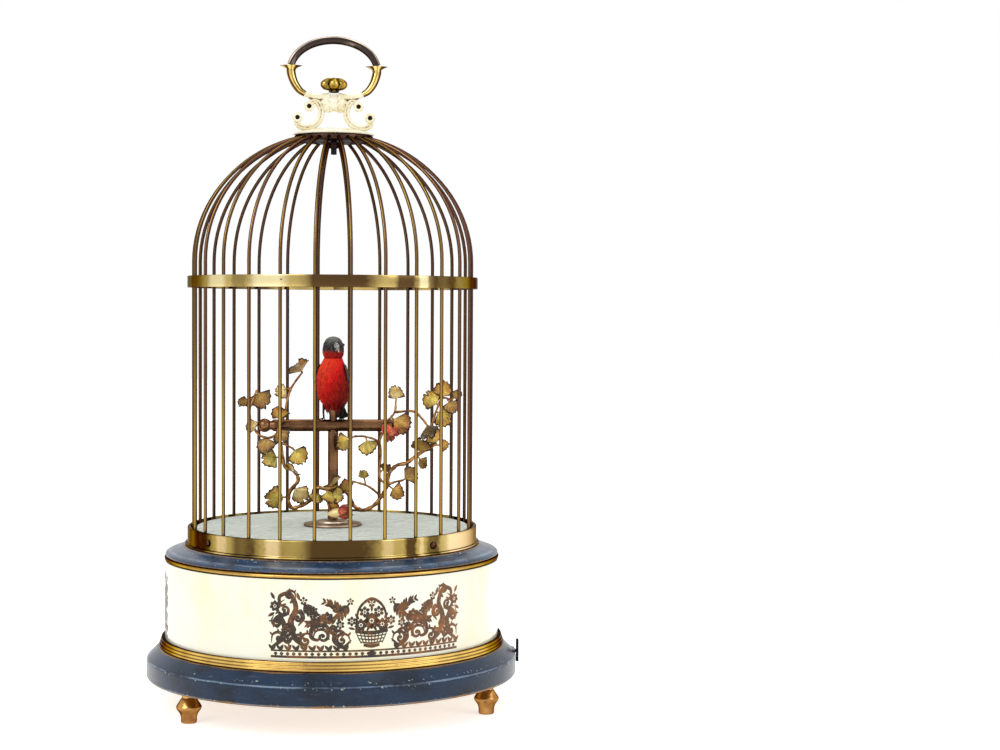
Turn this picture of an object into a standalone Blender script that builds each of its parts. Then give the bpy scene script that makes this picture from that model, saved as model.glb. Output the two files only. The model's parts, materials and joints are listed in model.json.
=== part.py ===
"""Singing bird automaton: a domed wire cage on a round base that holds the clockwork, bellows and whistle.

Metres, +Z up.  The feet stand on Z = 0, the cage's axis is X = Y = 0 and the front faces -Y.
Angles round the axis are counted from the front, towards +X.
"""

from math import acos, asin, atan2, cos, hypot, pi, radians, sin, sqrt

import bmesh
import bpy
from mathutils import Matrix, Vector

MM = 0.001
WELD = 0.001 * MM

# Clearances
SEAT = 0.3 * MM
RUNNING = 0.3 * MM
FORK_PLAY = 0.4 * MM

# Facets of round pieces
FINE_SIDES = 36
ROUND_SIDES = 24
SMALL_SIDES = 12
TINY_SIDES = 8

# Feet
FOOT_COUNT = 3
FIRST_FOOT_ANGLE = radians(-55.2)
FOOT_HEIGHT = 13.2 * MM
FOOT_INSET = 8.4 * MM
FOOT_BULB_RADIUS = 5.5 * MM
FOOT_NECK_RADIUS = 2.9 * MM
FOOT_TOE_RADIUS = 3.4 * MM
FOOT_STUD_RADIUS = 1.5 * MM
FOOT_STUD_LENGTH = 6.0 * MM

# Blue plinth and the plate that closes it
PLINTH_OVERHANG = 5.7 * MM
PLINTH_WALL = 19.0 * MM
PLINTH_HEIGHT = 13.9 * MM
PLINTH_EDGE_HEIGHT = 9.0 * MM
PLATE_LEDGE = 5.4 * MM
BOTTOM_PLATE_THICKNESS = 1.3 * MM
SOUND_HOLE_COUNT = 6
SOUND_HOLE_RADIUS = 2.6 * MM
SOUND_HOLE_CIRCLE = 44.0 * MM
KEY_HOLE_RADIUS = 4.2 * MM

# Drum and its trim
DRUM_SHOULDER = 8.7 * MM
DRUM_HEIGHT = 37.8 * MM
DRUM_WALL = 1.2 * MM
MOULDING_WIDTH = 2.5 * MM
MOULDING_HEIGHT = 3.9 * MM
BEAD_HEIGHT = 1.8 * MM
CORNICE_HEIGHT = 4.4 * MM
CORNICE_SPIGOT = 5.4 * MM
CORNICE_SEAT_WIDTH = 10.4 * MM

# Cage
CAGE_RADIUS = 62.3 * MM
WIRE_RADIUS = 0.85 * MM
WIRE_COUNT = 26
FIRST_WIRE_ANGLE = radians(6.77)
WIRE_STRAIGHT = 124.6 * MM
DOME_RISE = 57.6 * MM
BAND_LEVEL = 115.6 * MM
BAND_HEIGHT = 5.2 * MM
HOOP_WALL = 1.55 * MM
RING_HEIGHT = 7.9 * MM
RING_LIP_WIDTH = 1.1 * MM
RING_LIP_HEIGHT = 0.9 * MM
HUB_RADIUS = 17.6 * MM
RING_SCREW_GAPS = (-5, 2, 8, 15)
RING_SCREW_RISE = 3.9 * MM
SCREW_HEAD_RADIUS = 1.6 * MM
SCREW_HEAD_HEIGHT = 1.1 * MM
SCREW_SHANK_RADIUS = 0.9 * MM
SCREW_SHANK_LENGTH = 8.0 * MM

# Stage floor
FLOOR_DEPTH = 7.2 * MM
FLOOR_THICKNESS = 3.5 * MM
FLOOR_SKIRT = 3.4 * MM

# Crown and handle
COLLAR_RADIUS = 18.3 * MM
COLLAR_HEIGHT = 3.1 * MM
CROWN_STUD_RADIUS = 1.05 * MM
CROWN_STUD_LENGTH = 7.7 * MM
NUT_RADIUS = 2.4 * MM
NUT_HEIGHT = 2.6 * MM
SCROLL_WIDTH = 3.0 * MM
SCROLL_DEPTH = 4.2 * MM
SCROLL_EYE_RADIUS = 2.3 * MM
SCROLL_EYE_HOLE = 0.85 * MM
SCROLL_EYE_PROUD = 0.25 * MM
CROWN_WINDOW_HALF = 5.6 * MM
CROWN_HEIGHT = 18.6 * MM
BOSS_DEPTH = 6.0 * MM
ARM_REACH = 12.6 * MM
ARM_WIDTH = 2.6 * MM
ARM_DEPTH = 3.6 * MM
HANDLE_HALF_WIDTH = 19.5 * MM
HANDLE_SPRING = 29.0 * MM
HANDLE_RISE = 13.8 * MM
HANDLE_THICKNESS = 3.7 * MM
HANDLE_DEPTH = 4.8 * MM
ARM_TOP = 31.4 * MM
ARM_CUP_HALF_WIDTH = 3.8 * MM
ARM_CUP_HALF_DEPTH = 3.0 * MM
ROSETTE_RADIUS = 6.2 * MM
ROSETTE_HEIGHT = 6.9 * MM
ROSETTE_LOBES = 8

# Post, perch and the bird's nested tubes
POST_RADIUS = 2.35 * MM
POST_WALL = 0.3 * MM
POST_FLANGE_RADIUS = 13.2 * MM
POST_STEP_RADIUS = 7.2 * MM
PERCH_LEVEL = 45.3 * MM
PERCH_RADIUS = 2.7 * MM
PERCH_HALF_LENGTH = 30.7 * MM
PERCH_BALL_RADIUS = 3.1 * MM
TUBE_WALL = 0.2 * MM
HEAD_TUBE_RADIUS = 0.7 * MM
PUSH_WIRE_RADIUS = 0.25 * MM

# Bird
BIRD_HEADING = radians(-14.0)
HEAD_HEADING = radians(18.0)
BODY_LEVEL = 7.8 * MM
BODY_HEIGHT = 22.1 * MM
BODY_HALF_WIDTH = 7.6 * MM
HEAD_RADIUS = 5.1 * MM
HEAD_HEIGHT = 9.8 * MM
HEAD_WALL = 0.8 * MM
HEAD_SIDES = 16
NECK_GAP = 0.6 * MM
BEAK_LENGTH = 3.6 * MM
BEAK_HALF_WIDTH = 1.5 * MM
TAIL_LENGTH = 19.0 * MM
TAIL_WIDTH = 6.0 * MM
WING_THICKNESS = 1.1 * MM
LEG_RADIUS = 0.4 * MM

# Foliage
STEM_RADIUS = 0.9 * MM
TWIG_RADIUS = 0.5 * MM
LEAF_THICKNESS = 0.5 * MM

# Movement
MODULE = 1.2 * MM
BARREL_TEETH = 32
CAM_PINION_TEETH = 8
TRAIN_WHEEL_TEETH = 24
TRAIN_PINION_TEETH = 6
MOVEMENT_HALF_LENGTH = 38.0 * MM
MOVEMENT_FRONT = -27.0 * MM
MOVEMENT_BACK = 39.0 * MM
MOVEMENT_STANDOFF = 4.2 * MM
MOVEMENT_PLATE = 1.4 * MM
MOVEMENT_SPACING = 21.6 * MM
PILLAR_RADIUS = 2.2 * MM
PILLAR_INSET = 4.6 * MM
ARBOR_RADIUS = 1.5 * MM
PIVOT_RADIUS = 0.8 * MM
WINDING_ARBOR_RADIUS = 2.2 * MM
BARREL_RADIUS = 16.2 * MM
BARREL_WALL = 1.0 * MM
BARREL_HEIGHT = 15.1 * MM
BARREL_RISE = 0.5 * MM
CAM_WHEEL_DROP = 3.4 * MM
FACE_CAM_RISE = 2.1 * MM
FACE_CAM_THICKNESS = 1.8 * MM
WHEEL_THICKNESS = 1.6 * MM
MAINSPRING_THICKNESS = 0.6 * MM
MAINSPRING_TURNS = 4
RATCHET_RADIUS = 9.0 * MM
RATCHET_TEETH = 16
KEY_HALF_SPAN = 13.0 * MM
KEY_THICKNESS = 2.4 * MM
KEY_SHANK_RADIUS = 3.4 * MM
KEY_FLOOR_CLEARANCE = 1.2 * MM
LEVER_THICKNESS = 1.2 * MM
LEVER_PIN_RADIUS = 1.0 * MM
LEVER_WIDTH = 2.8 * MM
TAIL_LEVER_RISE = 4.4 * MM
HEAD_LEVER_RISE = 5.1 * MM
TURN_LEVER_RISE = 5.0 * MM
HEAD_ARM_RISE = 2.0 * MM
TURN_ARM_RISE = 2.4 * MM
TURN_ARM = 8.0 * MM
TURN_PIVOT_DISTANCE = 26.0 * MM
HEAD_ARM = 7.0 * MM
HEAD_PIVOT_DISTANCE = 23.0 * MM
ARM_PIN_RADIUS = 0.6 * MM
CAM_RADIUS = 4.0 * MM
FACE_CAM_RADIUS = 9.5 * MM
FACE_CAM_LIFT = 1.5 * MM
FACE_CAM_TRACK_WIDTH = 3.2 * MM
# Each raised track of the face cam: where it starts and ends in degrees, and its radius
FACE_CAM_TRACKS = ((60, 150, 4.0 * MM), (230, 330, 7.6 * MM))
LIFT_PIVOT_X = -12.0 * MM
LIFT_EYE_LENGTH = 6.0 * MM
LIFT_EYE_RADIUS = 2.0 * MM
FLY_HALF_SPAN = 8.0 * MM
STOP_DISC_RADIUS = 5.0 * MM
STOP_PIVOT_INSET = 8.0 * MM
STOP_TAB_HEIGHT = 10.0 * MM
STOP_TAB_THICKNESS = 1.0 * MM
STOP_SWING = radians(5.0)
BELLOWS_LENGTH = 33.8 * MM
BELLOWS_HEIGHT = 20.0 * MM
BELLOWS_BOARD = 1.4 * MM
BELLOWS_OPEN_ANGLE = radians(12.3)
WHISTLE_RADIUS = 4.0 * MM
WHISTLE_BORE = 3.0 * MM
WHISTLE_LENGTH = 42.0 * MM
WHISTLE_INSET = 8.0 * MM
WHISTLE_MOUTH_LENGTH = 4.0 * MM
WHISTLE_PLUG_LENGTH = 7.5 * MM
PISTON_HEAD_LENGTH = 12.0 * MM
PISTON_ROD_LENGTH = 14.0 * MM

# Levels, from the feet up
PLINTH_LOW = FOOT_HEIGHT + SEAT
PLINTH_TOP = PLINTH_LOW + PLINTH_HEIGHT
DRUM_LOW = PLINTH_TOP + SEAT
DRUM_TOP = DRUM_LOW + DRUM_HEIGHT
BEAD_LOW = DRUM_TOP + SEAT
CORNICE_LOW = BEAD_LOW + BEAD_HEIGHT + SEAT
CORNICE_TOP = CORNICE_LOW + CORNICE_HEIGHT
RING_LOW = CORNICE_TOP + SEAT
RING_TOP = RING_LOW + RING_HEIGHT
WIRE_FOOT = RING_LOW + RING_LIP_HEIGHT + SEAT
DOME_LOW = WIRE_FOOT + WIRE_STRAIGHT
FLOOR_TOP = RING_LOW + FLOOR_DEPTH
FLOOR_UNDERSIDE = FLOOR_TOP - FLOOR_THICKNESS
HOOP_RADIUS = CAGE_RADIUS + WIRE_RADIUS + SEAT
HOOP_OUTER = HOOP_RADIUS + HOOP_WALL
FLOOR_RADIUS = CAGE_RADIUS - WIRE_RADIUS - SEAT
DRUM_RADIUS = HOOP_OUTER + RING_LIP_WIDTH + DRUM_SHOULDER
MOULDING_RADIUS = DRUM_RADIUS + MOULDING_WIDTH
PLINTH_RADIUS = MOULDING_RADIUS + PLINTH_OVERHANG
PLINTH_BORE_RADIUS = PLINTH_RADIUS - PLINTH_WALL
FOOT_CIRCLE_RADIUS = PLINTH_RADIUS - FOOT_INSET
STOP_PIVOT_X = PLINTH_BORE_RADIUS - STOP_PIVOT_INSET
BOTTOM_PLATE_TOP = PLINTH_LOW + BOTTOM_PLATE_THICKNESS
PERCH_Z = FLOOR_TOP + PERCH_LEVEL

# The bird's tubes nest inside the post
POST_BORE = POST_RADIUS - POST_WALL
BODY_TUBE_RADIUS = POST_BORE - RUNNING
BODY_TUBE_BORE = BODY_TUBE_RADIUS - TUBE_WALL
HEAD_TUBE_BORE = HEAD_TUBE_RADIUS - TUBE_WALL
TAIL_WIRE_OFFSET = (HEAD_TUBE_RADIUS + BODY_TUBE_BORE) / 2
BODY_LOW = PERCH_Z + BODY_LEVEL
BODY_TOP = BODY_LOW + BODY_HEIGHT
HEAD_LOW = BODY_TOP + NECK_GAP
HEAD_TOP = HEAD_LOW + HEAD_HEIGHT

# The movement's levels
LOWER_PLATE_LOW = BOTTOM_PLATE_TOP + MOVEMENT_STANDOFF
LOWER_PLATE_TOP = LOWER_PLATE_LOW + MOVEMENT_PLATE
UPPER_PLATE_LOW = LOWER_PLATE_TOP + MOVEMENT_SPACING
UPPER_PLATE_TOP = UPPER_PLATE_LOW + MOVEMENT_PLATE
BARREL_LOW = LOWER_PLATE_TOP + BARREL_RISE
BARREL_TOP = BARREL_LOW + BARREL_HEIGHT
CAM_WHEEL_LOW = UPPER_PLATE_LOW - CAM_WHEEL_DROP
CRANK_WHEEL_LOW = CAM_WHEEL_LOW + WHEEL_THICKNESS
FACE_CAM_LOW = UPPER_PLATE_TOP + FACE_CAM_RISE
FACE_CAM_TOP = FACE_CAM_LOW + FACE_CAM_THICKNESS + FACE_CAM_LIFT
BEAK_LEVER_LOW = FACE_CAM_TOP + SEAT
TAIL_LEVER_LOW = BEAK_LEVER_LOW + TAIL_LEVER_RISE
HEAD_LEVER_LOW = TAIL_LEVER_LOW + HEAD_LEVER_RISE
TURN_LEVER_LOW = HEAD_LEVER_LOW + TURN_LEVER_RISE
HEAD_ARM_LOW = HEAD_LEVER_LOW + HEAD_ARM_RISE
TURN_ARM_LOW = TURN_LEVER_LOW + TURN_ARM_RISE

# Where the arbors stand
CAM_X = (BARREL_TEETH + CAM_PINION_TEETH) * MODULE / 2
TRAIN_DISTANCE = (TRAIN_WHEEL_TEETH + TRAIN_PINION_TEETH) * MODULE / 2
CRANK_DIRECTION = radians(105.0)
FLY_DIRECTION = radians(135.0)
CAM_AT = Vector((CAM_X, 0.0))
CRANK_AT = CAM_AT + TRAIN_DISTANCE * Vector((cos(CRANK_DIRECTION), sin(CRANK_DIRECTION)))
FLY_AT = CRANK_AT + TRAIN_DISTANCE * Vector((cos(FLY_DIRECTION), sin(FLY_DIRECTION)))
BELLOWS_HINGE = Vector((-21.0 * MM, MOVEMENT_BACK - 4.2 * MM))
WHISTLE_X = WHISTLE_INSET - MOVEMENT_HALF_LENGTH

FINISHES = {
    "brass": ((0.42, 0.28, 0.10), 0.28, 1.0),
    "aged_brass": ((0.16, 0.10, 0.06), 0.35, 1.0),
    "gilt": ((0.62, 0.40, 0.14), 0.25, 1.0),
    "blue_paint": ((0.045, 0.075, 0.115), 0.30, 0.0),
    "cream_enamel": ((0.90, 0.86, 0.68), 0.25, 0.0),
    "felt": ((0.45, 0.48, 0.40), 0.90, 0.0),
    "steel": ((0.45, 0.45, 0.47), 0.30, 1.0),
    "black_steel": ((0.02, 0.02, 0.02), 0.40, 0.6),
    "spring_steel": ((0.10, 0.12, 0.20), 0.30, 1.0),
    "leaf_green": ((0.42, 0.38, 0.10), 0.45, 0.2),
    "red_feathers": ((0.60, 0.02, 0.01), 0.80, 0.0),
    "dark_feathers": ((0.03, 0.03, 0.03), 0.80, 0.0),
    "horn": ((0.30, 0.28, 0.27), 0.45, 0.0),
    "leather": ((0.55, 0.45, 0.32), 0.75, 0.0),
    "beech": ((0.50, 0.34, 0.18), 0.60, 0.0),
}


def clear_scene():
    for thing in list(bpy.data.objects):
        bpy.data.objects.remove(thing, do_unlink=True)


def finish_material(finish):
    """The Principled material of one finish, made once."""
    found = bpy.data.materials.get(finish)
    if found:
        return found
    colour, roughness, metallic = FINISHES[finish]
    made = bpy.data.materials.new(finish)
    made.use_nodes = True
    shader = made.node_tree.nodes["Principled BSDF"]
    shader.inputs["Base Color"].default_value = (*colour, 1.0)
    shader.inputs["Roughness"].default_value = roughness
    shader.inputs["Metallic"].default_value = metallic
    return made


def place(name, shape, finish, origin=(0.0, 0.0, 0.0)):
    """Makes a named object of a shape modelled in the part's frame, with its origin at the point given."""
    bmesh.ops.translate(shape, verts=shape.verts, vec=-Vector(origin))
    mesh = bpy.data.meshes.new(name)
    shape.to_mesh(mesh)
    shape.free()
    mesh.shade_smooth()
    mesh.set_sharp_from_angle(angle=radians(35.0))
    mesh.materials.append(finish_material(finish))
    made = bpy.data.objects.new(name, mesh)
    made.location = origin
    bpy.context.scene.collection.objects.link(made)
    return made


def moved(shape, matrix):
    bmesh.ops.transform(shape, matrix=matrix, verts=shape.verts)
    return shape


def turned_about_z(shape, angle):
    return moved(shape, Matrix.Rotation(angle, 4, "Z"))


def turned(outline, sides=ROUND_SIDES, centre=(0.0, 0.0), phase=0.0):
    """Spins (radius, height) points about a vertical axis: a ring if the outline closes clear of the axis."""
    shape = bmesh.new()
    points = [shape.verts.new((radius, 0.0, height)) for radius, height in outline]
    edges = [shape.edges.new(pair) for pair in zip(points, points[1:])]
    if outline[0][0] > 0.0:
        edges.append(shape.edges.new((points[-1], points[0])))
    bmesh.ops.spin(
        shape, geom=points + edges, cent=(0, 0, 0), axis=(0, 0, 1), angle=2 * pi, steps=sides, use_merge=True
    )
    bmesh.ops.remove_doubles(shape, verts=shape.verts, dist=WELD)
    bmesh.ops.recalc_face_normals(shape, faces=shape.faces)
    turned_about_z(shape, phase)
    return moved(shape, Matrix.Translation((*centre, 0.0)))


def disc(radius, low, high, centre=(0.0, 0.0), sides=ROUND_SIDES):
    return turned([(0.0, low), (radius, low), (radius, high), (0.0, high)], sides, centre)


def ring(inner, outer, low, high, centre=(0.0, 0.0), sides=ROUND_SIDES):
    return turned([(inner, low), (outer, low), (outer, high), (inner, high)], sides, centre)


def extruded(outline, low, high):
    """A flat outline in X and Y, raised from one level to another."""
    shape = bmesh.new()
    face = shape.faces.new([shape.verts.new((x, y, low)) for x, y in outline])
    raised = bmesh.ops.extrude_face_region(shape, geom=[face])["geom"]
    top = [item for item in raised if isinstance(item, bmesh.types.BMVert)]
    bmesh.ops.translate(shape, verts=top, vec=(0.0, 0.0, high - low))
    bmesh.ops.recalc_face_normals(shape, faces=shape.faces)
    return shape


def upright(outline, half_depth):
    """A flat outline in X and Z, as deep to the front as to the back."""
    shape = extruded(outline, -half_depth, half_depth)
    return moved(shape, Matrix.Rotation(pi / 2, 4, "X"))


def side_on(outline, half_width):
    """A flat outline in Y and Z, as wide to the left as to the right."""
    shape = extruded(outline, -half_width, half_width)
    turn = Matrix(((0, 0, 1, 0), (1, 0, 0, 0), (0, 1, 0, 0), (0, 0, 0, 1)))
    return moved(shape, turn)


def block(low, high):
    """A box between two corners."""
    outline = [(low[0], low[1]), (high[0], low[1]), (high[0], high[1]), (low[0], high[1])]
    return extruded(outline, low[2], high[2])


def strip(points, widths):
    """The outline of a band of changing width along a flat line."""
    line = [Vector(point) for point in points]
    left, right = [], []
    for index, (point, width) in enumerate(zip(line, widths)):
        before = line[max(index - 1, 0)]
        after = line[min(index + 1, len(line) - 1)]
        along = (after - before).normalized()
        across = Vector((-along.y, along.x)) * width / 2
        left.append(point + across)
        right.append(point - across)
    return [tuple(point) for point in left + right[::-1]]


def smooth_line(points, pieces):
    """Points on a smooth curve through the points given, so many to each stretch."""
    line = [Vector(point) for point in points]
    ends = [2 * line[0] - line[1], *line, 2 * line[-1] - line[-2]]
    made = []
    for before, start, end, after in zip(ends, ends[1:], ends[2:], ends[3:]):
        for step in range(pieces):
            t = step / pieces
            bend = (end - before) * t + (2 * before - 5 * start + 4 * end - after) * t * t
            bend += (3 * start - before - 3 * end + after) * t**3
            made.append(start + bend / 2)
    return made + [line[-1]]


def swept(path, half_widths, half_depths, sides, first_along=None, last_along=None, across=(0, 1, 0)):
    """Oval rings along a path, capped at both ends.  Depth lies along the direction across."""
    shape = bmesh.new()
    line = [Vector(point) for point in path]
    rings = []
    for index, point in enumerate(line):
        before = line[max(index - 1, 0)]
        after = line[min(index + 1, len(line) - 1)]
        along = (after - before).normalized()
        if index == 0 and first_along:
            along = Vector(first_along)
        if index == len(line) - 1 and last_along:
            along = Vector(last_along)
        deep = (Vector(across) - along * along.dot(Vector(across))).normalized()
        wide = deep.cross(along)
        corners = []
        for corner in range(sides):
            angle = 2 * pi * (corner + 0.5) / sides
            reach = wide * cos(angle) * half_widths[index] + deep * sin(angle) * half_depths[index]
            corners.append(shape.verts.new(point + reach))
        rings.append(corners)
    for low, high in zip(rings, rings[1:]):
        for corner in range(sides):
            following = (corner + 1) % sides
            shape.faces.new((low[corner], low[following], high[following], high[corner]))
    shape.faces.new(rings[0][::-1])
    shape.faces.new(rings[-1])
    bmesh.ops.recalc_face_normals(shape, faces=shape.faces)
    return shape


def wire(path, radius, sides=6):
    """A round rod of one thickness along a path in space."""
    line = [Vector(point) for point in path]
    across = Vector((0.0, 1.0, 0.0))
    if abs((line[-1] - line[0]).normalized().dot(across)) > 0.8:
        across = Vector((0.0, 0.0, 1.0))
    return swept(line, [radius] * len(line), [radius] * len(line), sides, across=across)


def joined(shapes):
    """Several shapes in one, still separate bodies."""
    whole = bmesh.new()
    for shape in shapes:
        mesh = bpy.data.meshes.new("joined")
        shape.to_mesh(mesh)
        shape.free()
        whole.from_mesh(mesh)
        bpy.data.meshes.remove(mesh)
    return whole


def bench_object(shape):
    mesh = bpy.data.meshes.new("bench")
    shape.to_mesh(mesh)
    shape.free()
    made = bpy.data.objects.new("bench", mesh)
    bpy.context.scene.collection.objects.link(made)
    return made


def boolean(shape, others, operation):
    """The one closed shape that is left when others are joined to it or cut from it, one after another."""
    result = shape
    for other in others:
        kept, guest = bench_object(result), bench_object(other)
        modifier = kept.modifiers.new("boolean", "BOOLEAN")
        modifier.operation = operation
        modifier.solver = "EXACT"
        modifier.object = guest
        evaluated = kept.evaluated_get(bpy.context.evaluated_depsgraph_get())
        result = bmesh.new()
        result.from_mesh(evaluated.to_mesh())
        evaluated.to_mesh_clear()
        for used in (kept, guest):
            mesh = used.data
            bpy.data.objects.remove(used, do_unlink=True)
            bpy.data.meshes.remove(mesh)
        bmesh.ops.remove_doubles(result, verts=result.verts, dist=WELD)
    return result


def fused(shape, *others):
    return boolean(shape, others, "UNION")


def cut(shape, *others):
    return boolean(shape, others, "DIFFERENCE")


def round_the_axis(radius, angle, height=0.0):
    """A point at an angle counted from the front, towards +X."""
    return Vector((radius * sin(angle), -radius * cos(angle), height))


def wire_angle(index):
    return FIRST_WIRE_ANGLE + index * 2 * pi / WIRE_COUNT


def build_feet():
    toe, bulb, neck, tall = FOOT_TOE_RADIUS, FOOT_BULB_RADIUS, FOOT_NECK_RADIUS, FOOT_HEIGHT
    outline = [
        (0.0, 0.0),
        (toe - 0.4 * MM, 0.0),
        (toe, 0.03 * tall),
        (toe, 0.18 * tall),
        (0.70 * bulb, 0.31 * tall),
        (0.96 * bulb, 0.46 * tall),
        (bulb, 0.53 * tall),
        (0.92 * bulb, 0.60 * tall),
        (neck, 0.84 * tall),
        (neck, tall),
        (FOOT_STUD_RADIUS, tall),
        (FOOT_STUD_RADIUS, tall + FOOT_STUD_LENGTH),
        (0.0, tall + FOOT_STUD_LENGTH),
    ]
    for index, name in enumerate(("foot_front_left", "foot_front_right", "foot_rear")):
        angle = FIRST_FOOT_ANGLE + index * 2 * pi / FOOT_COUNT
        at = round_the_axis(FOOT_CIRCLE_RADIUS, angle)
        place(name, turned(outline, SMALL_SIDES, (at.x, at.y)), "gilt")


def build_plinth():
    low, top, edge = PLINTH_LOW, PLINTH_TOP, PLINTH_LOW + PLINTH_EDGE_HEIGHT
    recess = PLINTH_BORE_RADIUS + PLATE_LEDGE + SEAT
    ledge = BOTTOM_PLATE_TOP + SEAT
    shoulder = MOULDING_RADIUS + 0.5 * MM
    ring_shape = turned(
        [
            (recess, low),
            (PLINTH_RADIUS - 0.7 * MM, low),
            (PLINTH_RADIUS, low + 0.9 * MM),
            (PLINTH_RADIUS, edge - 0.9 * MM),
            (PLINTH_RADIUS - 0.5 * MM, edge),
            (PLINTH_RADIUS - 1.6 * MM, edge + 1.1 * MM),
            (shoulder, top - 0.3 * MM),
            (shoulder - 0.5 * MM, top),
            (PLINTH_BORE_RADIUS, top),
            (PLINTH_BORE_RADIUS, ledge),
            (recess, ledge),
        ],
        FINE_SIDES,
    )
    cutters = []
    for index in range(FOOT_COUNT):
        at = round_the_axis(FOOT_CIRCLE_RADIUS, FIRST_FOOT_ANGLE + index * 2 * pi / FOOT_COUNT)
        drilled = FOOT_STUD_LENGTH + 2 * SEAT
        across = FOOT_STUD_RADIUS + SEAT
        cutters.append(disc(across, low - drilled, FOOT_HEIGHT + drilled, (at.x, at.y), SMALL_SIDES))
    lever_z = stop_lever_low()
    play = 3.0 * MM + (PLINTH_RADIUS - STOP_PIVOT_X) * sin(STOP_SWING)
    slot_low = (PLINTH_BORE_RADIUS - 3 * MM, -play, lever_z - 0.6 * MM)
    slot_high = (PLINTH_RADIUS + 3 * MM, play, lever_z + LEVER_THICKNESS + 0.6 * MM)
    cutters.append(block(slot_low, slot_high))
    place("plinth", cut(ring_shape, *cutters), "blue_paint")


def stop_lever_low():
    return LOWER_PLATE_TOP + 0.9 * MM


def click_pivot():
    return Vector((RATCHET_RADIUS + 6.5 * MM, -4.0 * MM))


def build_bottom_plate():
    plate = disc(PLINTH_BORE_RADIUS + PLATE_LEDGE, PLINTH_LOW, BOTTOM_PLATE_TOP, sides=FINE_SIDES)
    holes = [disc(KEY_HOLE_RADIUS, PLINTH_LOW - MM, BOTTOM_PLATE_TOP + MM, sides=ROUND_SIDES)]
    for index in range(SOUND_HOLE_COUNT):
        at = round_the_axis(SOUND_HOLE_CIRCLE, (index + 0.5) * 2 * pi / SOUND_HOLE_COUNT)
        hole = disc(SOUND_HOLE_RADIUS, PLINTH_LOW - MM, BOTTOM_PLATE_TOP + MM, (at.x, at.y), TINY_SIDES)
        holes.append(hole)
    lever_z = stop_lever_low()
    under = BOTTOM_PLATE_TOP - 0.6 * MM
    pivot = turned(
        [
            (0.0, under),
            (LEVER_WIDTH, under),
            (LEVER_WIDTH, lever_z - SEAT),
            (LEVER_PIN_RADIUS, lever_z - SEAT),
            (LEVER_PIN_RADIUS, lever_z + LEVER_THICKNESS + SEAT),
            (0.0, lever_z + LEVER_THICKNESS + SEAT),
        ],
        SMALL_SIDES,
        (STOP_PIVOT_X, 0.0),
    )
    ratchet_low, ratchet_high = ratchet_levels()
    click_pin = turned(
        [
            (0.0, under),
            (LEVER_WIDTH / 2, under),
            (LEVER_WIDTH / 2, ratchet_low - SEAT),
            (PIVOT_RADIUS, ratchet_low - SEAT),
            (PIVOT_RADIUS, ratchet_high + SEAT),
            (0.0, ratchet_high + SEAT),
        ],
        SMALL_SIDES,
        click_pivot(),
    )
    place("bottom_plate", fused(cut(plate, *holes), pivot, click_pin), "brass")


def build_drum():
    inner, outer, low = DRUM_RADIUS + SEAT, MOULDING_RADIUS, DRUM_LOW
    reed = MOULDING_HEIGHT / 3
    step = (MOULDING_WIDTH - SEAT) / 5
    moulding = [(inner, low), (outer, low)]
    for index in range(3):
        proud = outer - index * step
        base = low + index * reed
        moulding += [(proud, base + 0.75 * reed), (proud - step, base + reed)]
    moulding.append((inner, low + MOULDING_HEIGHT))
    place("gilt_moulding", turned(moulding, FINE_SIDES), "gilt")
    wall = ring(DRUM_RADIUS - DRUM_WALL, DRUM_RADIUS, DRUM_LOW, DRUM_TOP, sides=FINE_SIDES)
    place("drum_shell", wall, "cream_enamel")

    spigot = DRUM_RADIUS - DRUM_WALL - SEAT
    bead_in, proud, low, tall = spigot + SEAT, DRUM_RADIUS + SEAT, BEAD_LOW, BEAD_HEIGHT
    bead = [
        (bead_in, low),
        (proud - 0.6 * MM, low),
        (proud, low + 0.3 * tall),
        (proud, low + 0.7 * tall),
        (proud - 0.6 * MM, low + tall),
        (bead_in, low + tall),
    ]
    place("gilt_bead", turned(bead, FINE_SIDES), "gilt")

    low, top = CORNICE_LOW, CORNICE_TOP
    seat_outer = HOOP_OUTER + RING_LIP_WIDTH + 0.3 * MM
    seat_inner = seat_outer - CORNICE_SEAT_WIDTH
    cornice = [
        (spigot - DRUM_WALL, low - CORNICE_SPIGOT),
        (spigot, low - CORNICE_SPIGOT),
        (spigot, low),
        (DRUM_RADIUS - 0.2 * MM, low),
        (DRUM_RADIUS - 0.1 * MM, low + 0.14 * CORNICE_HEIGHT),
        (DRUM_RADIUS - 0.5 * MM, low + 0.28 * CORNICE_HEIGHT),
        (DRUM_RADIUS - 1.4 * MM, low + 0.38 * CORNICE_HEIGHT),
        (seat_outer + 0.9 * MM, low + 0.84 * CORNICE_HEIGHT),
        (seat_outer, top),
        (seat_inner, top),
        (seat_inner, top - 0.45 * CORNICE_HEIGHT),
        (spigot - DRUM_WALL, low - 1.0 * MM),
    ]
    place("cornice", turned(cornice, FINE_SIDES), "blue_paint")


def ring_screw_hole(angle, inner, outer):
    height = RING_LOW + RING_SCREW_RISE
    start, end = round_the_axis(inner, angle, height), round_the_axis(outer, angle, height)
    return wire([start, end], SCREW_SHANK_RADIUS + SEAT, TINY_SIDES)


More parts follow.
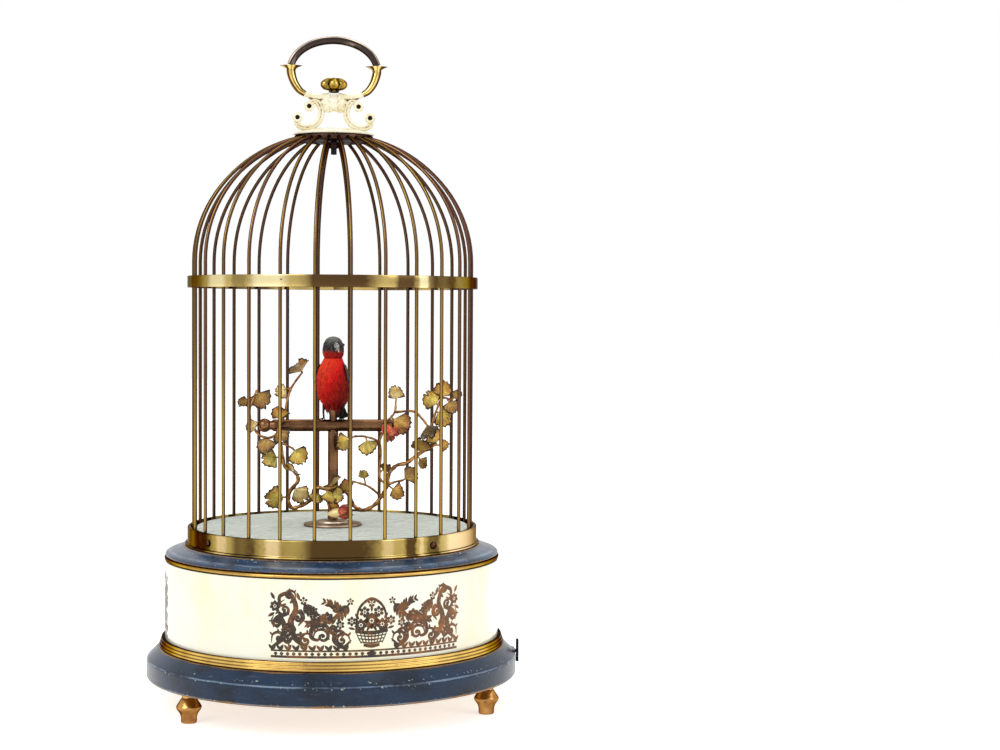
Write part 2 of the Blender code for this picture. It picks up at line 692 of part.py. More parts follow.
def build_cage():
    low, top, lip = RING_LOW, RING_TOP, RING_LOW + RING_LIP_HEIGHT
    sides, phase = 2 * WIRE_COUNT, FIRST_WIRE_ANGLE - pi / 2
    base_ring = turned(
        [
            (FLOOR_RADIUS + SEAT, low),
            (HOOP_OUTER + RING_LIP_WIDTH, low),
            (HOOP_OUTER + RING_LIP_WIDTH, lip - 0.2 * MM),
            (HOOP_OUTER, lip),
            (HOOP_OUTER, top - 0.3 * MM),
            (HOOP_OUTER - 0.4 * MM, top),
            (HOOP_RADIUS, top),
            (HOOP_RADIUS, lip),
            (FLOOR_RADIUS + SEAT, lip),
        ],
        sides,
        phase=phase,
    )
    angles = [wire_angle(gap + 0.5) for gap in RING_SCREW_GAPS]
    holes = [ring_screw_hole(angle, HOOP_RADIUS - MM, HOOP_OUTER + MM) for angle in angles]
    place("cage_base_ring", cut(base_ring, *holes), "brass")

    under, post_hole = FLOOR_UNDERSIDE, POST_RADIUS + SEAT
    floor = turned(
        [
            (FLOOR_RADIUS - FLOOR_SKIRT, low),
            (FLOOR_RADIUS, low),
            (FLOOR_RADIUS, FLOOR_TOP),
            (post_hole, FLOOR_TOP),
            (post_hole, under),
            (FLOOR_RADIUS - FLOOR_SKIRT, under),
        ],
        sides,
        phase=phase,
    )
    deep = HOOP_OUTER + SEAT - SCREW_SHANK_LENGTH - MM
    holes = [ring_screw_hole(angle, deep, FLOOR_RADIUS + MM) for angle in angles]
    place("stage_floor", cut(floor, *holes), "felt")

    places = ("front_left", "front_right", "back_right", "back_left")
    for place_name, angle in zip(places, angles):
        head, shank = SCREW_HEAD_RADIUS, SCREW_SHANK_RADIUS
        screw = turned(
            [
                (0.0, -SCREW_SHANK_LENGTH),
                (shank, -SCREW_SHANK_LENGTH),
                (shank, 0.0),
                (head, 0.0),
                (head, 0.35 * SCREW_HEAD_HEIGHT),
                (0.6 * head, 0.9 * SCREW_HEAD_HEIGHT),
                (0.0, SCREW_HEAD_HEIGHT),
            ],
            TINY_SIDES,
        )
        seat = round_the_axis(HOOP_OUTER + SEAT, angle, low + RING_SCREW_RISE)
        turn = Matrix.Rotation(angle, 4, "Z") @ Matrix.Rotation(pi / 2, 4, "X")
        place(f"ring_screw_{place_name}", moved(screw, Matrix.Translation(seat) @ turn), "brass")

    level = WIRE_FOOT + BAND_LEVEL
    band = turned(
        [
            (HOOP_RADIUS, level - BAND_HEIGHT / 2),
            (HOOP_OUTER, level - BAND_HEIGHT / 2),
            (HOOP_OUTER, level + BAND_HEIGHT / 2),
            (HOOP_RADIUS, level + BAND_HEIGHT / 2),
        ],
        sides,
        phase=phase,
    )
    place("cage_band", band, "brass")
    build_cage_wires()


def dome_height(radius):
    """How high the wires' centre line lies at a distance from the axis."""
    return DOME_LOW + DOME_RISE * sqrt(1.0 - (radius / CAGE_RADIUS) ** 2)


def wire_end_radius():
    return HUB_RADIUS - 1.4 * WIRE_RADIUS


def hub_levels():
    margin = WIRE_RADIUS + 0.15 * MM
    return dome_height(HUB_RADIUS) - margin, dome_height(wire_end_radius()) + margin


def build_cage_wires():
    """All the wires, soldered to the small hub at the top of the dome."""
    steps = 6
    last = acos(wire_end_radius() / CAGE_RADIUS)
    line = [(CAGE_RADIUS, 0.0, WIRE_FOOT)]
    for step in range(steps + 1):
        t = last * step / steps
        line.append((CAGE_RADIUS * cos(t), 0.0, DOME_LOW + DOME_RISE * sin(t)))
    wires = []
    for index in range(WIRE_COUNT):
        shape = swept(line, [WIRE_RADIUS] * len(line), [WIRE_RADIUS] * len(line), 6)
        wires.append(turned_about_z(shape, wire_angle(index) - pi / 2))
    low, high = hub_levels()
    hub = ring(CROWN_STUD_RADIUS + SEAT, HUB_RADIUS, low, high, sides=WIRE_COUNT)
    turned_about_z(hub, FIRST_WIRE_ANGLE - pi / 2 + pi / WIRE_COUNT)
    place("cage_wires", fused(hub, joined(wires)), "aged_brass")


def crown_low():
    return hub_levels()[1] + SEAT


def build_crown():
    """The white casting: a shallow collar, two C scrolls a side, a leaf boss and the roots of the arms."""
    base, half = crown_low(), CROWN_WINDOW_HALF
    radius, stud = COLLAR_RADIUS, CROWN_STUD_RADIUS
    collar = turned(
        [
            (0.0, base - CROWN_STUD_LENGTH),
            (stud, base - CROWN_STUD_LENGTH),
            (stud, base),
            (radius, base),
            (radius, base + 0.28 * COLLAR_HEIGHT),
            (0.9 * radius, base + 0.42 * COLLAR_HEIGHT),
            (0.55 * radius, base + 0.94 * COLLAR_HEIGHT),
            (0.0, base + COLLAR_HEIGHT),
        ],
        ROUND_SIDES,
    )
    tall = CROWN_HEIGHT
    additions = []
    for side in (-1, 1):
        line = [
            (half + 4.6 * MM, 0.80 * tall),
            (half + 2.4 * MM, 0.83 * tall),
            (half + 0.7 * MM, 0.72 * tall),
            (half, 0.55 * tall),
            (half + 0.9 * MM, 0.37 * tall),
            (half + 3.4 * MM, 0.24 * tall),
            (half + 6.8 * MM, 0.19 * tall),
            (half + 10.2 * MM, 0.24 * tall),
            (half + 11.2 * MM, 0.34 * tall),
        ]
        line = [(side * x, z + base) for x, z in line]
        widths = [SCROLL_WIDTH * share for share in (0.8, 0.9, 1.0, 1.0, 1.0, 1.0, 1.0, 0.95, 0.8)]
        additions.append(upright(strip(line, widths), SCROLL_DEPTH / 2))
        eyes = ((half + 5.4 * MM, 0.70 * tall), (half + 10.6 * MM, 0.43 * tall))
        for x, z in eyes:
            proud = SCROLL_DEPTH / 2 + SCROLL_EYE_PROUD
            eye = ring(SCROLL_EYE_HOLE, SCROLL_EYE_RADIUS, -proud, proud, sides=SMALL_SIDES)
            eye = moved(eye, Matrix.Translation((side * x, 0.0, base + z)) @ Matrix.Rotation(pi / 2, 4, "X"))
            additions.append(eye)
        arm = [(0.159 * ARM_REACH, 0.945 * tall), (0.5555 * ARM_REACH, 0.965 * tall), (ARM_REACH, tall)]
        arm = [(side * x, z + base) for x, z in arm]
        additions.append(upright(strip(arm, [ARM_WIDTH] * 3), ARM_DEPTH / 2))
    boss = [(-0.95, 0.88), (-0.6, 0.99), (0.6, 0.99), (0.95, 0.88), (1.1, 0.74), (0.85, 0.58), (0.4, 0.55)]
    boss += [(0.0, 0.60), (-0.4, 0.55), (-0.85, 0.58), (-1.1, 0.74)]
    boss = [(x * half, z * tall + base) for x, z in boss]
    additions.append(upright(boss, BOSS_DEPTH / 2))
    place("crown_casting", fused(collar, *additions), "cream_enamel")

    low = hub_levels()[0] - SEAT - NUT_HEIGHT
    nut = ring((CROWN_STUD_RADIUS + SEAT) / cos(pi / 6), NUT_RADIUS, low, low + NUT_HEIGHT, sides=6)
    place("crown_nut", nut, "aged_brass")


def build_handle():
    base = crown_low()
    rise = base + HANDLE_SPRING
    start = asin((ARM_TOP + SEAT - HANDLE_SPRING) / HANDLE_RISE)
    steps = 14
    line = []
    for step in range(steps + 1):
        t = start + (pi - 2 * start) * step / steps
        line.append((HANDLE_HALF_WIDTH * cos(t), 0.0, rise + HANDLE_RISE * sin(t)))
    half, deep = [HANDLE_THICKNESS / 2] * len(line), [HANDLE_DEPTH / 2] * len(line)
    handle = swept(line, half, deep, TINY_SIDES, first_along=(0, 0, 1), last_along=(0, 0, -1))
    place("carry_handle", handle, "aged_brass")

    for side, name in ((-1, "handle_arm_left"), (1, "handle_arm_right")):
        start_x, end_x = ARM_REACH + SEAT, HANDLE_HALF_WIDTH * cos(start)
        span, climb = end_x - start_x, ARM_TOP - CROWN_HEIGHT
        line = [
            (start_x, CROWN_HEIGHT),
            (start_x + 0.42 * span, CROWN_HEIGHT + 0.14 * climb),
            (start_x + 0.80 * span, CROWN_HEIGHT + 0.42 * climb),
            (end_x, CROWN_HEIGHT + 0.74 * climb),
            (end_x, CROWN_HEIGHT + 0.86 * climb),
            (end_x, ARM_TOP),
        ]
        line = [(side * x, 0.0, z + base) for x, z in line]
        widths = [ARM_CUP_HALF_WIDTH * share for share in (0.34, 0.42, 0.47, 0.53, 0.55, 1.0)]
        depths = [ARM_CUP_HALF_DEPTH * share for share in (0.57, 0.63, 0.70, 0.77, 0.80, 1.0)]
        arm = swept(line, widths, depths, TINY_SIDES, first_along=(side, 0, 0), last_along=(0, 0, 1))
        place(name, arm, "gilt")

    low = base + 0.95 * CROWN_HEIGHT + ARM_WIDTH / 2 + SEAT
    outline = [
        (0.0, 0.0),
        (0.34, 0.0),
        (0.34, 0.14),
        (0.80, 0.28),
        (1.0, 0.52),
        (0.86, 0.78),
        (0.40, 0.96),
        (0.0, 1.0),
    ]
    outline = [(radius * ROSETTE_RADIUS, low + height * ROSETTE_HEIGHT) for radius, height in outline]
    rosette = turned(outline, 3 * ROSETTE_LOBES)
    for point in rosette.verts:
        reach = hypot(point.co.x, point.co.y)
        if reach > 0.5 * ROSETTE_RADIUS:
            swell = 1.0 + 0.10 * (cos(ROSETTE_LOBES * atan2(point.co.y, point.co.x)) - 1.0)
            point.co.x *= swell
            point.co.y *= swell
    place("rosette_knob", rosette, "gilt")


def build_perch():
    bore, wall, low = POST_BORE, POST_RADIUS, FLOOR_UNDERSIDE - 1.5 * MM
    seat = FLOOR_TOP + SEAT
    post = turned(
        [
            (bore, low),
            (wall, low),
            (wall, seat),
            (POST_FLANGE_RADIUS, seat),
            (POST_FLANGE_RADIUS - 0.4 * MM, seat + 0.9 * MM),
            (POST_STEP_RADIUS, seat + 1.1 * MM),
            (POST_STEP_RADIUS - 0.3 * MM, seat + 2.1 * MM),
            (wall, seat + 2.6 * MM),
            (wall, PERCH_Z - PERCH_RADIUS - SEAT),
            (bore, PERCH_Z - PERCH_RADIUS - SEAT),
        ],
        SMALL_SIDES,
    )
    place("perch_post", post, "aged_brass")

    ball, bar, reach = PERCH_BALL_RADIUS, PERCH_RADIUS, PERCH_HALF_LENGTH
    half = [
        (0.0, reach + ball),
        (0.66 * ball, reach + 0.75 * ball),
        (ball, reach),
        (0.66 * ball, reach - 0.75 * ball),
        (0.75 * bar, reach - 1.0 * ball),
        (bar, reach - 1.2 * ball),
    ]
    outline = half + [(radius, -along) for radius, along in half[::-1]]
    bar_shape = moved(turned(outline, SMALL_SIDES), Matrix.Rotation(pi / 2, 4, "Y"))
    moved(bar_shape, Matrix.Translation((0.0, 0.0, PERCH_Z)))
    hole = disc(BODY_TUBE_RADIUS + RUNNING, PERCH_Z - 2 * bar, PERCH_Z + 2 * bar, sides=SMALL_SIDES)
    place("perch_bar", cut(bar_shape, hole), "aged_brass")


def leaf_shape(root, middle, width, lean):
    """A fan-shaped leaf on a narrow stalk, from its root through its middle."""
    reach = (middle - root) / 0.62
    along = reach.normalized()
    facing = Vector((0.0, -1.0, 0.0))
    facing = (facing - along * along.dot(facing)).normalized()
    side = Matrix.Rotation(lean, 3, along) @ along.cross(facing)
    normal = along.cross(side).normalized()
    outline = [(0.0, -0.06), (0.38, -0.08), (0.60, -0.48), (0.88, -0.44), (1.0, 0.0)]
    outline += [(0.88, 0.44), (0.60, 0.48), (0.38, 0.08), (0.0, 0.06)]
    flat = extruded(outline, -0.5, 0.5)
    turn = Matrix.Identity(4)
    for row in range(3):
        turn[row][0], turn[row][1] = reach[row], side[row] * width
        turn[row][2], turn[row][3] = normal[row] * LEAF_THICKNESS, root[row]
    moved(flat, turn)
    bmesh.ops.recalc_face_normals(flat, faces=flat.faces)
    return flat


# Each stem's points in mm: across, depth, height above the floor.  Every twig starts on an earlier stem.
LEFT_STEMS = {
    "trunk": (
        (2.0, -3.9, 18.0), (-2.6, -4.1, 17.0), (-7.8, -2.6, 17.0), (-10.2, -1.0, 11.5),
        (-15.0, 0.0, 8.7), (-18.4, 0.5, 7.9), (-20.0, 0.0, 11.2), (-19.1, -0.5, 15.7),
        (-15.6, -1.0, 20.5), (-17.4, -1.5, 24.7), (-21.5, -1.6, 26.8), (-22.6, -2.2, 31.6),
        (-23.6, -3.2, 37.8), (-24.7, -4.2, 42.0), (-23.4, -4.4, 46.4), (-21.4, -3.6, 50.4),
    ),
    "crest": (
        (-21.4, -3.6, 50.4), (-20.6, -2.0, 56.4), (-18.5, -1.0, 62.6), (-13.9, 0.0, 69.2),
    ),
    "outer_twig": (
        (-24.7, -4.2, 42.0), (-28.4, -4.4, 40.0), (-33.2, -3.4, 41.4), (-36.2, -1.6, 46.4),
        (-37.2, -1.0, 52.4), (-34.3, 0.0, 61.0),
    ),
    "inner_twig": (
        (-23.6, -3.2, 37.8), (-20.8, -3.0, 36.6), (-17.8, -2.6, 34.9),
    ),
    "root_twig": (
        (-2.6, -4.1, 17.0), (-2.2, -4.6, 10.5), (-1.2, -5.2, 6.2),
    ),
}
RIGHT_STEMS = {
    "trunk": (
        (3.2, -1.9, 16.7), (7.1, -2.5, 14.2), (9.1, -1.0, 9.3), (13.3, 0.0, 6.8), (18.1, 1.0, 8.6),
        (21.9, 1.5, 12.8), (24.5, 1.0, 18.2), (25.2, 0.0, 23.2), (28.5, -1.0, 27.1), (33.3, -1.5, 28.4),
        (37.5, -1.0, 31.7), (43.7, 0.0, 35.0), (46.5, 0.5, 37.1),
    ),
    "low_twig": (
        (21.9, 1.5, 12.8), (16.0, 2.0, 17.4), (9.1, 1.0, 19.8),
    ),
    "side_twig": (
        (24.5, 1.0, 18.2), (28.0, 0.0, 19.6), (31.3, -1.0, 20.4),
    ),
    "riser": (
        (24.5, 1.0, 18.2), (20.9, -0.4, 21.8), (21.4, -1.4, 31.0), (20.6, -3.4, 37.8),
        (14.6, -3.9, 40.4), (9.7, -4.0, 40.6),
    ),
    "branch": (
        (20.6, -3.4, 37.8), (22.4, -4.4, 43.2), (24.6, -4.2, 47.6), (27.6, -2.4, 51.4),
        (28.2, -1.2, 56.6),
    ),
    "tip_twig": (
        (27.6, -2.4, 51.4), (36.0, -1.6, 51.7), (40.2, -1.0, 48.2), (43.7, -0.6, 44.7),
        (46.4, 0.0, 51.7), (49.2, 0.4, 57.6), (53.6, 0.0, 56.8),
    ),
}
# Each leaf: its stem, how far along it grows, its middle and its width in mm, and its lean in degrees.
LEFT_LEAVES = (
    ("crest", 3.0, (-15.3, 0.4, 72.8), 8.0, 50),
    ("crest", 2.0, (-23.6, -0.6, 60.6), 6.0, 30),
    ("outer_twig", 4.6, (-40.3, -0.6, 55.6), 6.5, -40),
    ("outer_twig", 5.0, (-32.0, 0.6, 56.4), 8.5, 20),
    ("trunk", 14.4, (-24.2, -5.6, 51.6), 6.5, -20),
    ("outer_twig", 2.4, (-36.4, -3.6, 45.4), 5.5, 30),
    ("outer_twig", 1.2, (-29.8, -4.6, 37.6), 8.0, -20),
    ("trunk", 12.5, (-21.8, -5.2, 43.4), 6.0, 35),
    ("trunk", 11.0, (-28.5, -2.6, 30.4), 7.5, 25),
    ("inner_twig", 2.0, (-15.0, -2.8, 31.4), 8.0, -15),
    ("trunk", 9.4, (-18.8, -2.4, 25.6), 7.0, 30),
    ("trunk", 6.4, (-26.4, -0.6, 12.4), 9.5, -20),
    ("trunk", 7.4, (-14.6, -1.4, 14.0), 8.5, 15),
    ("trunk", 0.6, (0.8, -7.0, 20.6), 7.0, 60),
    ("trunk", 2.0, (-7.2, -5.4, 12.8), 6.0, -25),
)
RIGHT_LEAVES = (
    ("branch", 2.4, (30.6, -5.2, 45.9), 9.5, 10),
    ("branch", 4.0, (27.9, -1.0, 60.4), 6.5, -25),
    ("tip_twig", 4.4, (44.0, 0.6, 57.6), 8.0, 20),
    ("tip_twig", 5.0, (49.6, 0.8, 62.0), 7.5, -15),
    ("tip_twig", 6.0, (56.0, 0.4, 59.4), 6.0, 30),
    ("tip_twig", 5.5, (54.0, -1.6, 53.6), 7.0, -30),
    ("tip_twig", 4.0, (50.2, -0.8, 48.8), 8.5, 10),
    ("tip_twig", 2.6, (42.6, -2.2, 44.0), 8.5, 25),
    ("trunk", 10.3, (39.4, -2.4, 36.6), 7.5, -20),
    ("trunk", 12.0, (45.6, -0.6, 40.6), 7.5, 20),
    ("trunk", 11.6, (50.2, 0.2, 36.6), 5.0, -35),
    ("trunk", 10.0, (40.4, -1.8, 28.2), 5.5, 40),
    ("side_twig", 2.0, (35.0, -1.6, 23.2), 7.5, -25),
    ("trunk", 6.0, (29.2, -0.4, 14.6), 6.5, 20),
    ("riser", 4.0, (15.6, -6.0, 35.6), 7.5, 15),
    ("riser", 5.0, (4.6, -5.0, 37.6), 7.5, -20),
    ("riser", 1.2, (24.0, -1.6, 26.6), 4.5, 30),
    ("low_twig", 1.2, (13.6, 1.2, 23.0), 4.5, -30),
    ("trunk", 0.8, (6.0, -4.4, 18.6), 5.5, 45),
)
# Each bud: its middle, its radius and length in mm, and its heading in degrees.
LEFT_BUDS = (((2.6, -5.8, 6.4), 3.0, 8.5, 80),)
RIGHT_BUDS = (((24.2, -4.9, 42.6), 2.9, 6.2, 30),)
# The sizes for which the stems' points were drawn
DRAWN_REACH = 61.0 * MM
DRAWN_PERCH_RADIUS = 2.7 * MM
DRAWN_PERCH_LEVEL = 45.3 * MM
BESIDE_PERCH = 30.0


def spray_spread():
    return FLOOR_RADIUS / DRAWN_REACH


def spray_point(point):
    """A point of the sprays, spread to suit the cage's size and kept clear of the post and the perch."""
    across, depth, height = (value * MM for value in point)
    clear = 0.0 if abs(point[0]) > BESIDE_PERCH else PERCH_RADIUS - DRAWN_PERCH_RADIUS
    depth += clear if depth > 0.0 else -clear
    return Vector((across * spray_spread(), depth, FLOOR_TOP + height * PERCH_LEVEL / DRAWN_PERCH_LEVEL))


def build_spray(name, stems, leaves, buds):
    """One spray: its stems, leaves and buds soldered into a single piece."""
    lines = {stem: [spray_point(point) for point in points] for stem, points in stems.items()}
    shapes = []
    for stem, line in lines.items():
        if stem == "trunk":
            shapes.append(wire(smooth_line(line, 2), STEM_RADIUS, 5))
        else:
            shapes.append(wire(line, TWIG_RADIUS, 4))
    for stem, along, middle, width, lean in leaves:
        line = smooth_line(lines[stem], 10)
        root = line[min(round(along * 10), len(line) - 1)]
        shapes.append(leaf_shape(root, spray_point(middle), width * MM * spray_spread(), radians(lean)))
    for point, radius, length, heading in buds:
        bud = [(0.0, -0.5), (0.55, -0.42), (1.0, -0.1), (0.85, 0.25), (0.3, 0.48), (0.0, 0.5)]
        bud = turned([(r * radius * MM, z * length * MM) for r, z in bud], TINY_SIDES)
        turn = Matrix.Translation(spray_point(point)) @ Matrix.Rotation(radians(heading), 4, "Y")
        shapes.append(moved(bud, turn))
    place(name, fused(shapes[0], *shapes[1:]), "leaf_green")


# The body's rings from the neck down: how far back, share of the height, half width and half depth in mm
BODY_LINE = (
    (-0.3, 1.00, 3.2, 3.0),
    (-1.1, 0.90, 5.0, 4.8),
    (-1.7, 0.74, 6.5, 6.5),
    (-1.5, 0.55, 7.6, 7.8),
    (-0.5, 0.36, 7.3, 7.6),
    (1.0, 0.18, 6.0, 6.4),
    (2.3, 0.05, 3.9, 4.2),
    (2.9, 0.0, 1.6, 1.8),
)


def build_bird():
    """The bird in its own frame, facing -Y, then turned to its heading."""
    scale = BODY_HALF_WIDTH / max(half for _, _, half, _ in BODY_LINE)
    path = [(0.0, back * scale, BODY_LOW + share * BODY_HEIGHT) for back, share, _, _ in BODY_LINE]
    wide = [half * scale for _, _, half, _ in BODY_LINE]
    deep = [half * scale for _, _, _, half in BODY_LINE]
    levels = {"first_along": (0, 0, -1), "last_along": (0, 0, -1)}

    def body_solid(grown):
        swell = [half + grown for half in wide]
        return swept(path, swell, [half + grown for half in deep], SMALL_SIDES, **levels)

    bore_top = BODY_LOW + 0.17 * BODY_HEIGHT
    tube_hole = disc(BODY_TUBE_RADIUS + RUNNING, BODY_LOW - 5 * MM, bore_top, sides=SMALL_SIDES)
    neck_hole = disc(HEAD_TUBE_RADIUS + RUNNING, BODY_LOW, BODY_TOP + 5 * MM, sides=SMALL_SIDES)
    pivot_y, pivot_z = tail_pivot()
    far = BODY_HALF_WIDTH + 6 * MM
    pocket = side_on(
        [
            (HEAD_TUBE_RADIUS, bore_top - 0.4 * MM),
            (HEAD_TUBE_RADIUS, pivot_z + 2.6 * MM),
            (pivot_y + 1.5 * MM, pivot_z + 2.6 * MM),
            (far, pivot_z + 0.6 * MM),
            (far, pivot_z - 10.0 * MM),
            (pivot_y, pivot_z - 3.6 * MM),
            (pivot_y - 2.4 * MM, bore_top - 0.4 * MM),
        ],
        TAIL_WIDTH / 2 * 0.62 + 2 * SEAT,
    )
    body = cut(body_solid(0.0), tube_hole, neck_hole, pocket)
    place("bird_body", turned_about_z(body, BIRD_HEADING), "red_feathers")

    for side, name in ((-1, "bird_wing_right"), (1, "bird_wing_left")):
        wing = side_on(
            [
                (0.5 * MM, BODY_LOW + 0.86 * BODY_HEIGHT),
                (3.5 * MM, BODY_LOW + 0.90 * BODY_HEIGHT),
                (8.0 * MM, BODY_LOW + 0.62 * BODY_HEIGHT),
                (11.0 * MM, BODY_LOW + 0.18 * BODY_HEIGHT),
                (12.0 * MM, BODY_LOW - 0.12 * BODY_HEIGHT),
                (8.5 * MM, BODY_LOW + 0.12 * BODY_HEIGHT),
                (3.0 * MM, BODY_LOW + 0.40 * BODY_HEIGHT),
            ],
            BODY_HALF_WIDTH / 2,
        )
        middle = BODY_HALF_WIDTH / 2 + TAIL_WIDTH / 2 + SEAT
        moved(wing, Matrix.Translation((side * middle, 0.0, 0.0)))
        outer = body_solid(SEAT + WING_THICKNESS)
        thin = boolean(wing, [outer], "INTERSECT")
        thin = cut(thin, body_solid(SEAT))
        place(name, turned_about_z(thin, BIRD_HEADING), "dark_feathers")

        leg_x = side * 4.4 * MM
        foot_z = PERCH_Z + PERCH_RADIUS + SEAT + LEG_RADIUS
        knee = (leg_x, -0.4 * MM, (foot_z + BODY_LOW) / 2 + MM)
        line = [(leg_x, 1.0 * MM, BODY_LOW + 1.6 * MM), knee]
        line += [(leg_x, 0.4 * MM, foot_z), (leg_x, -2.6 * MM, foot_z)]
        leg = cut(wire(line, LEG_RADIUS), body_solid(SEAT))
        leg_name = "bird_leg_right" if side < 0 else "bird_leg_left"
        place(leg_name, turned_about_z(leg, BIRD_HEADING), "black_steel")
    build_bird_tubes(bore_top)
    build_bird_head()
    build_bird_tail()


def tail_pivot():
    return 5.0 * MM, BODY_LOW + 0.25 * BODY_HEIGHT


def build_bird_tubes(bore_top):
    """The tubes and wires that carry the bird's movements up through the post."""
    low, arm_high = TURN_ARM_LOW, TURN_ARM_LOW + LEVER_THICKNESS
    collar = BODY_TUBE_RADIUS + 1.2 * MM
    tube = turned(
        [
            (BODY_TUBE_BORE, low),
            (collar, low),
            (collar, arm_high),
            (BODY_TUBE_RADIUS, arm_high),
            (BODY_TUBE_RADIUS, bore_top - SEAT),
            (BODY_TUBE_BORE, bore_top - SEAT),
        ],
        SMALL_SIDES,
    )
    half = LEVER_WIDTH / 3
    arm = block((-half, BODY_TUBE_RADIUS + 0.3 * MM, low), (half, TURN_ARM + half, arm_high))
    pin = disc(ARM_PIN_RADIUS, TURN_LEVER_LOW + 0.2 * MM, low + 0.5 * MM, (0.0, TURN_ARM), TINY_SIDES)
    place("body_turn_tube", fused(tube, arm, pin), "steel")

    low, top = HEAD_LEVER_LOW - 0.6 * MM, HEAD_LOW + 1.2 * MM
    plate = (0.96 * HEAD_RADIUS - HEAD_WALL) * cos(pi / HEAD_SIDES) - SEAT
    tube = turned(
        [
            (HEAD_TUBE_BORE, low),
            (HEAD_TUBE_RADIUS, low),
            (HEAD_TUBE_RADIUS, HEAD_LOW + 0.4 * MM),
            (plate, HEAD_LOW + 0.4 * MM),
            (plate, top),
            (HEAD_TUBE_BORE, top),
        ],
        SMALL_SIDES,
    )
    half = LEVER_WIDTH / 4
    near = -(HEAD_TUBE_BORE + HEAD_TUBE_RADIUS) / 2
    arm = block((-half, -HEAD_ARM - half, HEAD_ARM_LOW), (half, near, HEAD_ARM_LOW + MM))
    pin_low = HEAD_LEVER_LOW + 0.2 * MM
    pin = disc(ARM_PIN_RADIUS, pin_low, HEAD_ARM_LOW + 0.5 * MM, (0.0, -HEAD_ARM), TINY_SIDES)
    place("head_turn_tube", fused(tube, arm, pin), "steel")

    beak_top = HEAD_LOW + 3.1 * MM
    beak_low = BEAK_LEVER_LOW + LEVER_THICKNESS + SEAT
    place("beak_wire", disc(PUSH_WIRE_RADIUS, beak_low, beak_top, sides=6), "steel", (0, 0, beak_low))
    tail_top = tail_pivot()[1] - 0.5 * MM
    tail_low = TAIL_LEVER_LOW + LEVER_THICKNESS + SEAT
    at = Matrix.Rotation(BIRD_HEADING, 2) @ Vector((0.0, TAIL_WIRE_OFFSET))
    tail_wire = disc(PUSH_WIRE_RADIUS, tail_low, tail_top, at, 6)
    place("tail_wire", tail_wire, "steel", (at.x, at.y, tail_low))


def build_bird_head():
    low, top, radius, wall = HEAD_LOW, HEAD_TOP, HEAD_RADIUS, HEAD_WALL
    profile = ((0.96, 0.0), (1.0, 0.2), (1.0, 0.45), (0.9, 0.68), (0.62, 0.88), (0.3, 0.97))
    outer = [(share * radius, low + rise * (top - low)) for share, rise in profile]
    inner = [(share * radius - wall, low + rise * (top - low - wall)) for share, rise in profile[:-1]]
    head = turned([(0.0, top), *outer[::-1], *inner, (0.0, top - wall)], HEAD_SIDES)
    bill = low + 0.47 * (top - low)
    front = -radius
    line = [(0.0, front + 1.2 * MM, bill + 0.3 * MM), (0.0, front - 0.4 * BEAK_LENGTH, bill + 0.1 * MM)]
    line.append((0.0, front - BEAK_LENGTH, bill - 1.2 * MM))
    widths = [BEAK_HALF_WIDTH * share for share in (0.8, 0.6, 0.13)]
    depths = [BEAK_HALF_WIDTH * share for share in (1.0, 0.73, 0.17)]
    upper = swept(line, widths, depths, TINY_SIDES, across=(1, 0, 0))
    slot = block((-1.6 * MM, front - MM, low + 1.6 * MM), (1.6 * MM, front + 2.6 * MM, bill - 0.55 * MM))
    head = cut(fused(head, upper), slot)
    place("bird_head", turned_about_z(head, HEAD_HEADING), "dark_feathers", (0, 0, low))

    pivot_y, pivot_z = front + 1.8 * MM, low + 3.8 * MM
    bottom = low + 3.1 * MM + SEAT
    outline = [
        (0.4 * MM, bottom),
        (0.4 * MM, bottom + 0.7 * MM),
        (pivot_y, pivot_z),
        (front - 0.2 * MM, pivot_z - 0.1 * MM),
        (front - 0.72 * BEAK_LENGTH, pivot_z - 0.9 * MM),
        (front - 0.1 * MM, pivot_z - 1.0 * MM),
        (pivot_y, pivot_z - 0.9 * MM),
    ]
    beak = side_on(outline, 0.9 * MM)
    pivot = Matrix.Rotation(HEAD_HEADING, 3, "Z") @ Vector((0.0, pivot_y, pivot_z))
    place("bird_lower_beak", turned_about_z(beak, HEAD_HEADING), "horn", pivot)


def build_bird_tail():
    pivot_y, pivot_z = tail_pivot()
    near = HEAD_TUBE_RADIUS + SEAT
    finger = block((-0.6 * MM, near, pivot_z - 0.2 * MM), (0.6 * MM, pivot_y, pivot_z + 0.7 * MM))
    slope = radians(-42.0)
    along = Vector((0.0, cos(slope), sin(slope)))
    up = Vector((0.0, -sin(slope), cos(slope)))
    root = Vector((0.0, pivot_y, pivot_z))
    half = TAIL_WIDTH / 2
    outline = [(0.0, -0.5), (0.25, -0.56), (0.6, -0.8), (0.95, -1.0), (1.0, -0.5), (0.96, 0.0)]
    outline += [(1.0, 0.5), (0.95, 1.0), (0.6, 0.8), (0.25, 0.56), (0.0, 0.5)]
    blade = extruded([(x * TAIL_LENGTH, y * half) for x, y in outline], -0.6 * MM, 0.6 * MM)
    turn = Matrix.Identity(4)
    for row in range(3):
        turn[row][0], turn[row][1], turn[row][2] = along[row], (1.0, 0.0, 0.0)[row], up[row]
        turn[row][3] = root[row] - 0.8 * MM * along[row]
    moved(blade, turn)
    bmesh.ops.recalc_face_normals(blade, faces=blade.faces)
    pivot = Matrix.Rotation(BIRD_HEADING, 3, "Z") @ root
    place("bird_tail", turned_about_z(fused(blade, finger), BIRD_HEADING), "dark_feathers", pivot)


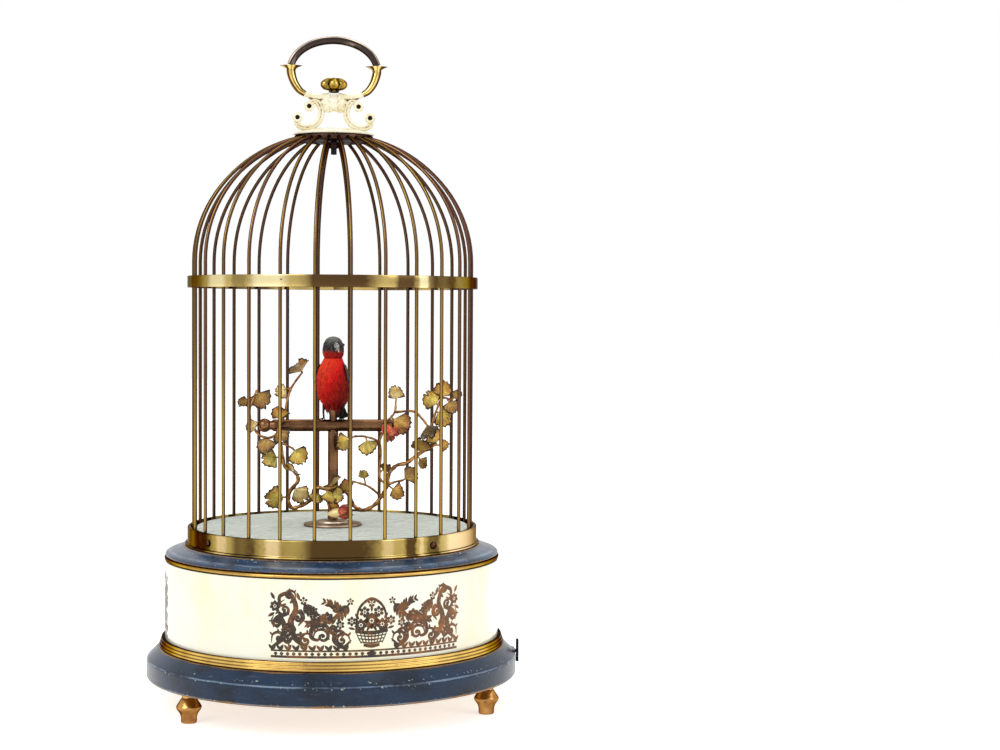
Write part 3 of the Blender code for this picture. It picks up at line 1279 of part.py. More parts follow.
def gear(teeth, low, high, centre, phase, addendum, dedendum, root_half, tip_half):
    """A spur wheel with straight-sided teeth.  Widths are shares of the pitch."""
    radius, step = teeth * MODULE / 2, 2 * pi / teeth
    outline = []
    for tooth in range(teeth):
        angle = phase + tooth * step
        root, tip = radius - dedendum * MODULE, radius + addendum * MODULE
        for reach, share in ((root, -root_half), (tip, -tip_half), (tip, tip_half), (root, root_half)):
            at = angle + share * step
            outline.append((centre[0] + reach * cos(at), centre[1] + reach * sin(at)))
    return extruded(outline, low, high)


def wheel(teeth, low, centre, phase, thickness=WHEEL_THICKNESS):
    return gear(teeth, low, low + thickness, centre, phase, 0.8, 1.0, 0.26, 0.10)


def pinion(teeth, low, high, centre, phase):
    return gear(teeth, low, high, centre, phase, 0.7, 1.1, 0.22, 0.10)


def meshed_phase(driver_teeth, driver_phase, direction, teeth):
    """The phase that puts a gap of the driven wheel where a tooth of the driver points."""
    turn = (direction - driver_phase) * driver_teeth / (2 * pi)
    return direction + pi - (0.5 - turn) * 2 * pi / teeth


def arbor(centre, radius, low, high, pivot_low, pivot_high):
    """A shaft with a thinner pivot at its foot and, unless it runs on, at its head."""
    outline = [(0.0, pivot_low), (PIVOT_RADIUS, pivot_low), (PIVOT_RADIUS, low)]
    outline += [(radius, low), (radius, high)]
    if pivot_high > high:
        outline += [(PIVOT_RADIUS, high), (PIVOT_RADIUS, pivot_high)]
    outline.append((0.0, pivot_high if pivot_high > high else high))
    return turned(outline, SMALL_SIDES, centre)


def movement_outline():
    return [
        (-MOVEMENT_HALF_LENGTH, MOVEMENT_FRONT),
        (MOVEMENT_HALF_LENGTH, MOVEMENT_FRONT),
        (MOVEMENT_HALF_LENGTH, MOVEMENT_BACK),
        (-MOVEMENT_HALF_LENGTH, MOVEMENT_BACK),
    ]


def pillar_places():
    x = MOVEMENT_HALF_LENGTH - PILLAR_INSET
    rows = (MOVEMENT_FRONT + PILLAR_INSET, MOVEMENT_BACK - PILLAR_INSET)
    return [(side * x, y) for side in (-1, 1) for y in rows]


def lever_pin(at, low, high):
    """A shouldered pin that stands on the upper plate and carries a lever between two levels."""
    shoulder = LEVER_PIN_RADIUS + 0.9 * MM
    return turned(
        [
            (0.0, UPPER_PLATE_TOP - 0.5 * MM),
            (shoulder, UPPER_PLATE_TOP - 0.5 * MM),
            (shoulder, low - SEAT),
            (LEVER_PIN_RADIUS, low - SEAT),
            (LEVER_PIN_RADIUS, high + SEAT),
            (0.0, high + SEAT),
        ],
        TINY_SIDES,
        at,
    )


def lift_pin_levels():
    half = LEVER_THICKNESS / 2
    return BEAK_LEVER_LOW + half, TAIL_LEVER_LOW + half


def build_plates():
    low, high = LOWER_PLATE_LOW, LOWER_PLATE_TOP
    hole = PIVOT_RADIUS + RUNNING
    centre_hole = WINDING_ARBOR_RADIUS + 2 * RUNNING

    def drilled(outline, low, high, sizes):
        plate = extruded(outline, low, high)
        return cut(plate, *[disc(radius, low - MM, high + MM, at, TINY_SIDES) for at, radius in sizes])

    sizes = [((0.0, 0.0), centre_hole), (CAM_AT, hole), (CRANK_AT, hole), (FLY_AT, hole)]
    plate = drilled(movement_outline(), low, high, sizes)
    foot, head = BOTTOM_PLATE_TOP + SEAT, UPPER_PLATE_LOW - SEAT
    pillars = [disc(PILLAR_RADIUS, foot, head, at, TINY_SIDES) for at in pillar_places()]
    place("movement_lower_plate", fused(plate, *pillars), "brass")

    plate = drilled(
        movement_outline(),
        UPPER_PLATE_LOW,
        UPPER_PLATE_TOP,
        [
            ((0.0, 0.0), hole),
            (CAM_AT, ARBOR_RADIUS + 1.5 * RUNNING),
            (CRANK_AT, ARBOR_RADIUS + 1.5 * RUNNING),
            (FLY_AT, hole),
        ],
    )
    turn_pin = lever_pin((0.0, TURN_PIVOT_DISTANCE), TURN_LEVER_LOW, TURN_LEVER_LOW + LEVER_THICKNESS)
    head_pin = lever_pin((0.0, -HEAD_PIVOT_DISTANCE), HEAD_LEVER_LOW, HEAD_LEVER_LOW + LEVER_THICKNESS)
    beak_z, tail_z = lift_pin_levels()
    width, length = LEVER_WIDTH, LIFT_EYE_LENGTH
    cheek_y = length / 2 + RUNNING
    cheek = block(
        (LIFT_PIVOT_X - width / 2, cheek_y, UPPER_PLATE_TOP - 0.5 * MM),
        (LIFT_PIVOT_X + width / 2, cheek_y + 2.2 * MM, tail_z + 2.2 * MM),
    )
    pins = []
    for z in (beak_z, tail_z):
        start, end = (LIFT_PIVOT_X, cheek_y + MM, z), (LIFT_PIVOT_X, -length / 2 - SEAT, z)
        pins.append(wire([start, end], PIVOT_RADIUS, TINY_SIDES))
    place("movement_upper_plate", fused(plate, turn_pin, head_pin, fused(cheek, *pins)), "brass")


def ratchet_levels():
    low = BOTTOM_PLATE_TOP + 1.2 * MM
    return low, low + 1.6 * MM


def build_winding():
    key_top = PLINTH_LOW - SEAT
    shank_low = FOOT_HEIGHT * 0.55
    arbor_low = shank_low + 1.6 * MM
    square = WINDING_ARBOR_RADIUS * 0.7
    low, high = ratchet_levels()
    shoulder = BARREL_TOP + 2.0 * MM
    shaft = turned(
        [
            (0.0, low - 0.8 * MM),
            (WINDING_ARBOR_RADIUS, low - 0.8 * MM),
            (WINDING_ARBOR_RADIUS, shoulder),
            (PIVOT_RADIUS, shoulder),
            (PIVOT_RADIUS, UPPER_PLATE_TOP - SEAT),
            (0.0, UPPER_PLATE_TOP - SEAT),
        ],
        SMALL_SIDES,
    )
    teeth = []
    for tooth in range(RATCHET_TEETH):
        angle = 2 * pi * tooth / RATCHET_TEETH
        later = angle + 2 * pi / RATCHET_TEETH * 0.88
        inner = RATCHET_RADIUS - 1.3 * MM
        teeth.append((RATCHET_RADIUS * cos(angle), RATCHET_RADIUS * sin(angle)))
        teeth.append((inner * cos(later), inner * sin(later)))
    square_end = block((-square, -square, arbor_low), (square, square, low))
    place("winding_arbor", fused(shaft, square_end, extruded(teeth, low, high)), "steel", (0, 0, low))

    wing_low, span = KEY_FLOOR_CLEARANCE, KEY_HALF_SPAN
    wing_high = shank_low + 0.4 * MM
    tall = wing_high - wing_low
    outline = [
        (-span, wing_low + 0.3 * tall),
        (-0.86 * span, wing_low),
        (-0.4 * span, wing_low),
        (0.0, wing_low + 0.2 * tall),
        (0.4 * span, wing_low),
        (0.86 * span, wing_low),
        (span, wing_low + 0.3 * tall),
        (span, wing_low + 0.7 * tall),
        (0.86 * span, wing_high),
        (-0.86 * span, wing_high),
        (-span, wing_low + 0.7 * tall),
    ]
    shank = turned(
        [
            (0.0, wing_low + 0.5 * tall),
            (KEY_SHANK_RADIUS, wing_low + 0.6 * tall),
            (KEY_SHANK_RADIUS, key_top),
            (0.0, key_top),
        ],
        SMALL_SIDES,
    )
    bow = upright(outline, KEY_THICKNESS / 2)
    across = square + SEAT
    socket = block((-across, -across, arbor_low - SEAT), (across, across, key_top + MM))
    place("winding_key", cut(fused(shank, bow), socket), "steel", (0, 0, key_top))

    at = click_pivot()
    tip = Vector((RATCHET_RADIUS + SEAT, 0.0))
    toe = Matrix.Rotation(radians(10.0), 2) @ tip
    outline = strip([at + Vector((1.0 * MM, -4.0 * MM)), at, toe], [1.6 * MM, 2.2 * MM, 0.5 * MM])
    boss = disc(2.0 * MM, low + 0.1 * MM, high + 0.1 * MM, at, SMALL_SIDES)
    body = fused(extruded(outline, low, high), boss)
    click = cut(body, disc(PIVOT_RADIUS + RUNNING, low - MM, high + MM, at, TINY_SIDES))
    place("ratchet_click", click, "steel", (*at, low))


def build_barrel():
    bore = WINDING_ARBOR_RADIUS + RUNNING
    base = wheel(BARREL_TEETH, BARREL_LOW, (0.0, 0.0), 0.0)
    hole = disc(bore, BARREL_LOW - MM, BARREL_LOW + 4 * MM, sides=SMALL_SIDES)
    inner = BARREL_RADIUS - BARREL_WALL
    lid = 1.0 * MM
    wall = ring(inner, BARREL_RADIUS, BARREL_LOW + WHEEL_THICKNESS / 2, BARREL_TOP - lid - SEAT)
    place("mainspring_barrel", fused(cut(base, hole), wall), "brass", (0, 0, BARREL_LOW))
    cover = ring(bore, BARREL_RADIUS, BARREL_TOP - lid, BARREL_TOP)
    place("barrel_cover", cover, "brass", (0, 0, BARREL_TOP))

    steps = 12 * MAINSPRING_TURNS
    half = MAINSPRING_THICKNESS / 2
    start = WINDING_ARBOR_RADIUS + SEAT + half
    end = inner * cos(pi / ROUND_SIDES) - SEAT - half
    line = []
    for step in range(steps + 1):
        angle = 2 * pi * MAINSPRING_TURNS * step / steps
        radius = start + (end - start) * step / steps
        line.append((radius * cos(angle), radius * sin(angle)))
    low = BARREL_LOW + WHEEL_THICKNESS + SEAT
    spring = extruded(strip(line, [2 * half] * len(line)), low, BARREL_TOP - lid - 2 * SEAT)
    place("mainspring", spring, "spring_steel", (0, 0, BARREL_LOW))


def build_train():
    """Cam arbor, crank arbor and fly, each turned by the wheel before it."""
    pinion_high = BARREL_LOW + WHEEL_THICKNESS + 0.5 * MM
    cam_phase = meshed_phase(BARREL_TEETH, 0.0, 0.0, CAM_PINION_TEETH)
    shoulder, foot = LOWER_PLATE_TOP + SEAT, LOWER_PLATE_LOW + SEAT
    top = TURN_LEVER_LOW + LEVER_THICKNESS + MM
    shaft = arbor(CAM_AT, ARBOR_RADIUS, shoulder, top, foot, top)
    face_low = FACE_CAM_LOW
    face_high = FACE_CAM_TOP - FACE_CAM_LIFT
    raised = []
    for start, end, middle in FACE_CAM_TRACKS:
        arc = [radians(start + (end - start) * step / 4) for step in range(5)]
        inner, outer = middle - FACE_CAM_TRACK_WIDTH / 2, middle + FACE_CAM_TRACK_WIDTH / 2
        outline = [(CAM_AT.x + outer * cos(t), CAM_AT.y + outer * sin(t)) for t in arc]
        outline += [(CAM_AT.x + inner * cos(t), CAM_AT.y + inner * sin(t)) for t in arc[::-1]]
        raised.append(extruded(outline, face_high - 0.5 * MM, FACE_CAM_TOP))
    cams = []
    for low, lobes in ((HEAD_LEVER_LOW, 2), (TURN_LEVER_LOW, 3)):
        outline = []
        for step in range(SMALL_SIDES):
            angle = 2 * pi * step / SMALL_SIDES
            reach = CAM_RADIUS * (0.84 + 0.16 * cos(lobes * angle))
            outline.append((CAM_AT.x + reach * cos(angle), CAM_AT.y + reach * sin(angle)))
        cams.append(extruded(outline, low, low + LEVER_THICKNESS))
    cam_stack = fused(
        shaft,
        pinion(CAM_PINION_TEETH, BARREL_LOW, pinion_high, CAM_AT, cam_phase),
        wheel(TRAIN_WHEEL_TEETH, CAM_WHEEL_LOW, CAM_AT, 0.0, 1.2 * MM),
        disc(FACE_CAM_RADIUS, face_low, face_high, CAM_AT),
        *raised,
        *cams,
    )
    place("cam_stack", cam_stack, "brass", (*CAM_AT, BARREL_LOW))

    crank_phase = meshed_phase(TRAIN_WHEEL_TEETH, 0.0, CRANK_DIRECTION, TRAIN_PINION_TEETH)
    ecc_low = UPPER_PLATE_TOP + 1.2 * MM
    ecc_high = ecc_low + 3.0 * MM
    offset = CRANK_AT + Vector((0.0, -2.0 * MM))
    crank = fused(
        arbor(CRANK_AT, ARBOR_RADIUS, shoulder, ecc_high, foot, ecc_high),
        pinion(TRAIN_PINION_TEETH, CAM_WHEEL_LOW - SEAT, CRANK_WHEEL_LOW + SEAT, CRANK_AT, crank_phase),
        wheel(TRAIN_WHEEL_TEETH, CRANK_WHEEL_LOW, CRANK_AT, 0.0, 1.2 * MM),
        disc(3.0 * MM, ecc_low, ecc_high - 0.4 * MM, offset, SMALL_SIDES),
    )
    place("crank_wheel", crank, "brass", (*CRANK_AT, CAM_WHEEL_LOW))

    fly_phase = meshed_phase(TRAIN_WHEEL_TEETH, 0.0, FLY_DIRECTION, TRAIN_PINION_TEETH)
    half = FLY_HALF_SPAN
    vane_low, vane_high = BARREL_LOW + 4 * MM, CAM_WHEEL_LOW - 3 * MM
    vane = block((-half, -0.4 * MM, vane_low), (half, 0.4 * MM, vane_high))
    moved(vane, Matrix.Translation((*FLY_AT, 0.0)) @ Matrix.Rotation(radians(30.0), 4, "Z"))
    lever_low = stop_lever_low()
    fly = fused(
        arbor(FLY_AT, 1.0 * MM, shoulder, UPPER_PLATE_LOW - SEAT, foot, UPPER_PLATE_TOP - SEAT),
        pinion(TRAIN_PINION_TEETH, CRANK_WHEEL_LOW - SEAT, CRANK_WHEEL_LOW + 1.5 * MM, FLY_AT, fly_phase),
        disc(STOP_DISC_RADIUS, lever_low, lever_low + LEVER_THICKNESS, FLY_AT, SMALL_SIDES),
        vane,
    )
    place("governor_fly", fly, "brass", (*FLY_AT, LOWER_PLATE_TOP))


def build_swing_lever(name, low, pivot_y, pin_y):
    """A flat lever whose fork turns one of the bird's tubes and whose nose follows an edge cam."""
    side = 1.0 if pivot_y > 0.0 else -1.0
    high = low + LEVER_THICKNESS
    play, prong = ARM_PIN_RADIUS + FORK_PLAY, ARM_PIN_RADIUS + FORK_PLAY + 1.2 * MM
    tip, throat = pin_y - side * 1.8 * MM, pin_y + side * 2.2 * MM
    root = pin_y + side * 4.4 * MM
    half = LEVER_WIDTH / 2
    fork = [(-prong, tip), (-play, tip), (-play, throat), (play, throat), (play, tip), (prong, tip)]
    fork += [(prong, root), (half, root + side * MM), (half, pivot_y), (-half, pivot_y)]
    fork += [(-half, root + side * MM), (-prong, root)]
    nose = Vector((CAM_X - 1.2 * MM, side * (CAM_RADIUS + 3.5 * MM)))
    arm = strip([(0.0, pivot_y), nose], [LEVER_WIDTH, 1.6 * MM])
    pivot = (0.0, pivot_y)
    body = fused(
        extruded(fork, low, high),
        extruded(arm, low + 0.1 * MM, high - 0.1 * MM),
        disc(LEVER_PIN_RADIUS + RUNNING + 1.1 * MM, low - 0.1 * MM, high + 0.1 * MM, pivot, SMALL_SIDES),
    )
    lever = cut(body, disc(LEVER_PIN_RADIUS + RUNNING, low - MM, high + MM, pivot, SMALL_SIDES))
    place(name, lever, "steel", (*pivot, low))


def build_lift_lever(name, low, nose_y, hole):
    """A lever that tips about a cross pin, with its pad under a wire and its nose over the face cam."""
    high, half = low + LEVER_THICKNESS, LEVER_THICKNESS / 2
    nose = Vector((CAM_X - 5.0 * MM, nose_y))
    bar = strip([(LIFT_PIVOT_X, 0.0), (0.0, 0.0), nose], [LEVER_WIDTH, LEVER_WIDTH, 2.0 * MM])
    pivot = (LIFT_PIVOT_X, 0.0, low + half)
    reach = LIFT_EYE_LENGTH / 2
    eye = wire([(LIFT_PIVOT_X, side * reach, low + half) for side in (-1, 1)], LIFT_EYE_RADIUS)
    ends = [(LIFT_PIVOT_X, side * (reach + MM), low + half) for side in (-1, 1)]
    bore = wire(ends, PIVOT_RADIUS + RUNNING, TINY_SIDES)
    foot = disc(MM, BEAK_LEVER_LOW, low + half, nose, TINY_SIDES)
    pad = disc(2.4 * MM, low + 0.1 * MM, high, sides=SMALL_SIDES)
    shapes = [eye, pad]
    if low > BEAK_LEVER_LOW:
        shapes.append(foot)
    body = cut(fused(extruded(bar, low, high - 0.1 * MM), *shapes), bore)
    if hole:
        passage = disc(PUSH_WIRE_RADIUS + 2 * RUNNING, low - MM, high + MM, sides=TINY_SIDES)
        body = cut(body, passage)
    place(name, body, "steel", pivot)


def build_levers():
    build_swing_lever("body_turn_lever", TURN_LEVER_LOW, TURN_PIVOT_DISTANCE, TURN_ARM)
    build_swing_lever("head_turn_lever", HEAD_LEVER_LOW, -HEAD_PIVOT_DISTANCE, -HEAD_ARM)
    build_lift_lever("beak_lever", BEAK_LEVER_LOW, -4.0 * MM, False)
    build_lift_lever("tail_lever", TAIL_LEVER_LOW, 4.0 * MM, True)

    low, high = stop_lever_low(), stop_lever_low() + LEVER_THICKNESS
    pivot = Vector((STOP_PIVOT_X, 0.0))
    tip = FLY_AT + Vector((STOP_DISC_RADIUS + 0.7 * MM, -0.4 * MM))
    half = LEVER_WIDTH / 2
    tab = PLINTH_RADIUS + 2 * SEAT
    body = fused(
        extruded(strip([pivot, tip], [LEVER_WIDTH, 1.4 * MM]), low, high),
        block((STOP_PIVOT_X, -half, low + 0.1 * MM), (tab + STOP_TAB_THICKNESS / 2, half, high - 0.1 * MM)),
        disc(LEVER_PIN_RADIUS + RUNNING + 1.3 * MM, low - 0.1 * MM, high + 0.1 * MM, pivot, SMALL_SIDES),
        block(
            (tab, -half - 0.2 * MM, low - 0.4 * STOP_TAB_HEIGHT),
            (tab + STOP_TAB_THICKNESS, half + 0.2 * MM, low + 0.6 * STOP_TAB_HEIGHT),
        ),
    )
    lever = cut(body, disc(LEVER_PIN_RADIUS + RUNNING, low - MM, high + MM, pivot, SMALL_SIDES))
    place("start_stop_lever", lever, "black_steel", (*pivot, low))


def build_bellows():
    low = UPPER_PLATE_TOP + SEAT
    board, hinge = BELLOWS_BOARD, BELLOWS_HINGE
    knuckle_radius = PIVOT_RADIUS + RUNNING + 0.8 * MM
    face = hinge.y + knuckle_radius + SEAT
    corner = (hinge.x + BELLOWS_LENGTH, face + board, low + BELLOWS_HEIGHT + 2 * MM)
    base = block((hinge.x - 2.4 * MM, face, low), corner)
    half = 1.5 * MM
    lug = block((hinge.x - half, hinge.y - half, low), (hinge.x + half, face + 0.5 * MM, low + 0.7 * MM))
    pin = disc(PIVOT_RADIUS, low + 0.3 * MM, low + BELLOWS_HEIGHT + MM, hinge, TINY_SIDES)
    place("bellows_base_board", fused(base, lug, pin), "beech")

    angle = -BELLOWS_OPEN_ANGLE
    foot, head = low + 1.0 * MM, low + BELLOWS_HEIGHT

    def swung(near, far, front, back, foot, head):
        shape = block((near, front, foot), (far, back, head))
        return moved(shape, Matrix.Translation((*hinge, 0.0)) @ Matrix.Rotation(angle, 4, "Z"))

    leaf = swung(1.2 * MM, BELLOWS_LENGTH, -board / 2, board / 2, foot, head)
    knuckle = disc(knuckle_radius, foot, head, hinge, SMALL_SIDES)
    follower_low = UPPER_PLATE_TOP + 1.6 * MM
    turn = Matrix.Rotation(angle, 2)
    tab_root = hinge + turn @ Vector((BELLOWS_LENGTH - MM, 0.0))
    towards = (tab_root - CRANK_AT).normalized()
    tab_tip = CRANK_AT + towards * (5.0 * MM + SEAT + 0.6 * MM)
    tab = extruded(strip([tab_root, tab_tip], [board, board]), follower_low, follower_low + 2.4 * MM)
    bore = disc(PIVOT_RADIUS + RUNNING, foot - MM, head + MM, hinge, TINY_SIDES)
    board_shape = cut(fused(leaf, knuckle, tab), bore)
    place("bellows_moving_board", board_shape, "beech", (*hinge, low))

    near, far = 4.5 * MM, BELLOWS_LENGTH - 1.5 * MM
    pleats = 3
    fixed = face - SEAT - hinge.y
    outline = []
    for step in range(2 * pleats + 1):
        share = step / (2 * pleats)
        bulge = far if step % 2 else far - 2.5 * MM
        start = Vector((bulge, fixed))
        end = Matrix.Rotation(angle, 2) @ Vector((bulge, board / 2 + SEAT))
        outline.append(start.lerp(end, share))
    outline.append(Matrix.Rotation(angle, 2) @ Vector((near, board / 2 + SEAT)))
    outline.append(Vector((near, fixed)))
    leather = extruded([hinge + point for point in outline], foot + MM, head - MM)
    place("bellows_leather", leather, "leather")


def build_whistle():
    low = UPPER_PLATE_TOP + SEAT
    axis_z = low + WHISTLE_RADIUS + 0.8 * MM
    front = MOVEMENT_FRONT + 5.0 * MM
    tube = ring(WHISTLE_BORE, WHISTLE_RADIUS, 0.0, WHISTLE_LENGTH, sides=SMALL_SIDES)
    middle = (WHISTLE_BORE + WHISTLE_RADIUS) / 2
    plug_high = WHISTLE_LENGTH - 0.5 * MM
    plug = disc(middle, plug_high - WHISTLE_PLUG_LENGTH, plug_high, sides=SMALL_SIDES)
    turn = Matrix.Translation((WHISTLE_X, front, axis_z)) @ Matrix.Rotation(-pi / 2, 4, "X")
    pipe = moved(fused(tube, plug), turn)
    back = front + WHISTLE_LENGTH
    half, top = 0.75 * WHISTLE_RADIUS, axis_z - WHISTLE_BORE - 0.4 * MM
    saddle = block((WHISTLE_X - half, front + 8 * MM, low), (WHISTLE_X + half, back - 8 * MM, top))
    half, sill = 0.5 * WHISTLE_RADIUS, axis_z + 0.5 * WHISTLE_BORE
    mouth_back = back - 0.5 * MM - WHISTLE_PLUG_LENGTH - MM
    corner = (WHISTLE_X + half, mouth_back, sill + WHISTLE_RADIUS)
    mouth = block((WHISTLE_X - half, mouth_back - WHISTLE_MOUTH_LENGTH, sill), corner)
    place("whistle_pipe", cut(fused(pipe, saddle), mouth), "brass")

    head, face = WHISTLE_BORE * cos(pi / SMALL_SIDES) - RUNNING, 2.0 * MM
    piston = turned(
        [
            (0.0, -PISTON_ROD_LENGTH),
            (PIVOT_RADIUS, -PISTON_ROD_LENGTH),
            (PIVOT_RADIUS, face),
            (head, face),
            (head, face + PISTON_HEAD_LENGTH),
            (0.0, face + PISTON_HEAD_LENGTH),
        ],
        SMALL_SIDES,
    )
    at = (WHISTLE_X, front, axis_z)
    moved(piston, Matrix.Translation(at) @ Matrix.Rotation(-pi / 2, 4, "X"))
    place("whistle_piston", piston, "steel", at)


def main():
    clear_scene()
    build_feet()
    build_plinth()
    build_bottom_plate()
    build_drum()
    build_cage()
    build_crown()
    build_handle()
    build_perch()
    build_spray("spray_left", LEFT_STEMS, LEFT_LEAVES, LEFT_BUDS)
    build_spray("spray_right", RIGHT_STEMS, RIGHT_LEAVES, RIGHT_BUDS)
    build_bird()
    build_plates()
    build_winding()
    build_barrel()
    build_train()
    build_levers()
    build_bellows()
    build_whistle()


main()
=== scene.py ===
"""The looks of the singing bird automaton: finishes, fine meshes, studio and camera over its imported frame."""

import json
import logging
from collections.abc import Callable, Sequence
from dataclasses import dataclass, field
from enum import Enum
from math import atan2, cos, degrees, pi, radians, sin
from typing import ClassVar

import bmesh
import bpy
import numpy as np
from mathutils import Matrix, Vector

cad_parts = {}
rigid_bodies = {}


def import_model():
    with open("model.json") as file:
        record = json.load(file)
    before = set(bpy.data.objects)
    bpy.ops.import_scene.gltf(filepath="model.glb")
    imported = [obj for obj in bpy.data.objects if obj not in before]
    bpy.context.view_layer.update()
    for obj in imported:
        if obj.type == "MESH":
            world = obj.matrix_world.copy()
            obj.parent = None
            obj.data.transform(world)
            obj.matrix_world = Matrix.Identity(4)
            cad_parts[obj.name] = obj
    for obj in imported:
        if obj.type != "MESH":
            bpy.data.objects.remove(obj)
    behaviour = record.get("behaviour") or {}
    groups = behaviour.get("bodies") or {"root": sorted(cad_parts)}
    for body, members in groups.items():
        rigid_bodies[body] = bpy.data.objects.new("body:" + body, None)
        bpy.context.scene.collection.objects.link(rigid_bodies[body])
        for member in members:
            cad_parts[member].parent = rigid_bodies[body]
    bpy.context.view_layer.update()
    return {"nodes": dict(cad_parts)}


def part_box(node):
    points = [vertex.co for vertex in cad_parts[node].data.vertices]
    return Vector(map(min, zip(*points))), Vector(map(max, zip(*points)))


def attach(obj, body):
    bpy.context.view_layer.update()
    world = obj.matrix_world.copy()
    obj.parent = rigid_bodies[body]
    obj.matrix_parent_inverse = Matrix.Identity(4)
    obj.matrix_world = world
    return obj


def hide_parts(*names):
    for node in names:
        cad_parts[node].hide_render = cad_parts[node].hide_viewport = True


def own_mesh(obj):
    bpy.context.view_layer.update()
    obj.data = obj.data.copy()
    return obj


for leftover in list(bpy.data.objects):
    bpy.data.objects.remove(leftover)
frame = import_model()

LOG = logging.getLogger("bird_cage")
MM = 0.001
LEAST_RADIUS = 0.002
RING_SIDES = 256

Shade = tuple[float, float, float, float]
Spot = tuple[float, float, float]
Places = tuple[Spot, ...]
Flat = tuple[float, float]
Outline = Sequence[Flat]
Curve = tuple[tuple[Flat, ...], tuple[float, ...]]


class Body(Enum):
    """The moving bodies of the frame that new pieces ride on."""

    CASE = "case"
    BIRD = "bird"
    HEAD = "head"
    BEAK = "beak"
    TAIL = "tail"


class Slot(Enum):
    """The record's material slots."""

    GILT = "gilt"
    RING_BRASS = "ring_brass"
    WIRE_BRASS = "wire_brass"
    PERCH_BRONZE = "perch_bronze"
    BLUE_LACQUER = "blue_lacquer"
    DRUM_ENAMEL = "drum_enamel"
    CREAM_ENAMEL = "cream_enamel"
    FELTED_BOARD = "felted_board"
    LEAF_ENAMEL = "leaf_enamel"
    BLACKENED_STEEL = "blackened_steel"
    RED_FEATHERS = "red_feathers"
    DARK_FEATHERS = "dark_feathers"
    HORN = "horn"
    KID_LEATHER = "kid_leather"


def shade(red: int, green: int, blue: int) -> Shade:
    """Turns a colour as a screen shows it into the scene's own.

    Args:
        red: its red, from 0 to 255.
        green: its green, likewise.
        blue: its blue, likewise.

    Returns:
        The colour with its light in straight proportion, and full cover.
    """
    parts = [part / 255 for part in (red, green, blue)]
    straight = [part / 12.92 if part <= 0.04045 else ((part + 0.055) / 1.055) ** 2.4 for part in parts]
    return (straight[0], straight[1], straight[2], 1.0)


class Link:
    """A node's output, with the arithmetic that the finishes do on values."""

    def __init__(self, painter: "Painter", socket: bpy.types.NodeSocket | None) -> None:
        """Keeps the socket and the painter that it belongs to."""
        self.painter = painter
        self.socket = socket

    def _with(self, operation: str, first: "Link | float", second: "Link | float") -> "Link":
        """Adds the Math node of one operation."""
        return self.painter.node("ShaderNodeMath", {"operation": operation}, {0: first, 1: second})

    def __add__(self, other: "Link | float") -> "Link":
        """Adds two values."""
        return self._with("ADD", self, other)

    def __radd__(self, other: float) -> "Link":
        """Adds this value to a number."""
        return self._with("ADD", other, self)

    def __sub__(self, other: "Link | float") -> "Link":
        """Takes the other value from this one."""
        return self._with("SUBTRACT", self, other)

    def __rsub__(self, other: float) -> "Link":
        """Takes this value from a number."""
        return self._with("SUBTRACT", other, self)

    def __mul__(self, other: "Link | float") -> "Link":
        """Multiplies two values."""
        return self._with("MULTIPLY", self, other)

    def __rmul__(self, other: float) -> "Link":
        """Multiplies a number by this value."""
        return self._with("MULTIPLY", other, self)

    def __pow__(self, other: float) -> "Link":
        """Raises this value to a power."""
        return self._with("POWER", self, other)

    def __abs__(self) -> "Link":
        """Drops the value's sign."""
        return self._with("ABSOLUTE", self, 0.0)

    def wave(self) -> "Link":
        """Gives the sine of the value."""
        return self._with("SINE", self, 0.0)

    def most(self, other: "Link | float") -> "Link":
        """Gives the larger of two values."""
        return self._with("MAXIMUM", self, other)

    def turn_from(self, other: "Link") -> "Link":
        """Gives the angle whose tangent is this value over the other."""
        return self._with("ARCTAN2", self, other)


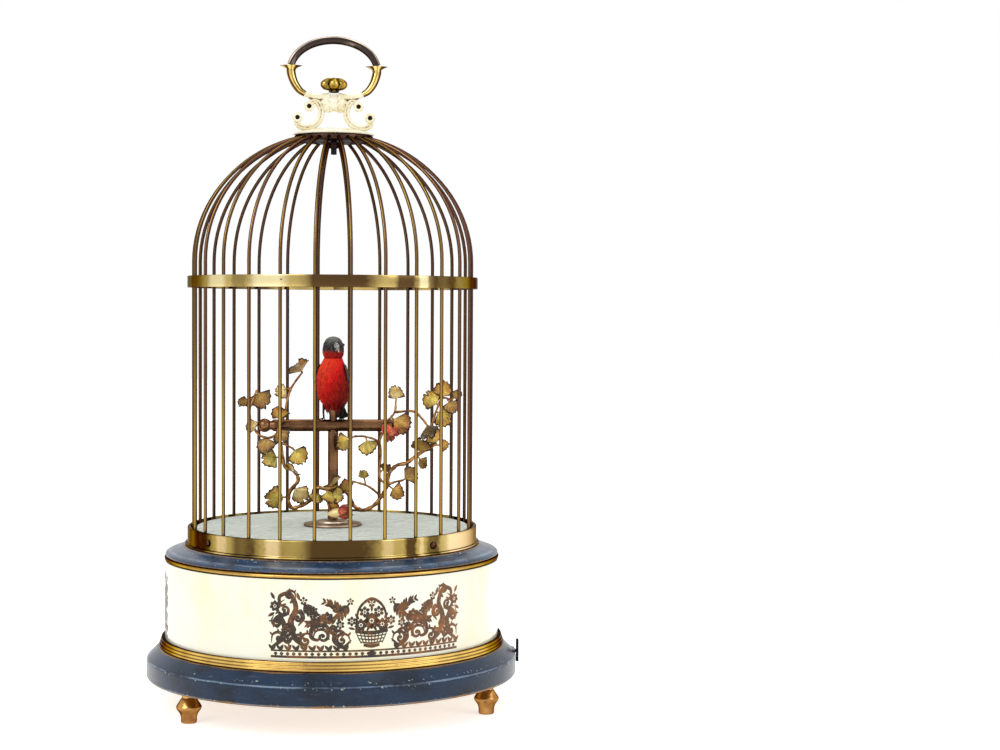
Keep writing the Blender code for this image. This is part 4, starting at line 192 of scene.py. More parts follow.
class Painter:
    """Lays out the nodes of one tree, a material's or the world's."""

    def __init__(self, owner: bpy.types.Material | bpy.types.World) -> None:
        """Starts an empty tree.

        Args:
            owner: the material or the world that the tree belongs to.
        """
        owner.use_nodes = True
        self.tree = owner.node_tree
        self.tree.nodes.clear()
        self._place: Link | None = None

    def node(self, kind: str, settings: dict, sockets: dict, output: int | str = 0) -> Link:
        """Adds one node.

        Args:
            kind: the node's type.
            settings: what is set first, such as an operation or a ramp's stops.
            sockets: the value or link of each socket that is used.
            output: the output that is wanted.

        Returns:
            That output, ready for more arithmetic.
        """
        made = self.tree.nodes.new(kind)
        for name, setting in settings.items():
            if name == "stops":
                stops = made.color_ramp.elements
                while len(stops) < len(setting):
                    stops.new(1.0)
                for stop, (place, colour) in zip(stops, setting):
                    stop.position, stop.color = place, colour
            else:
                setattr(made, name, setting)
        for name, value in sockets.items():
            if isinstance(value, Link):
                self.tree.links.new(value.socket, made.inputs[name])
            else:
                made.inputs[name].default_value = value
        return Link(self, made.outputs[output] if len(made.outputs) else None)

    @property
    def place(self) -> Link:
        """The point on the piece, in millimetres.

        Returns:
            The point, laid out once for each tree.
        """
        if self._place is None:
            metres = self.node("ShaderNodeTexCoord", {}, {}, "Object")
            self._place = self.node("ShaderNodeVectorMath", {"operation": "SCALE"}, {0: metres, "Scale": 1 / MM})
        return self._place

    def axis(self, name: str, source: Link | None = None) -> Link:
        """Gives the point's X, Y or Z, or that of another vector."""
        return self.node("ShaderNodeSeparateXYZ", {}, {0: source or self.place}, name)

    def heading(self) -> Link:
        """Gives the angle about the upright axis in degrees, nought at the front and growing to the right."""
        return self.axis("X").turn_from(-1.0 * self.axis("Y")) * degrees(1.0)

    def stretched(self, across: float, deep: float, high: float) -> Link:
        """Gives the point with each axis scaled, which stretches a pattern the other way."""
        scales = (across, deep, high)
        return self.node("ShaderNodeVectorMath", {"operation": "MULTIPLY"}, {0: self.place, 1: scales})

    def noise(self, size: float, detail: float = 3.0, at: Link | None = None, bend: float = 0.0) -> Link:
        """Gives soft noise whose features are about a size in millimetres."""
        sockets = {"Vector": at or self.place, "Scale": 1.0 / size, "Detail": detail, "Distortion": bend}
        return self.node("ShaderNodeTexNoise", {}, sockets)

    def cells(self, size: float) -> Link:
        """Gives the distance to the nearest of points scattered about a size apart."""
        return self.node("ShaderNodeTexVoronoi", {}, {"Vector": self.place, "Scale": 1.0 / size})

    def mark(self, part: str) -> Link:
        """Gives one part of the mark that a mesh carries: X along, Y across, Z chance."""
        return self.axis(part, self.node("ShaderNodeAttribute", {"attribute_name": "mark"}, {}, "Vector"))

    def tint(self, name: str) -> Link:
        """Gives a colour that a mesh carries."""
        return self.node("ShaderNodeAttribute", {"attribute_name": name}, {}, "Color")

    def between(self, value: Link, low: float, high: float) -> Link:
        """Rises smoothly from 0 to 1 as the value goes from low to high."""
        settings = {"interpolation_type": "SMOOTHSTEP"}
        return self.node("ShaderNodeMapRange", settings, {"Value": value, "From Min": low, "From Max": high})

    def mix(self, share: Link | float, first: Link | Shade, second: Link | Shade, way: str = "MIX") -> Link:
        """Mixes two colours."""
        settings = {"data_type": "RGBA", "blend_type": way, "clamp_factor": True}
        return self.node("ShaderNodeMix", settings, {0: share, 6: first, 7: second}, 2)

    def ramp(self, value: Link, stops: Sequence[tuple[float, Shade]]) -> Link:
        """Turns a value into a colour through a ramp's stops."""
        return self.node("ShaderNodeValToRGB", {"stops": stops}, {0: value})

    def bump(self, height: Link, depth: float) -> Link:
        """Raises the surface by a height from 0 to 1 times a depth in millimetres."""
        return self.node("ShaderNodeBump", {}, {"Height": height, "Distance": depth * MM, "Strength": 1.0})

    def surface(self, **sockets: object) -> None:
        """Ends the material in one glossy or matt surface.

        Args:
            sockets: the value or link of each of its sockets, with underscores for the spaces in a name.
        """
        named = {name.replace("_", " "): value for name, value in sockets.items()}
        skin = self.node("ShaderNodeBsdfPrincipled", {}, named)
        self.node("ShaderNodeOutputMaterial", {}, {"Surface": skin})


@dataclass(frozen=True)
class Finish:
    """A finish, painted once and shared by the pieces that have it."""

    name: str

    def material(self) -> bpy.types.Material:
        """Paints the finish the first time, and finds it again later.

        Returns:
            The finish's material.
        """
        found = bpy.data.materials.get(self.name)
        if found is None:
            found = bpy.data.materials.new(self.name)
            self.paint(Painter(found))
        return found

    def paint(self, painter: Painter) -> None:
        """Lays out the finish's nodes."""
        raise NotImplementedError


@dataclass(frozen=True)
class Metal(Finish):
    """Metal or gilding, darkened softly in patches and dark in its hollows, with painted light and shade: dark
    reflections in bands by heading, dark and light lines along a section, painted shade at given heights and painted
    glints.

    Dark reflections, glints, lines, shade levels and shine are places, each a middle, a half width and a depth. Dark
    reflections and glints go by heading in degrees, lines and shine by the share of the way round a section, shade
    levels by height in millimetres.
    """

    EDGE: ClassVar[Shade] = (0.12, 0.09, 0.08, 1.0)

    fresh: Shade
    aged_and_shaded: Shade
    deep: Shade
    patch: float = 7.0
    aged_share: float = 0.5
    rough: float = 0.24
    upright: float = 1.0
    grain: float = 0.012
    dark_reflections: Places = ()
    glints: Places = ()
    glow: Shade = (1.0, 1.0, 1.0, 1.0)
    lines: Places = ()
    rise: Flat | None = None
    shade_levels: Places = ()
    varied: float = 0.0
    shine: Places = ()
    violet: Shade = shade(78, 46, 54)
    dull: float = 0.5

    def zone(self, painter: Painter, value: Link, places: Places) -> Link | float:
        """Finds how far a value lies in any of some places.

        Args:
            painter: the painter of the finish's material.
            value: the value.
            places: the places.

        Returns:
            From 0 outside them all to the depth of the deepest that it lies in.
        """
        share: Link | float = 0.0
        for middle, half, depth in places:
            here = painter.between(abs(value - middle), half * 1.35, half * 0.55) * depth
            share = here.most(share)
        return share

    def paint(self, painter: Painter) -> None:
        """Lays out the finish's nodes.

        Args:
            painter: the painter of the finish's material.
        """
        broad = painter.noise(self.patch, 2.0, painter.stretched(1.0, 1.0, self.upright))
        fine = painter.noise(self.patch * 0.13, 5.0)
        level = 0.36 + 0.28 * self.aged_share
        dark = painter.between(broad + fine * 0.2 - 0.1, level + 0.20, level - 0.20)
        # painted reflections: dark bands placed by heading round the piece, mixed towards the darker colour
        if self.dark_reflections:
            heading = painter.heading() + (fine - 0.5) * 2.5
            dark = dark * 0.45 + self.zone(painter, heading, self.dark_reflections)
        # painted reflections and shade: dark and light lines along the section, by the share of the way round it
        if self.lines:
            dark = dark * 0.6 + self.zone(painter, painter.mark("Y") + (broad - 0.5) * 0.06, self.lines)
        # painted shade: dark lines in grooves and along edges at given heights
        if self.shade_levels:
            dark = dark * 0.5 + self.zone(painter, painter.axis("Z") + (fine - 0.5) * 0.1, self.shade_levels)
        # painted shade on the cage wires: darker up the dome and towards the back, deeper still at the back, with a
        # painted highlight line along each; the violet from wire to wire is tarnish
        if self.rise:
            chance = painter.axis("X", painter.tint("tint"))
            high = painter.axis("Z") + (broad - 0.5) * 60.0 + (chance - 0.5) * self.varied
            back = painter.between(painter.axis("Y"), -30.0, 20.0)
            dark = dark.most(painter.between(high + back * 90.0, *self.rise) * 0.92)
            dark = dark * (1.0 - self.zone(painter, painter.mark("Y"), self.shine))
            aged_and_shaded = painter.mix(painter.between(chance, 0.35, 0.75), self.aged_and_shaded, self.violet)
            colour = painter.mix(back * 0.5, painter.mix(dark, self.fresh, aged_and_shaded), self.deep)
        else:
            colour = painter.mix(dark, self.fresh, self.aged_and_shaded)
        pits = painter.between(painter.noise(self.patch * 0.25, 4.0), 0.62, 0.74) * self.dull
        colour = painter.mix(pits.most(painter.mark("Z")), colour, self.deep)
        colour = painter.mix(painter.between(fine, 0.40, 0.80) * 0.30 * self.dull, colour, self.deep)
        if self.glints:
            heading = painter.heading() + (fine - 0.5) * 1.5
            colour = painter.mix(self.zone(painter, heading, self.glints), colour, self.glow)
        scratches = painter.noise(0.35, 2.0, painter.stretched(0.2, 0.2, 1.0), 0.4)
        normal = painter.bump(scratches * 0.4 + fine * 0.6, self.grain)
        rough = self.rough + dark * 0.06 + fine * 0.08 + pits * 0.12
        painter.surface(
            Base_Color=colour, Roughness=rough, Metallic=1.0 - pits * 0.25, Normal=normal, Specular_Tint=self.EDGE
        )


@dataclass(frozen=True)
class BluePaint(Finish):
    """Dark blue gloss paint, rubbed to its gilt ground along its edges, with small pale chips and painted highlight
    lines at given heights.
    """

    deep: Shade = shade(2, 16, 32)
    light: Shade = shade(14, 42, 70)
    gilt: Shade = shade(168, 128, 70)
    chip: Shade = shade(206, 204, 196)
    haze: Shade = shade(78, 96, 122)
    tarnish: Shade = shade(82, 58, 40)
    sheen: Shade = shade(126, 146, 168)
    worn: tuple[Flat, ...] = ()
    chipped: tuple[float, ...] = ()
    lit: tuple[Flat, ...] = ()

    def paint(self, painter: Painter) -> None:
        """Lays out the finish's nodes.

        Args:
            painter: the painter of the finish's material.
        """
        high = painter.axis("Z")
        broad = painter.noise(16.0, 4.0, painter.stretched(1.0, 1.0, 1.8))
        fine = painter.noise(1.1, 5.0)
        rubs = painter.noise(2.2, 5.0, painter.stretched(0.3, 0.3, 2.4), 0.6)
        colour = painter.mix(painter.between(broad + fine * 0.4, 0.44, 0.86), self.deep, self.light)
        colour = painter.mix(painter.between(rubs, 0.60, 0.76) * 0.35, colour, self.haze)
        bare = painter.between(painter.noise(0.9, 4.0), 0.70, 0.75) * 0.4
        for level, width in self.worn:
            near = abs(high - level + (fine - 0.5) * 0.9 + (broad - 0.5) * 1.2)
            bare = bare.most(painter.between(near, width, width * 0.55))
        colour = painter.mix(bare, colour, painter.mix(fine, self.gilt, self.tarnish))
        # painted highlights: pale lines at given heights, broken by noise
        for level, width in self.lit:
            near = abs(high - level + (rubs - 0.5) * 0.5)
            lit = painter.between(near, width, width * 0.3) * painter.between(broad, 0.35, 0.6) * 0.7
            colour = painter.mix(lit, colour, self.sheen)
        chips = painter.between(painter.noise(0.7, 2.0), 0.79, 0.81) * 0.5
        for level in self.chipped:
            edge = painter.between(abs(high - level), 0.7, 0.2)
            chips = chips.most(edge * painter.between(painter.noise(1.3, 4.0), 0.645, 0.67) * 0.8)
        colour = painter.mix(chips, colour, self.chip)
        normal = painter.bump(fine * 0.4 + (1.0 - bare) * 0.3 + (1.0 - chips) * 0.3, 0.09)
        rough = 0.20 + rubs * 0.16 + bare * 0.14 + chips * 0.25
        painter.surface(
            Base_Color=colour, Roughness=rough, Metallic=bare * 0.7, Normal=normal, Coat_Weight=0.05,
            Specular_IOR_Level=0.28,
        )


@dataclass(frozen=True)
class Enamel(Finish):
    """Pale gloss enamel, a little yellowed, with fine specks, rubbed patches, and dirt with painted shade in its
    hollows.
    """

    pale: Shade = shade(255, 255, 240)
    yellowed: Shade = shade(255, 252, 216)
    ground: Shade = shade(140, 96, 56)
    grime_and_shade: Shade = shade(196, 172, 124)
    rust: Shade = shade(96, 60, 34)
    wear_and_shade: float = 0.0
    patch: float = 24.0

    def paint(self, painter: Painter) -> None:
        """Lays out the finish's nodes.

        Args:
            painter: the painter of the finish's material.
        """
        broad = painter.noise(self.patch, 3.0, painter.stretched(1.0, 1.0, 0.6))
        fine = painter.noise(1.4, 5.0)
        colour = painter.mix(painter.between(broad + fine * 0.2, 0.45, 0.80), self.pale, self.yellowed)
        specks = painter.between(painter.noise(0.8, 3.0), 0.74, 0.77)
        colour = painter.mix(specks * 0.35, colour, self.ground)
        hollow = painter.mark("Z")
        # dirt and painted shade in the hollows, by the hollow mark
        colour = painter.mix(painter.between(hollow, 0.1, 0.9) * 0.55 * self.wear_and_shade, colour, self.grime_and_shade)
        bare = painter.between(hollow + (fine - 0.5) * 1.2, 0.72, 0.95) * self.wear_and_shade
        colour = painter.mix(bare, colour, painter.mix(fine, self.ground, self.rust))
        normal = painter.bump(fine * 0.5 + painter.noise(6.0, 2.0) * 0.5, 0.05)
        rough = 0.13 + fine * 0.10 + bare * 0.2
        painter.surface(Base_Color=colour, Roughness=rough, Metallic=bare * 0.5, Coat_Weight=0.5, Normal=normal)


@dataclass(frozen=True)
class PrintInk(Finish):
    """The dark printed ornament, with a coppery tone where the ink is thin, a painted coppery reflection towards the
    right and painted pale glints.
    """

    ink: Shade = shade(48, 36, 28)
    copper: Shade = shade(158, 106, 66)
    glint: Shade = shade(214, 190, 150)

    def paint(self, painter: Painter) -> None:
        """Lays out the finish's nodes.

        Args:
            painter: the painter of the finish's material.
        """
        broad = painter.noise(5.0, 4.0)
        fine = painter.noise(0.5, 4.0)
        thin = painter.between(broad + fine * 0.4, 0.62, 0.86)
        # painted reflection: the ink turns coppery towards the right-hand side, by heading
        turned = painter.between(painter.heading(), 18.0, 46.0)
        colour = painter.mix(thin * 0.45 + turned * 0.35, self.ink, self.copper)
        colour = painter.mix(painter.between(fine, 0.62, 0.72) * 0.5, colour, self.glint)
        normal = painter.bump(fine, 0.03)
        painter.surface(Base_Color=colour, Roughness=0.28 + fine * 0.2, Metallic=0.25 + thin * 0.5, Normal=normal)


@dataclass(frozen=True)
class Felt(Finish):
    """Pale grey-green felt with a fine weave, dust and a few dark fibres."""

    wool: Shade = shade(226, 232, 220)
    shadow: Shade = shade(150, 162, 150)
    fibre: Shade = shade(84, 82, 74)
    dust: Shade = shade(214, 218, 202)
    row: float = 1.3

    def paint(self, painter: Painter) -> None:
        """Lays out the finish's nodes.

        Args:
            painter: the painter of the finish's material.
        """
        strands = painter.noise(1.1, 3.0, painter.stretched(0.22, 1.0, 1.0))
        rows = (painter.axis("Y") * (2 * pi / self.row)).wave()
        fuzz = painter.noise(0.9, 5.0, painter.stretched(0.5, 1.0, 1.0), 1.2)
        weave = strands * 0.9 + rows * 0.08
        broad = painter.noise(11.0, 4.0)
        colour = painter.mix(painter.between(weave * 0.55 + fuzz * 0.6, 0.34, 0.70), self.shadow, self.wool)
        colour = painter.mix(painter.between(broad, 0.42, 0.70) * 0.18, colour, self.dust)
        fibres = painter.noise(0.7, 2.0, painter.stretched(0.22, 1.0, 1.0), 2.5)
        colour = painter.mix(painter.between(fibres, 0.70, 0.74) * 0.7, colour, self.fibre)
        normal = painter.bump(weave * 0.4 + fuzz * 0.6, 0.22)
        painter.surface(
            Base_Color=colour, Roughness=0.9 + fuzz * 0.08, Normal=normal, Sheen_Weight=0.3, Specular_IOR_Level=0.2
        )


@dataclass(frozen=True)
class LeafEnamel(Finish):
    """Tinted lacquer on a brass leaf: two colours that run together, pale patches that are partly painted highlights,
    ribs, painted shade on one half and a dark rim.
    """

    rim: Shade = shade(44, 28, 16)
    brass: Shade = shade(236, 212, 116)
    stain: Shade = shade(128, 74, 28)
    metal: float = 0.45

    def paint(self, painter: Painter) -> None:
        """Lays out the finish's nodes.

        Args:
            painter: the painter of the finish's material.
        """
        along, across = painter.mark("X"), painter.mark("Y")
        blot = painter.noise(1.7, 4.0, None, 0.8)
        fine = painter.noise(0.35, 4.0)
        share = painter.between(along + (blot - 0.5) * 1.3, 0.30, 0.86)
        colour = painter.mix(share, painter.tint("tint"), painter.tint("tip"))
        # pale brass patches: partly brass through the lacquer, partly painted highlights
        colour = painter.mix(painter.between(fine * 0.6 + blot * 0.5, 0.52, 0.72) * 0.6, colour, self.brass)
        ribs = abs((across * 27.0).wave())
        colour = painter.mix(painter.between(ribs, 0.32, 0.05) * 0.45, colour, self.rim)
        stain = painter.between(painter.noise(3.2, 3.0) + along * 0.12, 0.52, 0.70)
        colour = painter.mix(stain * 0.42, colour, self.stain)
        edge = painter.between(along + (blot - 0.5) * 0.24, 0.82, 0.94)
        side = painter.between(abs(across) + (blot - 0.5) * 0.12, 0.84, 0.95)
        shaded = painter.between(across + (painter.mark("Z") - 0.5) * 1.4 + (blot - 0.5) * 0.8, 0.15, -0.5)
        colour = painter.mix(shaded * 0.28, colour, self.rim)
        colour = painter.mix(edge.most(side) * 0.96, colour, self.rim)
        normal = painter.bump(ribs * 0.6 + fine * 0.4, 0.10)
        painter.surface(
            Base_Color=colour, Roughness=0.20 + fine * 0.2, Metallic=self.metal + edge * 0.2, Normal=normal,
            Coat_Weight=0.2, Specular_IOR_Level=0.30,
        )


@dataclass(frozen=True)
class Feather(Finish):
    """Real feathers: three colours ramped from dark to light along a slant as painted light and shade, barbs along each
    feather and a soft sheen.
    """

    light: Shade
    middle: Shade
    dark: Shade
    lean: Spot = (0.0, 0.0, 1.0)
    span: Flat = (0.0, 1.0)
    streaked: float = 0.35

    def paint(self, painter: Painter) -> None:
        """Lays out the finish's nodes.

        Args:
            painter: the painter of the finish's material.
        """
        along, across, chance = (painter.mark(part) for part in "XYZ")
        # painted light and shade: the colour ramps from dark to light along the lean's slant, across the span
        x, y, z = (lean * painter.axis(name) for lean, name in zip(self.lean, "XYZ"))
        place = x + y + z
        blot = painter.noise(2.6, 4.0, None, 0.6)
        depth = painter.between(place + (blot - 0.5) * 5.0 + (chance - 0.5) * 3.0, self.span[0], self.span[1])
        colour = painter.ramp(depth, ((0.0, self.dark), (0.42, self.middle), (1.0, self.light)))
        barbs = ((along * 9.0 - abs(across) * 5.0 + blot * 2.0) * 9.0).wave() * 0.5 + 0.5
        quill = painter.between(abs(across), 0.10, 0.03)
        strands = painter.noise(0.55, 4.0, painter.stretched(1.0, 1.0, 0.12), 0.3)
        colour = painter.mix(barbs * 0.10 + painter.between(strands, 0.48, 0.70) * self.streaked, colour, self.dark)
        colour = painter.mix(painter.between(along, 0.55, 1.0) * 0.15 + chance * 0.10, colour, self.light)
        colour = painter.mix(quill * 0.35, colour, self.dark)
        normal = painter.bump(barbs * 0.5 + strands * 0.5, 0.09)
        painter.surface(Base_Color=colour, Roughness=0.55 + strands * 0.25, Normal=normal, Specular_IOR_Level=0.08)


@dataclass(frozen=True)
class Smooth(Finish):
    """Horn, glass or hardwood: streaks of two colours and a plain gloss."""

    light: Shade
    dark: Shade
    streak: Spot = (1.0, 1.0, 1.0)
    size: float = 0.8
    rough: float = 0.3

    def paint(self, painter: Painter) -> None:
        """Lays out the finish's nodes.

        Args:
            painter: the painter of the finish's material.
        """
        streaks = painter.noise(self.size, 5.0, painter.stretched(*self.streak), 0.5)
        fine = painter.noise(self.size * 0.2, 3.0)
        colour = painter.mix(painter.between(streaks + fine * 0.2, 0.40, 0.78), self.light, self.dark)
        normal = painter.bump(streaks * 0.6 + fine * 0.4, 0.04)
        painter.surface(Base_Color=colour, Roughness=self.rough + fine * 0.15, Normal=normal)


@dataclass(frozen=True)
class Leather(Finish):
    """Thin kid leather with its grain and darker fold lines."""

    hide: Shade = shade(206, 184, 148)
    fold: Shade = shade(122, 94, 64)

    def paint(self, painter: Painter) -> None:
        """Lays out the finish's nodes.

        Args:
            painter: the painter of the finish's material.
        """
        grain = painter.cells(0.45)
        broad = painter.noise(6.0, 4.0)
        colour = painter.mix(painter.between(broad + grain * 0.3, 0.45, 0.9), self.hide, self.fold)
        colour = painter.mix(painter.mark("Z") * 0.6, colour, self.fold)
        painter.surface(Base_Color=colour, Roughness=0.6 + grain * 0.2, Normal=painter.bump(grain, 0.06))


class Finishes:
    """The finishes of this automaton."""

    # dark lines at given heights: painted shade between the reeds and along the edges
    MOULDING = Metal(
        "gilt_reeds", shade(214, 180, 100), shade(118, 82, 42), shade(74, 50, 24), patch=14.0, aged_share=0.35,
        rough=0.14, shade_levels=((28.86, 0.16, 0.95), (30.16, 0.16, 0.95), (31.5, 0.18, 0.9), (27.76, 0.18, 0.9)), dull=0.3,
    )
    # dark lines at given heights: painted shade along the bead's edges
    BEAD = Metal(
        "gilt_bead_line", shade(206, 170, 92), shade(118, 82, 42), shade(74, 50, 24), patch=14.0, aged_share=0.40,
        rough=0.14, shade_levels=((65.95, 0.25, 0.9), (67.5, 0.2, 0.9)), dull=0.3,
    )
    ROSETTE = Metal(
        "burnished_gilt", shade(206, 176, 84), shade(130, 96, 38), shade(46, 30, 16), patch=3.5, aged_share=0.5,
        rough=0.12, dull=0.4,
    )
    FOOT_GILT = Metal(
        "coppery_gilt", shade(206, 158, 92), shade(148, 100, 56), shade(58, 36, 22), patch=6.0, aged_share=0.5,
        rough=0.18,
    )
    # painted reflections: dark bands by heading, and glints as painted highlights in the glow colour
    RING = Metal(
        "polished_ring_brass", shade(190, 165, 92), shade(80, 60, 32), shade(52, 38, 20), patch=16.0, aged_share=0.35,
        rough=0.12, upright=0.10,
        dark_reflections=(
            (2.0, 14.0, 1.0), (30.5, 2.6, 0.85), (41.5, 3.4, 0.8), (-35.0, 6.0, 0.8), (-61.0, 7.5, 0.75),
            (105.0, 14.0, 0.8), (140.0, 10.0, 0.7), (175.0, 12.0, 0.8), (-110.0, 10.0, 0.6), (-150.0, 14.0, 0.8),
        ),
        glints=(
            (74.0, 24.0, 0.95), (55.0, 6.2, 0.95), (-82.0, 7.0, 0.8), (-47.0, 3.0, 0.4), (-23.0, 3.0, 0.5),
            (21.0, 2.4, 0.3), (35.6, 1.0, 0.5),
        ),
        glow=shade(255, 226, 176), dull=0.3,
    )
    # painted reflections: dark bands by heading, and glints as painted highlights in the glow colour
    BAND = Metal(
        "polished_band_brass", shade(192, 168, 102), shade(86, 64, 38), shade(56, 40, 24), patch=14.0, aged_share=0.35,
        rough=0.13, upright=0.12,
        dark_reflections=(
            (2.5, 13.0, 1.0), (28.0, 4.0, 0.85), (47.0, 8.0, 0.6), (-38.0, 3.4, 0.5), (-66.0, 7.0, 0.3),
            (74.0, 9.0, 0.3), (110.0, 12.0, 0.8), (150.0, 10.0, 0.7), (185.0, 10.0, 0.8), (-105.0, 9.0, 0.6),
            (-140.0, 12.0, 0.8),
        ),
        glints=((-25.0, 7.0, 0.75), (-50.0, 5.0, 0.65), (-78.0, 6.0, 0.6), (36.2, 2.2, 0.85)),
        glow=shade(252, 238, 186), dull=0.3,
    )
    SCREW = Metal(
        "browned_brass", shade(92, 64, 42), shade(52, 36, 26), shade(24, 17, 14), patch=2.0, aged_share=0.6, rough=0.30,
    )
    # painted shade: darker up the dome and at the back, dark lines along each wire's sides and a painted highlight
    # line; the violet from wire to wire is tarnish
    WIRE = Metal(
        "tarnished_wire_painted_shade", shade(170, 140, 66), shade(72, 50, 42), shade(34, 22, 26), patch=22.0, aged_share=0.45,
        rough=0.20, upright=0.2,
        lines=((0.0, 0.13, 1.0), (0.5, 0.13, 1.0), (1.0, 0.13, 1.0), (0.86, 0.04, 0.7), (0.25, 0.2, 0.9)),
        rise=(80.0, 180.0), varied=120.0, shine=((0.71, 0.035, 0.45),), dull=0.3,
    )
    PERCH = Metal(
        "brown_bronze", shade(136, 98, 68), shade(80, 56, 40), shade(38, 26, 18), patch=9.0, aged_share=0.5, rough=0.20,
    )
    # a paler copy of the post's bronze, as a painted reflection of the pale surroundings, with a painted dark line
    # round its rim
    FLANGE = Metal(
        "flange_bronze_painted_reflection", shade(204, 188, 168), shade(132, 108, 90), shade(64, 48, 38), patch=4.0, aged_share=0.4,
        rough=0.34, shade_levels=((80.35, 0.3, 0.95),), dull=0.6,
    )
    # painted highlight: the pale first colour shows as a line along the section between painted dark edges
    HANDLE = Metal(
        "dark_bronze", shade(232, 214, 190), shade(62, 52, 50), shade(30, 22, 22), patch=14.0, aged_share=0.6,
        rough=0.14,
        lines=(
            (1.0, 0.058, 1.0), (0.0, 0.058, 1.0), (0.79, 0.05, 0.97), (0.67, 0.09, 0.70), (0.51, 0.06, 1.0),
            (0.58, 0.06, 0.84), (0.25, 0.2, 0.9),
        ),
        dull=0.3,
    )
    # painted reflections and shade: bright and dark lines along the section, dark along its edges
    ARM = Metal(
        "polished_gilt_arm", shade(236, 204, 122), shade(88, 60, 30), shade(58, 38, 20), patch=8.0, aged_share=0.4,
        rough=0.12,
        lines=(
            (0.0, 0.06, 1.0), (0.63, 0.05, 1.0), (0.90, 0.06, 0.95), (0.49, 0.05, 1.0), (0.77, 0.02, 0.6),
            (0.25, 0.06, 0.6), (1.0, 0.06, 1.0),
        ),
        dull=0.3,
    )
    STEM = Metal(
        "coppery_stem", shade(172, 126, 76), shade(92, 60, 40), shade(40, 26, 20), patch=3.5, aged_share=0.5,
        rough=0.26,
    )
    MOVEMENT = Metal(
        "brushed_brass", shade(214, 180, 112), shade(184, 146, 84), shade(110, 80, 44), patch=6.0, aged_share=0.4,
        rough=0.24,
    )
    STEEL = Metal(
        "bright_steel", shade(196, 196, 198), shade(156, 156, 160), shade(92, 88, 86), patch=5.0, aged_share=0.4,
        rough=0.24,
    )
    SPRING = Metal(
        "blued_steel", shade(88, 100, 132), shade(60, 68, 98), shade(40, 40, 52), patch=5.0, aged_share=0.5, rough=0.24,
    )
    BLACK = Metal(
        "blackened_iron", shade(40, 40, 43), shade(26, 26, 28), shade(14, 13, 14), patch=3.0, aged_share=0.5,
        rough=0.40,
    )
    PLINTH = BluePaint(
        "blue_paint_plinth", worn=((13.8, 0.8), (27.3, 0.35)), chipped=(14.4, 21.6, 23.6),
        lit=((22.1, 0.45), (14.3, 0.3)),
    )
    CORNICE = BluePaint(
        "blue_paint_cornice", shade(14, 32, 54), shade(48, 74, 104), worn=((67.9, 0.45), (72.1, 0.25)),
        chipped=(69.1, 71.6), lit=((69.9, 0.35),),
    )
    DRUM = Enamel("ivory_enamel")
    CROWN = Enamel("cream_crown_enamel", shade(250, 246, 222), shade(238, 226, 186), wear_and_shade=0.9, patch=8.0)
    INK = PrintInk("printed_ornament")
    FELT = Felt("grey_green_felt")
    LEAF = LeafEnamel("tinted_leaf_lacquer")
    BUD = LeafEnamel("bud_lacquer", rim=shade(96, 30, 26), metal=0.15)
    # lean and span set the slant of the painted light and shade: the red body is lit towards the upper left
    RED = Feather(
        "red_feather_dye_painted_shade", shade(255, 80, 48), shade(226, 22, 26), shade(90, 8, 16), lean=(-1.35, 0.0, 0.75),
        span=(96.0, 127.0), streaked=0.5,
    )
    DARK = Feather(
        "dark_feather_dye_painted_shade", shade(104, 90, 84), shade(50, 42, 42), shade(18, 15, 17), span=(122.0, 160.0),
        streaked=0.55,
    )
    HEAD = Feather(
        "head_feather_dye_painted_shade", shade(172, 170, 164), shade(44, 42, 42), shade(12, 11, 12), span=(155.0, 170.0),
        streaked=0.95,
    )
    THROAT = Feather(
        "throat_feather_dye_painted_shade", shade(190, 42, 30), shade(150, 22, 22), shade(60, 10, 12), lean=(-0.6, 0.0, 0.6),
        span=(88.0, 98.0),
    )
    HORN = Smooth("pale_horn", shade(212, 210, 204), shade(44, 42, 42), streak=(2.2, 0.7, 0.7), size=1.2)
    EYE = Smooth("black_glass", shade(16, 15, 15), shade(8, 8, 8), rough=0.05)
    BEECH = Smooth(
        "planed_beech", shade(206, 174, 128), shade(170, 132, 88), streak=(0.12, 1.0, 1.0), size=1.6, rough=0.5,
    )
    KID = Leather("kid_leather_skin")


def smooth(points: Sequence[Sequence[float]], pieces: int) -> np.ndarray:
    """Runs a smooth curve through points.

    Args:
        points: the points that the curve goes through.
        pieces: the number of pieces between two of them.

    Returns:
        The curve's points, first and last among them.
    """
    line = np.asarray(points, float)
    ends = np.vstack([2 * line[0] - line[1], line, 2 * line[-1] - line[-2]])
    made = []
    for index in range(len(line) - 1):
        a, b, c, d = ends[index : index + 4]
        square, cube = 2 * a - 5 * b + 4 * c - d, 3 * b - a - 3 * c + d
        for step in range(pieces):
            t = step / pieces
            made.append(0.5 * (2 * b + (c - a) * t + square * t**2 + cube * t**3))
    return np.array([*made, line[-1]])


def eased(outline: Outline, reach: float, steps: int = 3, closed: bool = True) -> np.ndarray:
    """Rounds an outline's corners.

    Args:
        outline: the corners.
        reach: how far from a corner the rounding starts, in millimetres.
        steps: the number of faces on each rounding.
        closed: whether the outline runs back to its start.

    Returns:
        The rounded outline.
    """
    line = np.asarray(outline, float)
    made = []
    for index, corner in enumerate(line):
        if not closed and index in (0, len(line) - 1):
            made.append(corner)
            continue
        before, after = line[index - 1] - corner, line[(index + 1) % len(line)] - corner
        first = corner + before * min(reach / max(np.linalg.norm(before), 1e-9), 0.45)
        last = corner + after * min(reach / max(np.linalg.norm(after), 1e-9), 0.45)
        for t in np.linspace(0.0, 1.0, steps + 1):
            made.append((1 - t) ** 2 * first + 2 * t * (1 - t) * corner + t**2 * last)
    return np.array(made)


def ring_spot(radius: float, angle: float, high: float) -> Spot:
    """Gives the point at an angle round the upright axis, nought at the front."""
    return (radius * sin(radians(angle)), -radius * cos(radians(angle)), high)


